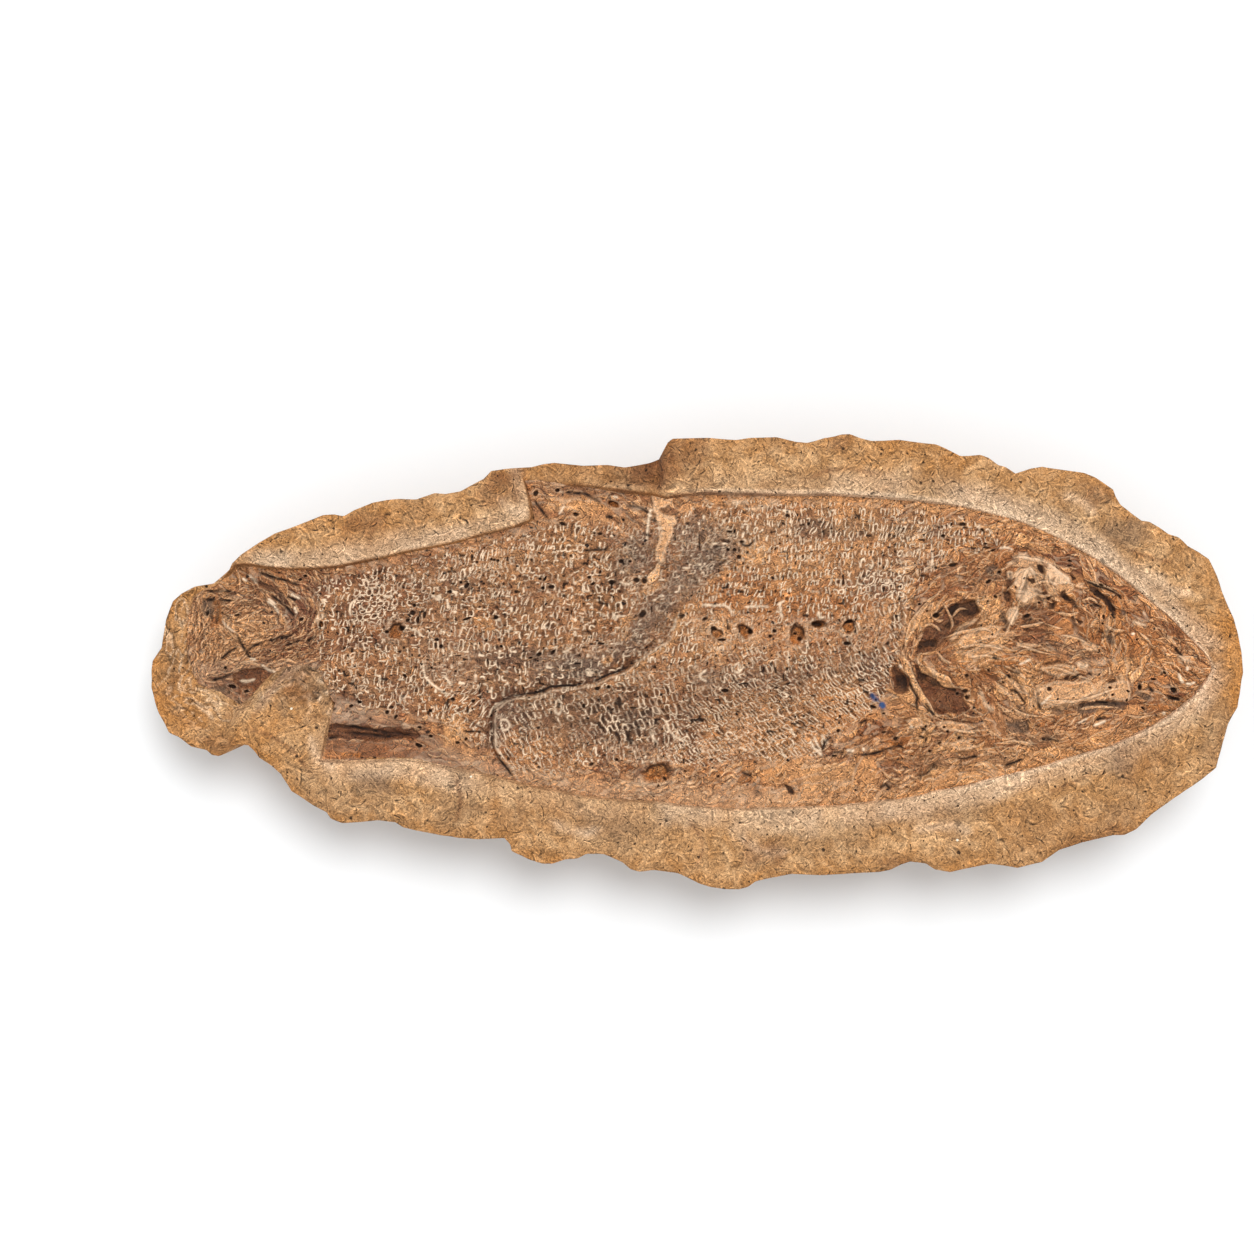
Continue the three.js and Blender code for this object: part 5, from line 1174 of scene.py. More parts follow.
        (-28.6, -28.2, 0.9, 0.5, 20), (-8.4, -32.3, 0.7, 0.5, -40), (-10.2, -34.2, 0.6, 0.3, 60),
        (-2.8, -30.2, 0.6, 0.4, -10), (6.3, -31.6, 0.5, 0.4, 0), (8.2, -8, 1.1, 0.5, 0),
        (48.8, -12.4, 0.8, 0.4, -20), (43.8, -11.6, 0.4, 0.4, 0), (39.2, -19, 0.5, 0.4, 90),
        (51.7, -14.2, 0.5, 0.3, 0), (55, -21.2, 0.7, 0.6, 0), (51.8, -19.4, 0.8, 0.3, 10),
        (38.2, -25.9, 0.7, 0.3, 0), (64.3, -24.6, 0.5, 0.4, 0), (67, -22.4, 0.7, 0.3, 20),
        (63.3, -17.8, 0.4, 0.4, 0), (72.4, -21, 0.6, 0.5, 50), (69.3, -19.2, 0.5, 0.4, -30),
        (68.3, -18, 0.5, 0.4, 0), (74, -8, 0.9, 0.6, 0), (74.6, -9.8, 0.6, 0.6, 0), (71.9, -8.8, 0.5, 0.4, 0),
        (74.4, -3.8, 0.5, 0.5, 0), (80.4, -2.4, 0.5, 0.3, -40), (84.4, -5.7, 0.6, 0.3, -30),
        (86, -4, 0.6, 0.3, -40), (91, 12.5, 1.0, 0.6, 15), (94.4, 16.2, 0.5, 0.3, -20),
        (82.5, 17.8, 0.6, 0.4, -40), (80.3, 16.6, 0.4, 0.3, 0), (83.6, 24.6, 0.6, 0.4, 20),
        (80.6, 22, 0.8, 0.5, 30), (68.2, 34.6, 0.7, 0.5, 0), (73.6, 37.8, 1.2, 0.5, 0),
        (79, 36.2, 0.6, 0.4, -30), (79.8, 32.4, 0.6, 0.3, 0), (81.8, 30.6, 0.6, 0.3, 20),
        (70.8, 26.6, 1.1, 0.6, 10), (63.6, 13.9, 0.4, 0.4, 0), (66, 12.6, 1.1, 0.7, 10),
        (61.6, 15.8, 0.4, 0.3, 0), (97, -7.5, 0.7, 0.6, 0), (113.6, -7.1, 0.6, 0.4, 0),
        (114.3, -9.1, 0.4, 0.4, 0), (118.6, -8.1, 0.6, 0.3, -30), (118.3, -10.6, 0.5, 0.3, 70),
        (121.9, -7, 0.8, 0.6, 70), (131.3, -7.8, 1.0, 0.8, 0), (128.6, -3, 0.6, 0.3, -50),
        (112.1, 12.3, 0.7, 0.35, 100), (111.8, 10.4, 0.4, 0.3, 0), (121.2, 6.1, 0.6, 0.3, 30),
        (103, 27.7, 0.7, 0.25, -10), (102.9, 26.3, 0.7, 0.25, -5), (122.8, -12.8, 0.8, 0.3, -40),
        (111.6, 21, 0.8, 0.4, -20), (125.6, -4.8, 0.7, 0.3, 0), (-134.6, 13.2, 0.7, 0.4, 70),
        (-109, 22.6, 0.5, 0.4, 0), (-107.6, 23.6, 0.6, 0.4, 0), (-128, -7, 1.1, 0.5, -10),
        (-124, -8.2, 1.0, 0.4, 20), (-126.4, 12.8, 0.8, 0.3, 10), (-130, -1.8, 0.4, 0.3, 0),
        (-108.6, 11.6, 0.7, 0.4, 20), (-44, 46.4, 0.8, 0.6, 60), (-38, 47.2, 0.7, 0.5, 0),
        (-33, 40.6, 0.8, 0.6, 0), (-36.6, 38, 1.1, 0.6, -20)]),
]


# What is drawn on the stone's rim.
RIM_AREAS: list[tuple[Patch, list[Route]]] = [
    (AMBER, [
        [(-104, 29), (-100, 38), (-84, 43), (-72, 43), (-74, 33), (-90, 30)],
        [(-58, 44), (-58, 53), (-46, 54), (-46, 46)],
        [(128, -14), (150, -14), (150, 14), (132, 14), (140, 0)],
        [(-152, -18), (-136, -18), (-138, 0), (-152, 0)], [(136, -14), (152, -14), (152, 14), (138, 12)],
        [(60, 54), (70, 56), (70, 50), (60, 48)]]),
    (ASH, [
        [(111, 33), (112, 38), (117, 39), (124, 38), (125, 34), (120, 31.5)],
        [(-96, -30), (-84, -30), (-82, -36), (-94, -36)], [(112, -24), (118, -23), (119, -31), (112, -30)]]),
    (HAZE, [
        [(92, 44), (106, 42), (112, 34), (98, 38)], [(-34, -40), (-10, -42), (-12, -50), (-32, -50)],
        [(60, 52), (74, 51), (72, 45), (60, 46)],
        [(-112, -28), (-100, -34), (-84, -36), (-84, -44), (-104, -42)],
        [(20, -44), (50, -44), (48, -52), (24, -52)]]),
    (LIGHT, [
        [(8, -39), (34, -39), (34, -47), (10, -48)], [(36, 52), (60, 52), (58, 43), (36, 44)],
        [(110, 30), (118, 26), (124, 18), (116, 14), (106, 26)],
        [(-10, -38), (8, -38), (6, -44), (-10, -44)]]),
    (TAN, [
        [(114, -22), (128, -18), (132, -28), (116, -35)], [(114, -22), (128, -18), (132, -28), (116, -35)],
        [(46, -38), (74, -38), (74, -47), (46, -47)], [(-44, 48), (-12, 48), (-12, 58), (-42, 58)],
        [(-44, 48), (-12, 48), (-12, 58), (-42, 58)], [(86, -40), (124, -38), (120, -54), (86, -56)],
        [(-64, -40), (-16, -40), (-18, -47), (-60, -47)]]),
    # brown patches; some are painted shade: in the step behind the old break near (-10, 54), and a shadow
    # cast by a ball beside the stone near (-92, 37)
    (UMBER_AND_SHADE, [
        [(-14, 52), (3, 52), (3, 63), (-12, 63)], [(12, -49), (24, -49), (24, -56), (12, -56)],
        [(-116, -3), (-110, 0.5), (-104, -2), (-103, -9), (-108, -12), (-114, -9)],
        [(-60, 42), (-58, 51), (-49, 52), (-48, 44)], [(-98, 34), (-96, 40), (-86, 41), (-85, 36)],
        [(-18, 48), (-18, 54), (-9, 60), (-5, 58), (-6, 52), (-9, 46)],
        [(-18, 50), (-16, 55), (-9, 57), (-8, 50)], [(106, 44), (106, 49), (112, 49), (116, 45), (112, 42)],
        [(36, 58), (37, 62), (43, 62), (43, 59)], [(-137, -21), (-132, -26), (-126, -24), (-130, -20)],
        [(50, -54), (52, -58), (63, -57), (60, -54)], [(-57, 47), (-55, 53), (-48, 53), (-50, 48)],
        [(100, -50), (104, -52), (120, -46), (116, -44)]]),
]

RIM_MARKS: list[tuple[Stroke | Patch | Pit, list]] = [
    # dark sunk lines on the rim; the one under the ridge beside the notch and the one along the step of the
    # old break are painted shadow
    (SEAM_AND_SHADOW, [
        [(-122, -15.4), (-117, -8), (-112, -2), (-108, 1)], [(-66, -31.5), (-64.6, -38), (-66, -44)],
        [(-90, 31), (-88, 38), (-84, 41)], [(118, 31), (126, 28), (131, 27)],
        [(96, -36), (104, -33), (109, -30)], [(-10, 47), (-9.2, 50.4), (-9.3, 54)],
        [(30, 50), (40, 53), (52, 51)], [(-124, -18), (-114, -22), (-106, -30)],
        [(-2, -43), (2, -50), (0, -57)]]),
    (CREST, [
        [(-121, -13.6), (-115.6, -6.6), (-110, -0.6), (-106, 2)], [(100, 46), (106, 44), (110, 40)],
        [(-54, 45), (-50, 42), (-46, 41)], [(126, 24), (130, 20), (136, 18)],
        [(60, -46), (70, -45), (76, -47)], [(-40, -44), (-32, -47), (-26, -46)],
        [(12, -48), (18, -52), (26, -52)], [(-106, -20), (-104, -26), (-99, -30)],
        [(138, -14), (140, -6), (144, 0)]]),
]

# Layers of slivers, from the lowest to the topmost: box, count, half length, half width, lift, contrast,
# strength of the painted highlight and shadow at the edges, seed, bend and stray.
LAYERS: list[Slivers] = [
    Slivers((-104, 60, -40, 51), 4200, (0.8, 2.6), (0.2, 0.5), 0.1, 0.35, 0.25, 61, 1.4, skin=True),
    Slivers((-104, 60, -40, 51), 2600, (1.0, 3.0), (0.25, 0.7), 0.3, 0.7, 0.7, 62, 1.6, 1.4),
    Slivers((-56, 60, -42, -22), 900, (0.8, 2.2), (0.15, 0.45), 0.25, 1.0, 0.7, 68, 2.0, 2.0),
    Slivers((54, 142, -38, 46), 750, (2.5, 7.0), (0.6, 2.2), 0.5, 0.5, 0.9, 63, 1.0, 0.9),
    Slivers((54, 142, -38, 46), 1500, (1.4, 5.0), (0.35, 1.1), 0.35, 0.65, 0.9, 64, 1.3, 1.1),
    Slivers((54, 142, -38, 46), 1500, (0.8, 2.6), (0.16, 0.4), 0.25, 0.9, 0.6, 66, 1.8, 1.4),
    Slivers((-142, -101, -15, 27), 600, (1.8, 5.0), (0.4, 1.2), 0.3, 0.45, 0.8, 65, 1.0, 0.7),
    Slivers((-142, -101, -15, 27), 1500, (0.8, 2.6), (0.15, 0.4), 0.2, 0.6, 0.7, 67, 1.6, 0.9),
]


@dataclass
class Landscape:
    """The fish's relief and stains over the plane: bulge, broken skin, scales, bones and holes."""

    broad: Grain = field(default_factory=lambda: Grain(23))
    fine: Grain = field(default_factory=lambda: Grain(11))
    bulge: float = 2.4  # of the flank's middle above its edges
    skin_step: float = 1.5  # of the front flank above the rear one, where the skin is broken
    tail_drop: float = 1.2  # of the tail's end

    def __post_init__(self) -> None:
        """Lay out the curves that every piece shares."""
        self.belly = smooth_route(BELLY, 1.0)
        self.back = smooth_route(BACK, 1.0)
        self.crack = smooth_route(CRACK, 1.0)

    def lie(self, ground: Ground) -> tuple[Array, Array]:
        """Where each place lies on the body.

        Args:
            ground: the places.

        Returns:
            The share from belly to back, and the distance into the front flank, negative behind it.
        """
        low = np.interp(ground.x, self.belly[:, 0], self.belly[:, 1])
        high = np.interp(ground.x, self.back[:, 0], self.back[:, 1])
        x, y = ground.x, ground.y
        distance, _, side = reach(x + 0.5 * WARP.cloud(x, y, 3), y + 0.5 * WARP.cloud(y, x, 3), self.crack)
        return (ground.y - low) / (high - low), -side * distance

    def flow(self, x: Array, y: Array) -> Array:
        """Direction of the fibres: the listed ones, weighed by the distance to the power of -4.

        Args:
            x, y: places.

        Returns:
            Radians from +X for each place.
        """
        east, north = np.zeros_like(x), np.zeros_like(x)
        for at_x, at_y, turn in FLOW:
            weight = 1 / ((x - at_x) ** 2 + (y - at_y) ** 2 + 1.0) ** 2
            east += weight * math.cos(math.radians(2 * turn))
            north += weight * math.sin(math.radians(2 * turn))
        return 0.5 * np.arctan2(north, east) + 0.5 * WARP.cloud(x, y, 5, 2)

    def bony(self, ground: Ground) -> Array:
        """How bony each place is.

        Args:
            ground: the places.

        Returns:
            1 on head and tail, less on the strips and fins beside the skin, and 0 on the scaly skin.
        """
        ends = np.maximum(ramp(ground.x, 54, 60), ramp(-ground.x, 101, 105))
        skin = soft_area(ground.x, ground.y, SKIN, 3.0, 1.5)
        return np.maximum(ends * (0.8 + 0.2 * self.broad.at(ground.x, ground.y, 7)), 0.7 * (1 - skin))

    def body(self, ground: Ground) -> None:
        """Model the flank: a bulge like the arch of a sine, and the step where the skin is broken.

        Args:
            ground: the places, changed here.
        """
        share, front = self.lie(ground)
        arch = np.sin(np.pi * np.clip(share, 0, 1))
        x, y = ground.x, ground.y
        worn = 1 - 0.8 * ramp(y, 4, 20)
        step = self.skin_step * worn * ramp(front, -0.15, 0.9) * ramp(share, -0.02, 0.12)
        trench = 0.9 * bell(front + 0.7, 0.8) * worn * ramp(share, 0, 0.1)
        swell = 0.35 * self.broad.cloud(x, y, 16, 3) + 0.16 * self.fine.cloud(x, y, 3.0, 3)
        ground.height += self.bulge * arch**0.6 + step - trench - 0.15 + swell * ramp(arch, 0, 0.3)
        ground.height -= self.tail_drop * ramp(-x, 106, 136)

    def rift(self, ground: Ground) -> None:
        """Darken the gap where the skin is broken, and brighten the edge above it.

        Args:
            ground: the places, changed here.
        """
        x, y = ground.x, ground.y
        _, front = self.lie(ground)
        along = 1.0 + 0.8 * self.broad.at(x, y, 6)
        ground.paint(DARK, along * bell(front + 0.3, 0.36) * (1 - ramp(y, -4, 1)) * ramp(y, -34, -30))
        behind = 0.55 * ramp(front, -2.8, -0.3) * (1 - ramp(front, -0.3, 0.3))
        ground.paint(UMBER, behind * (1 - 0.5 * ramp(y, 0, 8)) * (1 - ramp(y, 14, 24)))
        ground.paint(PALE, 0.4 * bell(front - 0.8, 0.3) * (1 - ramp(y, 2, 14)))
        ground.paint(SAND, 0.5 * bell(front - 1.6, 1.1) * ramp(y, -6, 0) * (1 - ramp(y, 10, 18)))

    def weather(self, ground: Ground) -> None:
        """Stain the surface in broad soft patches.

        Args:
            ground: the places, changed here.
        """
        x, y = ground.x, ground.y
        share, _ = self.lie(ground)
        ground.paint(GREY, 0.2 * ramp(self.broad.cloud(x + 30, y, 15, 4), 0.05, 0.5))
        rusty = 0.14 * ramp(self.broad.cloud(x - 60, y + 20, 9, 4), 0.1, 0.5) + 0.2 * ramp(x, 54, 66)
        ground.paint(RUST, rusty)
        ground.paint(UMBER, 0.25 * ramp(self.broad.cloud(x + 120, y - 50, 10, 4), 0.1, 0.5))
        strip = 1 - ramp(share, 0.03, 0.1)
        ground.paint(SAND, 0.3 * strip * ramp(x, -60, -40))
        # sand along both edges of the fish towards the head: partly its ochre strip, partly painted light
        # against the shade where the fish meets the trough's wall
        edge = 1 - ramp(np.minimum(share, 1 - share), 0.0, 0.05)
        ground.paint(SAND, 0.45 * edge * ramp(x, 0, 30))
        ground.paint(PALE, 0.12 * strip * (1 - ramp(x, 10, 50)))
        ground.paint(SAND, 0.08 * ramp(-x, 104, 110))
        behind = ramp(-x, -2, 8) * (1 - ramp(-x, 100, 106)) * ramp(share, 0.1, 0.3)
        ground.paint(GREY, 0.14 * behind)
        ground.paint(UMBER, 0.07 * behind)

    def fibres(self, ground: Ground, bony: Array) -> None:
        """Draw fibres along the flow: three widths of streaks, whose level lines are the finest fibres.

        Args:
            ground: the places, changed here.
            bony: how strong the fibres are, 0 to 1.
        """
        x, y = ground.x, ground.y
        turn = self.flow(x, y)
        thin = self.fine.streaks(x, y, turn, 0.6, 3.0)
        thick = self.broad.streaks(x, y, turn, 1.3, 5.0)
        bands = self.broad.streaks(x + 50, y, turn, 3.2, 9.0) + 0.5 * self.fine.cloud(x, y, 8, 2)
        ground.stains[GRAIN] += bony * (1.1 * bands + 0.45 * thick + 0.12 * thin)
        leaf = np.mod(1.15 * ground.stains[GRAIN], 1.0)
        shown = bony * (bony > 0.2)
        ground.height += bony * (0.1 * thin + 0.15 * thick + 0.15 * bands) + 0.42 * shown * (leaf - 0.5)
        ground.paint(SAND, 0.45 * bony * ramp(bands + 0.5 * thick, 0.0, 0.8))
        ground.paint(UMBER, 0.4 * bony * ramp(-bands - 0.5 * thick, 0.1, 0.9))
        both = thin + 0.6 * thick
        # lamellae: a painted highlight near each one's high edge and painted shade in the crevice at its
        # foot, beside the streaks' own pale and dark
        ground.paint(PALE, shown * (0.5 * ramp(both, 0.6, 1.2) + 0.4 * ramp(leaf, 0.7, 0.95)))
        ground.paint(DARK, shown * (0.4 * ramp(-both, 0.6, 1.2) + 0.5 * ramp(-leaf, -0.3, -0.05)))

    def scales(self, ground: Ground) -> None:
        """Lay the rows of scales, each kind in its own part of the skin, and a fine net where they are worn.

        Args:
            ground: the places, changed here.
        """
        x, y = ground.x, ground.y
        _, front = self.lie(ground)
        wx = x + 0.7 * self.fine.cloud(x, y, 5.0, 3) + 0.34 * self.broad.at(x, y, 1.6)
        wy = y + 1.1 * self.fine.cloud(y + 90, x, 6.0, 3) + 0.42 * self.broad.at(y, x, 1.8)
        rear = 1 - ramp(front, -0.2, 0.4)
        slope = y - 0.27 * x
        lower = 1 - ramp(slope + 1.5 * self.broad.at(x, y, 9), -1.5, 1.5)
        belly = ramp(x, -14, -4) * (1 - ramp(slope + 1.5 * self.broad.at(x, y, 7), -14, -11))
        upper = ramp(self.broad.cloud(x + 70, y, 13, 2), -0.1, 0.1)
        front_low = (1 - rear) * lower
        seen = soft_area(x, y, SKIN, 1.5, 1.2)
        clear = seen.copy()
        for worn in WORN:
            clear *= 1 - 0.9 * soft_area(x, y, worn, 3.0, 1.5)
        beds = [(WORN_SCALES, 0.4 * (seen - clear))]
        for outline, bed in BEDS:
            mask = soft_area(x, y, outline, 1.5, 2.0)
            beds.append((bed, mask * clear))
            clear = clear * (1 - mask)
        beds += [
            (REAR_HIGH_SCALES, rear * upper * clear),
            (REAR_LOW_SCALES, rear * (1 - upper) * clear),
            (FRONT_HIGH_SCALES, (1 - rear) * (1 - lower) * clear),
            (FRONT_LOW_SCALES, front_low * (1 - belly) * clear),
            (BELLY_SCALES, front_low * belly * clear),
        ]
        strong = np.clip(0.85 + 0.65 * self.broad.cloud(x, y, 6, 3) - 0.12 * (1 - rear) * lower, 0.25, 1.2)
        for bed, mask in beds:
            mask = mask * strong
            near = mask > 0.02
            rims, hollow = bed.lay(wx[near], wy[near])
            m = mask[near]
            ground.height[near] += m * (0.28 * rims - 0.3 * hollow)
            ground.paint(DARK, 0.62 * m * hollow, near)
            ground.wipe(DARK, m * rims, near)
            ground.paint(PALE, (2.1 - 0.4 * front_low[near]) * m * rims, near)
        dots = self.fine.at(x + 11, y + 5, 1.1)
        ground.paint(PALE, 0.9 * seen * ramp(dots, 0.7, 0.88) * (0.4 + 0.6 * rear))
        ground.paint(DARK, 0.9 * seen * ramp(-dots, 0.72, 0.88))
        ground.height -= 0.5 * seen * ramp(-dots, 0.72, 0.88)

    def shape(self, ground: Ground) -> None:
        """Model and stain everything on the given places, from the lowest layer to the topmost.

        Args:
            ground: the places, changed here. Their heights end as those above the resting surface.
        """
        self.body(ground)
        self.weather(ground)
        self.draw(ground, AREAS)
        self.fibres(ground, 0.6 * self.bony(ground))
        for layer in LAYERS:
            layer.lay(ground, self)
        self.scales(ground)
        self.rift(ground)
        self.draw(ground, MARKS)
        ground.height[:] = np.minimum(ground.height + fish_edge(ground.x), CEILING)

    def draw(self, ground: Ground, marks: list[tuple[Stroke | Patch | Pit, list]]) -> None:
        """Draw marks, kind by kind.

        Args:
            ground: the places, changed here.
            marks: each kind with its routes, outlines or holes.
        """
        for kind, shapes in marks:
            for shape in shapes:
                kind.mark(ground, shape)


# ---------------------------------------------------------------- meshes


@dataclass
class Solid:
    """A closed mesh under construction: points in millimetres, four-sided faces and flat caps."""

    name: str
    points: Array
    quads: Array
    caps: list[Array]
    stains: dict[Stain, Array]
    smooth_quads: int  # the first so many faces are shaded smooth

    def build(self) -> bpy.types.Object:
        """Make the object, with one attribute for each stain.

        Returns:
            The object, in the scene.
        """
        mesh = bpy.data.meshes.new(self.name)
        loops = np.concatenate([self.quads.ravel(), *self.caps]).astype(np.int32)
        sizes = np.concatenate([np.full(len(self.quads), 4), [len(cap) for cap in self.caps]])
        mesh.vertices.add(len(self.points))
        mesh.vertices.foreach_set("co", (self.points * MM).astype(np.float32).ravel())
        mesh.loops.add(len(loops))
        mesh.loops.foreach_set("vertex_index", loops)
        mesh.polygons.add(len(sizes))
        starts = np.concatenate([[0], np.cumsum(sizes)[:-1]]).astype(np.int32)
        mesh.polygons.foreach_set("loop_start", starts)
        mesh.polygons.foreach_set("use_smooth", np.arange(len(sizes)) < self.smooth_quads)
        mesh.update(calc_edges=True)
        mesh.validate()
        for stain, values in self.stains.items():
            layer = mesh.attributes.new(stain.value, "FLOAT", "POINT")
            layer.data.foreach_set("value", values.astype(np.float32).ravel())
        made = bpy.data.objects.new(self.name, mesh)
        bpy.context.scene.collection.objects.link(made)
        return made


def grid_quads(rows: int, columns: int, closed: bool = False) -> Array:
    """Faces of a grid whose points are stored row by row.

    Args:
        rows, columns: the grid's size.
        closed: join the last column to the first.

    Returns:
        Four point numbers for each face.
    """
    r = np.arange(rows - 1)[:, None]
    c = np.arange(columns if closed else columns - 1)[None, :]
    here, right = r * columns + c, r * columns + (c + 1) % columns
    return np.stack([here, right, right + columns, here + columns], axis=-1).reshape(-1, 4)


def coons(bottom: Array, top: Array, left: Array, right: Array) -> tuple[Array, Array]:
    """Fill four joined edges with a grid: the two ruled surfaces added, less the bilinear one.

    Args:
        bottom, top: edges with one point for each column.
        left, right: edges with one point for each row.

    Returns:
        The grid's x and y, rows first.
    """
    u = np.linspace(0, 1, len(bottom))[None, :, None]
    v = np.linspace(0, 1, len(left))[:, None, None]
    ruled = (1 - v) * bottom[None] + v * top[None] + (1 - u) * left[:, None] + u * right[:, None]
    corners = ((1 - u) * (1 - v) * bottom[0] + u * (1 - v) * bottom[-1]
               + (1 - u) * v * top[0] + u * v * top[-1])
    grid = ruled - corners
    return grid[..., 0], grid[..., 1]


def between(line: Array, start: Point, end: Point) -> Array:
    """The stretch of a line between the points nearest to two places.

    Args:
        line: the line's points.
        start, end: the two places, which take the nearest points' stead.

    Returns:
        The stretch's points, from start to end.
    """
    first, last = (int(np.argmin(np.hypot(*(line - np.array(place)).T))) for place in (start, end))
    cut = line[first:last + 1] if last >= first else line[last:first + 1][::-1]
    return np.vstack([start, cut[1:-1], end])


# ---------------------------------------------------------------- materials


class Wire:
    """A socket in a node tree that takes part in arithmetic: each operator adds a Math node."""

    def __init__(self, bench: "Bench", socket: bpy.types.NodeSocket | None) -> None:
        """Wrap an output socket."""
        self.bench, self.socket = bench, socket

    def _math(self, operation: str, *inputs: "Wire | float", clamp: bool = False) -> "Wire":
        """Add one Math node."""
        settings = {"operation": operation, "use_clamp": clamp}
        return self.bench.node("ShaderNodeMath", settings, dict(enumerate(inputs)))

    def __add__(self, other: "Wire | float") -> "Wire":
        """self + other."""
        return self._math("ADD", self, other)

    __radd__ = __add__

    def __sub__(self, other: "Wire | float") -> "Wire":
        """self - other."""
        return self._math("SUBTRACT", self, other)

    def __rsub__(self, other: float) -> "Wire":
        """other - self."""
        return self._math("SUBTRACT", other, self)

    def __mul__(self, other: "Wire | float") -> "Wire":
        """self * other."""
        return self._math("MULTIPLY", self, other)

    __rmul__ = __mul__

    def also(self, output: str) -> "Wire":
        """Another output of the same node."""
        return Wire(self.bench, self.socket.node.outputs[output])

    def sine(self) -> "Wire":
        """The sine of the value, in radians."""
        return self._math("SINE", self)

    def clamped(self) -> "Wire":
        """Held between 0 and 1."""
        return self._math("ADD", self, 0.0, clamp=True)

    def distance(self, other: "Wire | float") -> "Wire":
        """How far the value is from another, either way."""
        return (self - other)._math("ABSOLUTE", self - other)

    def step(self, low: float, high: float) -> "Wire":
        """Smooth step.

        Args:
            low: the value that becomes 0.
            high: the value that becomes 1.

        Returns:
            The stepped value.
        """
        settings = {"interpolation_type": "SMOOTHSTEP"}
        inputs = {"Value": self, "From Min": low, "From Max": high}
        return self.bench.node("ShaderNodeMapRange", settings, inputs)


Colour = tuple[float, float, float]


def linear(colour: Colour) -> tuple[float, float, float, float]:
    """A display colour of 0 to 255 as the linear colour that a shader takes."""
    parts = [part / 255 for part in colour]
    return (*(p / 12.92 if p <= 0.04045 else ((p + 0.055) / 1.055) ** 2.4 for p in parts), 1.0)


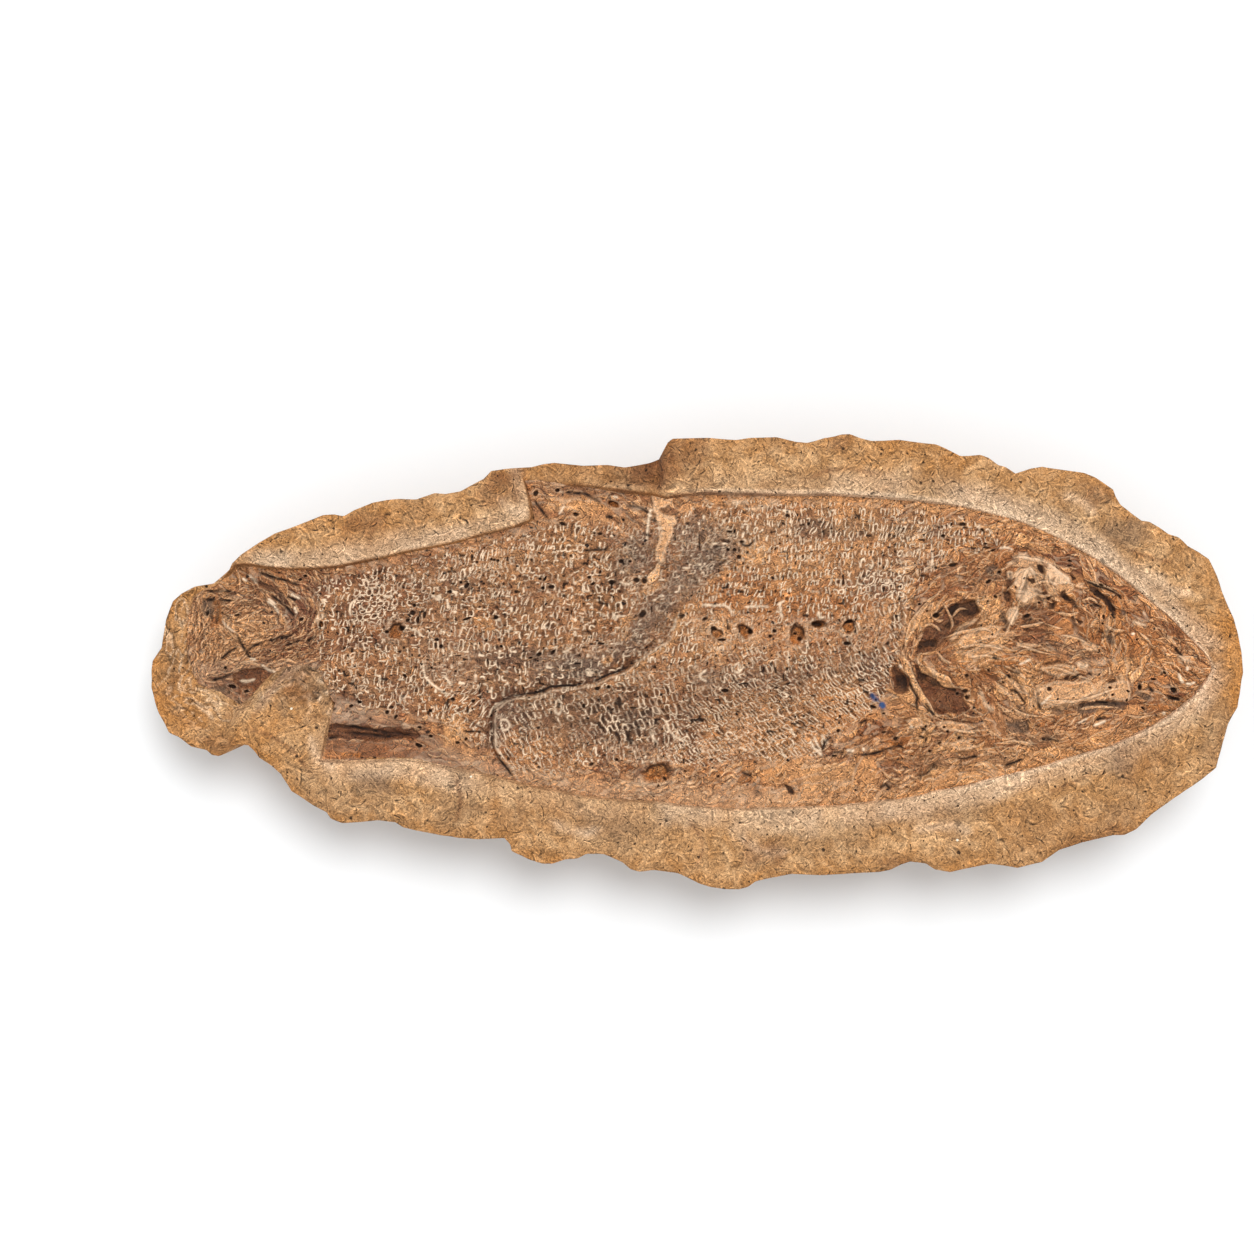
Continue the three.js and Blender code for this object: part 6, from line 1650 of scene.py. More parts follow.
class Bench:
    """Where one material's nodes are put together."""

    def __init__(self, name: str) -> None:
        """Make an empty material.

        Args:
            name: the material's name.
        """
        self.material = bpy.data.materials.new(name)
        self.material.use_nodes = True
        self.tree = self.material.node_tree
        self.tree.nodes.clear()
        self.place = self.node("ShaderNodeTexCoord", {}, {}, "Object")

    def node(self, kind: str, settings: dict, inputs: dict, output: str | int = 0) -> Wire:
        """Add a node.

        Args:
            kind: the node's type.
            settings: its properties, set first.
            inputs: value, colour or wire for each named or numbered socket.
            output: the output wanted.

        Returns:
            That output as a wire.
        """
        made = self.tree.nodes.new(kind)
        for key, value in settings.items():
            setattr(made, key, value)
        for key, value in inputs.items():
            if isinstance(value, Wire):
                self.tree.links.new(value.socket, made.inputs[key])
            else:
                made.inputs[key].default_value = value
        return Wire(self, made.outputs[output] if made.outputs else None)

    def stain(self, stain: Stain) -> Wire:
        """A stain's attribute."""
        return self.node("ShaderNodeAttribute", {"attribute_name": stain.value}, {}, "Fac")

    def noise(self, size: float, detail: float = 3.0, distortion: float = 0.0,
              roughness: float = 0.5) -> Wire:
        """Noise whose lumps are about `size` millimetres across."""
        inputs = {"Vector": self.place, "Scale": 1 / (size * MM), "Detail": detail,
                  "Roughness": roughness, "Distortion": distortion}
        return self.node("ShaderNodeTexNoise", {}, inputs)

    def swirls(self, size: float, turns: float, distortion: float = 0.3) -> Wire:
        """Fingerprint lines, -1 to 1: the sine of a noise that goes through many turns."""
        return (self.noise(size, 1.0, distortion) * (2 * math.pi * turns)).sine()

    def warped(self, size: float, reach_mm: float) -> Wire:
        """The place, pushed about by coloured noise.

        Args:
            size: of the noise.
            reach_mm: the longest push along each axis.

        Returns:
            The place as a vector.
        """
        inputs = {"Vector": self.place, "Scale": 1 / (size * MM), "Detail": 1.0}
        push = self.node("ShaderNodeTexNoise", {}, inputs, "Color")
        middle = self.vector("SUBTRACT", push, (0.5, 0.5, 0.5))
        return self.vector("ADD", self.place, self.vector("SCALE", middle, scale=2 * reach_mm * MM))

    def holes(self, spacing: float, radius: float, share: float) -> Wire:
        """Small uneven holes in a share of the cells of a random grid.

        Args:
            spacing: size of the cells.
            radius: of the holes.
            share: of the cells that have one.

        Returns:
            1 in the holes and 0 elsewhere.
        """
        inputs = {"Vector": self.warped(0.9, 0.5), "Scale": 1 / (spacing * MM)}
        distance = self.node("ShaderNodeTexVoronoi", {}, inputs, "Distance")
        chance = self.node("ShaderNodeTexVoronoi", {}, inputs, "Color")
        picked = self.node("ShaderNodeSeparateColor", {}, {0: chance}, 0).step(share, share - 0.02)
        near = distance.step(radius / spacing, 0.6 * radius / spacing)
        return near * picked

    def strokes(self, spacing: float, reach_mm: float, width: float, share: float,
                shift: float = 0.0) -> Wire:
        """Short bent strokes in a share of the cells of a random grid.

        Each is where the surface cuts a bent shell: the places whose distance along the cell's own random
        direction, less a part of the square of the distance from its middle, is nearly nothing.

        Args:
            spacing: size of the cells.
            reach_mm: how far a stroke reaches from the middle of its cell.
            width: half its width.
            share: of the cells that have one.
            shift: moves the whole grid.

        Returns:
            1 on the strokes, below 0 along one side of each, 0 elsewhere. As a colour factor, that side band
            is painted shade beside a light stroke and painted light beside a dark one.
        """
        place = self.vector("ADD", self.place, (shift * MM, 0.7 * shift * MM, 0.3 * shift * MM))
        inputs = {"Vector": place, "Scale": 1 / (spacing * MM)}
        cell = self.node("ShaderNodeTexVoronoi", {}, inputs, "Position")
        colour = cell.also("Color")
        local = self.vector("SCALE", self.vector("SUBTRACT", place, cell), scale=1 / MM)
        axis = self.vector("NORMALIZE", self.vector("SUBTRACT", colour, (0.5, 0.5, 0.5)))
        away = self.vector("LENGTH", local, output="Value")
        depth = self.vector("DOT_PRODUCT", local, axis, output="Value") - away * away * (0.22 / reach_mm)
        picked = self.node("ShaderNodeSeparateColor", {}, {0: colour}, 0).step(share, share - 0.02)
        core = depth.distance(0.0).step(width, 0.45 * width)
        # the side band: painted shade beside a stroke that lightens the colour, painted light beside one that
        # darkens it
        side = depth.distance(2.0 * width).step(width, 0.3 * width)
        return (core - side * 0.7) * picked * away.step(reach_mm, 0.6 * reach_mm)

    def vector(self, operation: str, first: Wire | tuple, second: Wire | tuple | None = None,
               scale: Wire | float | None = None, output: str | int = 0) -> Wire:
        """Add one Vector Math node."""
        inputs = {k: v for k, v in ((0, first), (1, second), ("Scale", scale)) if v is not None}
        return self.node("ShaderNodeVectorMath", {"operation": operation}, inputs, output)

    def blend(self, mask: Wire | float, under: Wire | tuple, over: Wire | tuple, mode: str = "MIX") -> Wire:
        """One colour over another where the mask is 1."""
        settings = {"data_type": "RGBA", "blend_type": mode, "clamp_factor": True}
        return self.node("ShaderNodeMix", settings, {0: mask, 6: under, 7: over}, 2)

    def scaled(self, colour: Wire, amount: Wire) -> Wire:
        """A colour made lighter or darker."""
        return self.vector("SCALE", colour, scale=amount)

    def finish(self, colour: Wire, roughness: Wire, relief: Wire, depth: float) -> bpy.types.Material:
        """Close the tree with a Principled shader, bumped by the relief.

        Args:
            colour: base colour.
            roughness: surface roughness.
            relief: height of the fine surface, 0 to 1.
            depth: that height in millimetres.

        Returns:
            The material.
        """
        bump = self.node("ShaderNodeBump", {}, {"Strength": 1.0, "Distance": depth * MM, "Height": relief})
        inputs = {"Base Color": colour, "Roughness": roughness, "Normal": bump, "Specular IOR Level": 0.25}
        shader = self.node("ShaderNodeBsdfPrincipled", {}, inputs)
        self.node("ShaderNodeOutputMaterial", {}, {"Surface": shader})
        return self.material


@dataclass(frozen=True)
class StoneFinish:
    """Tan limestone: a fine dark net, curled lines and pits; pale where tooled, orange at its edge."""

    light: Colour = (216, 177, 132)
    body: Colour = (184, 141, 97)
    shade: Colour = (162, 118, 74)
    pale: Colour = (232, 204, 173)
    rust: Colour = (172, 112, 50)
    grey: Colour = (134, 108, 82)
    umber: Colour = (104, 62, 36)
    dark: Colour = (38, 24, 15)
    glint: Colour = (244, 232, 208)

    def make(self) -> bpy.types.Material:
        """Build the material.

        Returns:
            The material.
        """
        b = Bench("matrix_limestone")
        mottle = b.noise(6, 4, 0.8, 0.6)
        grit = b.noise(1.5, 3, 1.2, 0.6)
        net = b.noise(0.58, 1.5, 1.4, 0.55)
        patch = b.noise(2.6, 2, 0.4)
        curl = b.swirls(4.6, 6.5)
        colour = b.blend(mottle.step(0.36, 0.62), linear(self.shade), linear(self.body))
        colour = b.blend(mottle.step(0.5, 0.7) * 0.25, colour, linear(self.light))
        colour = b.blend(b.stain(RUST), colour, linear(self.rust))
        colour = b.blend(b.stain(GREY), colour, linear(self.grey))
        colour = b.blend(b.stain(PALE) * (0.6 + 0.6 * net), colour, linear(self.pale))
        colour = b.blend(b.stain(UMBER), colour, linear(self.umber))
        light_curl = curl.step(0.5, 0.95) * patch.step(0.47, 0.6)
        dark_curl = curl.step(-0.5, -0.95) * patch.step(0.53, 0.42)
        hairs = (b.strokes(2.6, 2.0, 0.2, 0.75) + b.strokes(4.4, 3.4, 0.24, 0.7, 31.0)
                 + b.strokes(1.9, 1.4, 0.15, 0.7, 57.0))
        cuts = b.strokes(2.9, 1.6, 0.17, 0.55, 83.0)
        tone = (net * 2.9 - 0.45) * (grit * 0.6 + 0.7) * (1.0 + light_curl * 0.1 - dark_curl * 0.25)
        # pale hairs with painted shade along one side, and dark cuts with painted light along one side
        colour = b.scaled(colour, tone * (1.0 + hairs * 0.4 - cuts * 0.5))
        colour = b.blend(b.holes(7.0, 0.45, 0.3), colour, linear(self.glint))
        holes = (b.holes(2.4, 0.34, 0.42) + b.holes(5.0, 0.55, 0.45)
                 + (cuts * b.noise(3, 1)).step(0.55, 0.75)).clamped()
        dark = (b.stain(DARK) + holes * 0.9).clamped()
        colour = b.blend(dark, colour, linear(self.dark))
        relief = (net * 0.5 + light_curl * 0.2 - dark_curl * 0.3 - holes * 0.8
                  + grit * 0.5 + hairs * 0.35 - cuts * 0.3)
        return b.finish(colour, 0.82 + 0.12 * net, relief, 0.3)


@dataclass(frozen=True)
class FossilFinish:
    """Brown fossil skin and bone: pale scale edges, grey and rust stains, purple-brown bone."""

    light: Colour = (196, 144, 98)
    body: Colour = (175, 123, 80)
    deep: Colour = (144, 95, 60)
    pale: Colour = (255, 224, 190)
    rust: Colour = (178, 108, 50)
    grey: Colour = (106, 82, 66)
    umber: Colour = (102, 58, 38)
    sand: Colour = (214, 156, 102)
    dark: Colour = (34, 19, 11)
    blue: Colour = (52, 76, 118)

    def make(self) -> bpy.types.Material:
        """Build the material.

        Returns:
            The material.
        """
        b = Bench("fossil_bone")
        mottle = b.noise(5, 5, 0.9, 0.62)
        net = b.noise(0.58, 1.5, 1.6, 0.55)
        patch = b.noise(2.4, 2, 0.4)
        curl = b.swirls(4.0, 6.0)
        grain = b.stain(GRAIN)
        bony = (grain * grain * 6.0).clamped()
        fibre = (grain * 10.0 + (net - 0.5) * 2.0).sine()
        colour = b.blend(mottle.step(0.36, 0.58), linear(self.deep), linear(self.body))
        colour = b.blend(mottle.step(0.54, 0.68) * 0.5, colour, linear(self.light))
        colour = b.blend(b.stain(UMBER), colour, linear(self.umber))
        colour = b.blend(b.stain(RUST), colour, linear(self.rust))
        colour = b.blend(b.stain(GREY), colour, linear(self.grey))
        colour = b.blend(b.stain(SAND), colour, linear(self.sand))
        light_curl = curl.step(0.4, 0.95) * patch.step(0.5, 0.62)
        dark_curl = curl.step(-0.4, -0.95) * patch.step(0.52, 0.4)
        hairs = (b.strokes(1.5, 1.1, 0.12, 0.75) + b.strokes(2.5, 2.0, 0.14, 0.7, 41.0)
                 + b.strokes(1.9, 1.4, 0.12, 0.6, 67.0))
        tone = (net * 3.3 - 0.65) * (1.0 + fibre * 0.2) * (1.0 + light_curl * 0.15 - dark_curl * 0.2)
        # pale hairs with painted shade along one side
        colour = b.scaled(colour, tone * (1.0 + hairs * (0.55 + bony * 0.15)))
        colour = b.blend(b.stain(PALE) * (0.85 + 0.4 * net), colour, linear(self.pale))
        colour = b.blend(b.stain(BLUE), colour, linear(self.blue))
        holes = (b.holes(2.3, 0.36, 0.36) + b.holes(5.0, 0.55, 0.3)).clamped()
        dark = (b.stain(DARK) + holes * 0.85).clamped()
        colour = b.blend(dark, colour, linear(self.dark))
        relief = net * 0.45 + fibre * 0.08 + light_curl * 0.2 - dark_curl * 0.3 - holes * 0.7 + hairs * 0.3
        return b.finish(colour, 0.62 + 0.25 * net, relief, 0.28)


# ---------------------------------------------------------------- the matrix


@dataclass
class Nodule:
    """The half nodule: rim, bevel and trough wall above, chipped side and flat patch below."""

    columns: int = 1150
    wall_rings: int = 9
    rim_rings: int = 34
    side_rings: int = 26
    floor_depth: float = 3.6  # of the trough's floor, below the fish's edge
    base_share: float = 0.56  # of the way in to the middle line, where the flat patch begins
    middle_share: float = 0.6  # the middle line's share of the slab's length
    wall_inset: float = 0.3  # how far inside the trough's edge the wall starts
    wall_reach: float = 1.2  # how far outwards it leans from there

    def pairs(self) -> tuple[Array, Array]:
        """Match points on the trough's edge and the slab's edge, run by run.

        Returns:
            The points on the trough's edge, and those on the slab's edge.
        """
        lengths, lines = [], []
        for i, (edge, trough) in enumerate(RUNS):
            after = RUNS[(i + 1) % len(RUNS)]
            lines.append((np.array([*trough, after[1][0]], float), np.array([*edge, after[0][0]], float)))
            lengths.append(np.hypot(*np.diff(lines[-1][1], axis=0).T).sum())
        counts = np.round(np.array(lengths) / sum(lengths) * self.columns).astype(int)
        counts[1] += self.columns - counts.sum()
        trough = np.vstack([resample(t, n + 1)[:-1] for (t, _), n in zip(lines, counts)])
        edge = np.vstack([resample(e, n + 1)[:-1] for (_, e), n in zip(lines, counts)])
        return trough, edge

    def build(self, landscape: Landscape) -> bpy.types.Object:
        """Make the stone as rings round the trough, from its floor outwards, down and under.

        Args:
            landscape: shared noise and marks.

        Returns:
            The stone's object.
        """
        trough, edge = self.pairs()
        width = np.hypot(*(edge - trough).T)
        out = (edge - trough) / width[:, None]
        broad, fine = landscape.broad, landscape.fine
        rings, stages = [], []

        def add(place: Array, z: Array, stage: float) -> None:
            """Keep one ring."""
            rings.append(np.column_stack([place, z]))
            stages.append(np.full(len(place), stage))

        add(trough - 2.5 * out, fish_edge(trough[:, 0]) - self.floor_depth, -1)
        add(trough - 0.45 * out, fish_edge(trough[:, 0]) - 1.0, -1)
        for k in range(self.wall_rings):
            t = k / (self.wall_rings - 1)
            add(trough + out * (self.wall_reach * t - self.wall_inset), fish_edge(trough[:, 0]), t)
        start = (self.wall_reach - self.wall_inset) / width
        for k in range(1, self.rim_rings + 1):
            t = (k / self.rim_rings) ** 0.92
            add(trough + (edge - trough) * (start + (1 - start) * t)[:, None], np.zeros(len(edge)), 2)
        for s, h in self.side_profile():
            lumps = np.abs(broad.cloud(edge[:, 0], edge[:, 1] + 60 * h, 9, 3))
            chip = 0.010 * lumps * min(1.0, 6 * h, 8 * s + 0.3)
            middle = np.column_stack([edge[:, 0] * self.middle_share, np.zeros(len(edge))])
            place = edge + (middle - edge) * (s + chip)[:, None]
            level = np.maximum(0, split_face(edge[:, 0]) * h)
            rough = 0.9 * fine.cloud(edge[:, 0], edge[:, 1] + 90 * h, 3.5, 3) * min(1.0, 12 * h)
            add(place, np.maximum(level + rough, 0), 3)
        points = np.vstack(rings)
        stage = np.concatenate(stages)
        ground = Ground(points[:, 0], points[:, 1])
        self.carve(ground, points, stage, trough, edge, landscape)
        quads = grid_quads(len(rings), len(trough), closed=True)[:, ::-1]
        last = (len(rings) - 1) * len(trough)
        caps = [np.arange(len(trough)), np.arange(last, last + len(trough))[::-1]]
        return Solid("matrix_stone", points, quads, caps, ground.stains, len(quads)).build()

    def side_profile(self) -> list[tuple[float, float]]:
        """Profile of the side.

        Returns:
            For each ring, its share of the way in to the middle line, and its share of the rim's height.
        """
        angles = np.linspace(0, 1, self.side_rings + 1)[1:]
        inward = self.base_share * (0.02 * angles + 0.98 * angles**2.6)
        height = 0.9 * (1 - angles) ** 0.8 * (1 - 0.25 * angles)
        return list(zip(inward.tolist(), height.tolist()))

    def carve(self, ground: Ground, points: Array, stage: Array, trough: Array, edge: Array,
              landscape: Landscape) -> None:
        """Set the rim's heights and stains.

        Args:
            ground: the stone's places.
            points: their x, y and z, changed here.
            stage: -1 on the floor, 0 to 1 up the wall, 2 on the rim, 3 on the side.
            trough, edge: the two outlines.
            landscape: shared noise.
        """
        x, y = ground.x, ground.y
        broad, fine = landscape.broad, landscape.fine
        turns = len(stage) // len(trough)
        away = np.hypot(x - np.tile(trough[:, 0], turns), y - np.tile(trough[:, 1], turns))
        to_edge = np.hypot(x - np.tile(edge[:, 0], turns), y - np.tile(edge[:, 1], turns))
        face = split_face(x)
        low_rim = self.low_rim(x, y)
        drop = BEVEL_DROP + 1.6 * self.tooled(x, y)
        bevel = drop * (1 - ramp(away, 0.8, BEVEL_WIDTH + 1.5 * broad.at(x, y, 11)))
        lumps = 0.55 * broad.cloud(x, y, 12, 3) + 0.3 * fine.cloud(x, y, 3.2, 3) * ramp(away, 1, 5)
        chipped = 1 - ramp(to_edge, 0, 3.5 + 2.5 * broad.at(x, y, 8))
        chips = 2.2 * chipped * (0.6 + 0.4 * fine.cloud(x, y, 4, 2))
        rim = face - bevel + lumps - np.maximum(chips, 0) - low_rim
        rim = np.maximum(rim, fish_edge(x) + 0.25 + 0.25 * fine.cloud(x, y, 3, 3))
        on_rim = stage == 2
        points[on_rim, 2] = rim[on_rim]
        on_wall = (stage >= 0) & (stage <= 1)
        climb = ramp(stage, 0.05, 0.95)
        wall_top = np.maximum(face - drop - low_rim + lumps * 0.5, fish_edge(x) + 0.2)
        foot = fish_edge(x) - 0.35
        wall = foot + climb * (wall_top - fish_edge(x) + 0.35) + 0.15 * fine.cloud(x, y, 1.6, 2)
        points[on_wall, 2] = wall[on_wall]
        self.stain(ground, stage, away, to_edge, landscape)

    def low_rim(self, x: Array, y: Array) -> Array:
        """How far the rim is broken or worn below the split face.

        Args:
            x, y: places.

        Returns:
            Millimetres for each place.
        """
        behind_break = 3.2 * ramp(-x, 8.5, 10.5) * ramp(y, 47.5, 50.5) * ramp(x, -52, -42)
        notch = 4.2 * (1 - ramp(np.hypot((x + 110) / 1.5, y + 6), 6, 15))
        tail = 3.8 * ramp(-x, 124, 132) * (1 - ramp(np.abs(y - 2), 17, 25))
        return np.maximum(behind_break, np.maximum(notch, tail))

    def stain(self, ground: Ground, stage: Array, away: Array, to_edge: Array, landscape: Landscape) -> None:
        """Colour the stone: pale bevel, brown wall with painted shade on its upper side, painted light on
        parts of the wall, orange edge, grey stains.

        Args:
            ground: the stone's places, changed here.
            stage: as in carve.
            away: distance from the trough's edge.
            to_edge: distance from the slab's edge.
            landscape: shared noise and marks.
        """
        x, y = ground.x, ground.y
        broad = landscape.broad
        top = (stage >= 0) & (stage < 2.5)
        patchy = 0.75 + 0.45 * broad.cloud(x, y, 6, 3)
        tooled = self.tooled(x, y)
        above = ramp(y, -4, 12)
        throat = 1 - 0.35 * ramp(x, 84, 100) * ramp(-y, 14, 24)
        near = 1 - ramp(away, 3.0, 8.6 + 2.5 * broad.at(x, y, 9))
        pale = throat * near * ramp(away, 0.7 * above - 0.3, above + 0.2) * tooled
        ground.paint(PALE, np.where(top, 0.74 * pale * patchy * (1 - ramp(self.low_rim(x, y), 0.5, 2)), 0))
        worn = 1 - ramp(self.low_rim(x, y), 0.5, 3)
        # painted shade: the trough's wall and the rim beside it are brown and dark on the upper side, less
        # towards the snout, with brown by chance all round
        shade_and_brown = 0.5 * above * (1 - 0.75 * ramp(x, 10, 60)) + 0.25 * broad.at(x, y, 5)
        brown = (1 - ramp(away, 0.7, 1.3)) * shade_and_brown * worn
        ground.paint(UMBER, np.where(top, brown * ramp(stage, -0.5, 0.0), 0))
        rusty = 0.3 * above * (1 - ramp(away, 0.7, 1.5)) * worn * (1 - ramp(x, 10, 60))
        ground.paint(RUST, np.where(top, rusty, 0))
        # painted light: pale on the wall, on the upper side from the middle forwards and on the lower side
        # along the head
        painted_wall_light = above * ramp(x, -10, 10) + (1 - above) * ramp(x, 60, 90)
        ground.paint(PALE, np.where(top, 0.5 * painted_wall_light * (1 - ramp(away, 1.0, 2.4)), 0))
        landscape.fibres(ground, 0.9 * top * (1 - worn) * ramp(-x, 96, 102) * (1 - ramp(away, 5, 14)))
        notch = 0.5 * top * (1 - worn) * ramp(-x, 98, 102) * ramp(x, -128, -124)
        ground.paint(GREY, notch * ramp(broad.cloud(x, y, 6, 2), 0, 0.4))
        ground.paint(RUST, 0.34 * (1 - ramp(to_edge, 0.5, 5)) * (0.8 + 0.6 * broad.cloud(x, y, 8, 3)))
        ground.paint(RUST, 0.2 * ramp(-x, 132, 142) * top)
        ground.paint(GREY, 0.36 * ramp(broad.cloud(x + 200, y, 20, 4), 0.15, 0.5))
        ground.paint(RUST, 0.3 * ramp(broad.cloud(x - 200, y, 14, 4), 0.1, 0.5))
        rim = Ground(x[top], y[top])
        landscape.draw(rim, RIM_AREAS + RIM_MARKS)
        for stain in (GREY, UMBER, PALE, RUST):
            ground.paint(stain, rim.stains[stain], top)

    def tooled(self, x: Array, y: Array) -> Array:
        """How freshly the bevel is tooled: most along the head and along parts of back and belly.

        Args:
            x, y: places.

        Returns:
            0 to 1 for each place.
        """
        below = 0.8 * ramp(x, 10, 50) * ramp(-y, 0, 6)
        above = ramp(x, 60, 76) * ramp(y, 0, 6)
        back = 0.85 * ramp(-x, 40, 50) * ramp(x, -128, -118) * ramp(y, 20, 24)
        belly = 0.7 * ramp(-x, 52, 64) * ramp(x, -106, -98) * ramp(-y, 24, 27)
        elsewhere = np.full_like(x, 0.2)
        return np.clip(np.maximum.reduce([below, above, back, belly, elsewhere]), 0, 1)


# ---------------------------------------------------------------- the fish


@dataclass
class Sheet:
    """A relief over four edges, in pieces from its bottom to its top.

    Each piece is closed by a skirt and an underside.
    """

    names: tuple[str, ...]
    bottom: Array
    top: Array
    left: Array
    right: Array
    columns: int
    rows: int  # of each piece
    under: float = 3.0  # depth of the underside below the fish's edge

    def build(self, landscape: Landscape) -> list[bpy.types.Object]:
        """Model the relief and close its pieces.

        Args:
            landscape: what gives the heights and stains.

        Returns:
            The pieces' objects.
        """
        rows = len(self.names) * (self.rows - 1) + 1
        x, y = coons(resample(self.bottom, self.columns), resample(self.top, self.columns),
                     resample(self.left, rows), resample(self.right, rows))
        made = []
        for i, name in enumerate(self.names):
            part = slice(i * (self.rows - 1), (i + 1) * (self.rows - 1) + 1)
            made.append(self.piece(name, x[part], y[part], landscape))
        return made

    def piece(self, name: str, x: Array, y: Array, landscape: Landscape) -> bpy.types.Object:
        """Close one piece: relief on top, a skirt down from its edge, and one flat face below.

        Args:
            name: the piece's name.
            x, y: the grid's places.
            landscape: what gives the heights and stains.

        Returns:
            The piece's object.
        """
        turned = np.mean(np.diff(x, axis=1)[:-1] * np.diff(y, axis=0)[:, :-1]
                         - np.diff(y, axis=1)[:-1] * np.diff(x, axis=0)[:, :-1]) < 0
        ground = Ground(x, y)
        landscape.shape(ground)
        top = np.stack([x, y, ground.height], axis=-1).reshape(-1, 3)
        index = np.arange(self.rows * self.columns).reshape(self.rows, self.columns)
        loop = np.concatenate([index[0, :-1], index[:-1, -1], index[-1, :0:-1], index[:0:-1, 0]])
        quads = grid_quads(self.rows, self.columns)
        if turned:
            loop, quads = loop[::-1], quads[:, ::-1]
        low = top[loop].copy()
        low[:, 2] = fish_edge(low[:, 0]) - self.under
        below = len(top) + np.arange(len(loop))
        skirt = np.stack([np.roll(loop, -1), loop, below, np.roll(below, -1)], axis=-1)
        stains = {s: np.concatenate([v.ravel(), v.ravel()[loop]]) for s, v in ground.stains.items()}
        points = np.vstack([top, low])
        return Solid(name, points, np.vstack([quads, skirt]), [below[::-1]], stains, len(quads)).build()


@dataclass
class Fish:
    """The fossil fish: where its pieces part."""

    def sheets(self) -> list[Sheet]:
        """Set out the sheets.

        Returns:
            The sheets, from tail to snout and then the fins.
        """
        back, belly = smooth_route(BACK, 0.5), smooth_route(BELLY, 0.5)
        crack, gill = smooth_route(CRACK, 0.5), smooth_route(GILL, 0.5)
        root = smooth_route(TAIL_ROOT, 0.5)
        low_tip, high_tip = (-126.3, -12.8), (-127, 26.8)
        tail = smooth_route([TAIL_ROOT[0], (-112, -1.4), (-117, -4.2), (-121, -8), low_tip], 0.5)
        rear = smooth_route([low_tip, (-130, -11.2), (-134, -8.8), (-138.4, -6.2), (-140, -3), (-140.2, 4),
                             (-139.8, 12), (-137.6, 18.4), (-132, 21.3), (-129, 24), high_tip], 0.5)
        upper = smooth_route([TAIL_ROOT[-1], (-112, 25.4), (-118, 25.9), high_tip], 0.5)
        snout = np.array([BELLY[-1], (141.3, -2), BACK[-1]])
        fin_rear, fin_front = (-44.4, 39.2), (-6, 45.8)
        fin_edge = smooth_route([(-47.1, 50.2), (-42, 49.9), (-29, 48.3), (-16, 46.3), (-6.2, 46.6)], 0.5)
        anal_rear, anal_front = (-99.5, -11.5), (-64, -29.6)
        anal_edge = smooth_route([(-103.3, -27.5), (-90, -27.6), (-78, -27.5), (-70, -28.9),
                                  (-64.2, -30.6)], 0.5)
        return [
            Sheet(("tail_fan",), tail, upper, root, rear, 210, 300),
            Sheet(("rear_flank_lower", "rear_flank_upper"), between(belly, TAIL_ROOT[0], CRACK[0]),
                  between(back, TAIL_ROOT[-1], CRACK[-1]), root, crack, 470, 205),
            Sheet(("front_flank_lower", "front_flank_upper"), between(belly, CRACK[0], GILL[0]),
                  between(back, CRACK[-1], GILL[-1]), crack, gill, 480, 200),
            Sheet(("head_lower", "head_upper"), between(belly, GILL[0], BELLY[-1]),
                  between(back, GILL[-1], BACK[-1]), gill, snout, 400, 205),
            Sheet(("back_fin",), between(back, fin_rear, fin_front), fin_edge,
                  np.array([fin_rear, (-45.2, 44), (-47.1, 50.2)]),
                  np.array([fin_front, (-6.2, 46.6)]), 220, 64),
            Sheet(("anal_fin",), anal_edge, between(belly, anal_rear, anal_front),
                  np.array([(-103.3, -27.5), (-102, -19), anal_rear]),
                  np.array([(-64.2, -30.6), anal_front]), 220, 90),
        ]


# ---------------------------------------------------------------- studio


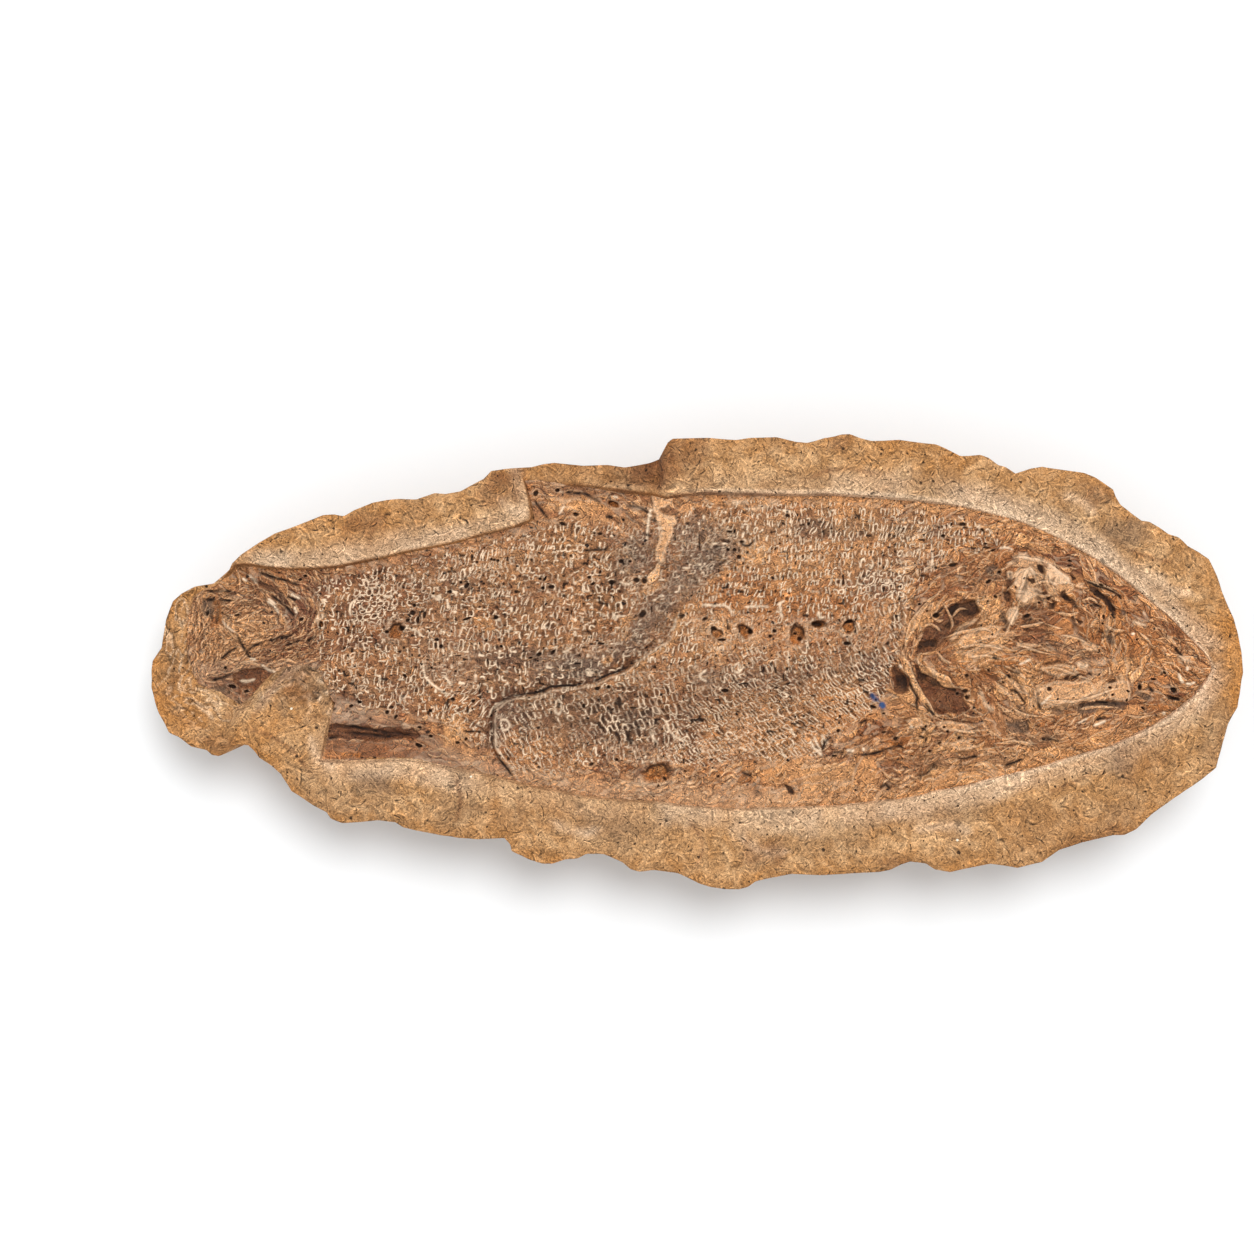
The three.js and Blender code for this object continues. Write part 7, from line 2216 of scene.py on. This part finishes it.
@dataclass
class Studio:
    """Camera, soft light and pale floor."""

    camera_at: Point = (-18.8, 9.5)
    camera_height: float = 960.0
    lens: float = 97.05
    sensor: float = 36.0
    sun_strength: float = 1.66
    sun_spread: float = 27.0  # degrees: how soft the shadows are
    sun_turn: Point = (-19.0, 8.0)  # degrees about X and Y
    sky: float = 0.86
    floor_half: float = 3.0  # metres
    floor_tint: tuple[float, float, float, float] = (0.835, 0.855, 0.868, 1.0)

    def build(self) -> None:
        """Set up everything round the specimen."""
        self.add_camera()
        self.add_light()
        self.add_floor()

    def add_camera(self) -> None:
        """A camera that looks straight down."""
        data = bpy.data.cameras.new("camera")
        data.lens, data.sensor_width = self.lens, self.sensor
        camera = bpy.data.objects.new("camera", data)
        camera.location = (self.camera_at[0] * MM, self.camera_at[1] * MM, self.camera_height * MM)
        bpy.context.scene.collection.objects.link(camera)
        bpy.context.scene.camera = camera

    def add_light(self) -> None:
        """A broad soft key from behind the fish's back, and an even white surround."""
        data = bpy.data.lights.new("key", "SUN")
        data.energy, data.angle = self.sun_strength, math.radians(self.sun_spread)
        key = bpy.data.objects.new("key", data)
        key.rotation_euler = (math.radians(self.sun_turn[0]), math.radians(self.sun_turn[1]), 0)
        bpy.context.scene.collection.objects.link(key)
        world = bpy.data.worlds.new("studio")
        world.use_nodes = True
        sky = world.node_tree.nodes["Background"]
        sky.inputs["Color"].default_value = (1, 1, 1, 1)
        sky.inputs["Strength"].default_value = self.sky
        bpy.context.scene.world = world
        bpy.context.scene.view_settings.view_transform = "Standard"

    def add_floor(self) -> None:
        """A plain white floor."""
        half = self.floor_half
        mesh = bpy.data.meshes.new("floor")
        corners = [(-half, -half, 0), (half, -half, 0), (half, half, 0), (-half, half, 0)]
        mesh.from_pydata(corners, [], [(0, 1, 2, 3)])
        floor = bpy.data.objects.new("floor", mesh)
        bpy.context.scene.collection.objects.link(floor)
        bench = Bench("floor_white")
        inputs = {"Base Color": self.floor_tint, "Roughness": 0.9, "Specular IOR Level": 0.1}
        shader = bench.node("ShaderNodeBsdfPrincipled", {}, inputs)
        bench.node("ShaderNodeOutputMaterial", {}, {"Surface": shader})
        mesh.materials.append(bench.material)


def register(piece: bpy.types.Object, node: str, material: bpy.types.Material) -> None:
    """Dress a piece and say which node it stands for.

    Args:
        piece: the object.
        node: the node that it replaces.
        material: its finish.
    """
    piece.data.materials.append(material)
    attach(piece, "root")
    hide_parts(node)
    LOG.info("%s: %d points", piece.name, len(piece.data.vertices))


def main() -> None:
    """Build the studio, the stone and the fish."""
    logging.basicConfig(level=logging.INFO, format="%(name)s %(message)s")
    Studio().build()
    landscape = Landscape()
    register(Nodule().build(landscape), "matrix", StoneFinish().make())
    fossil = FossilFinish().make()
    for sheet in Fish().sheets():
        for piece in sheet.build(landscape):
            register(piece, "fish", fossil)


if __name__ == "__main__":
    main()
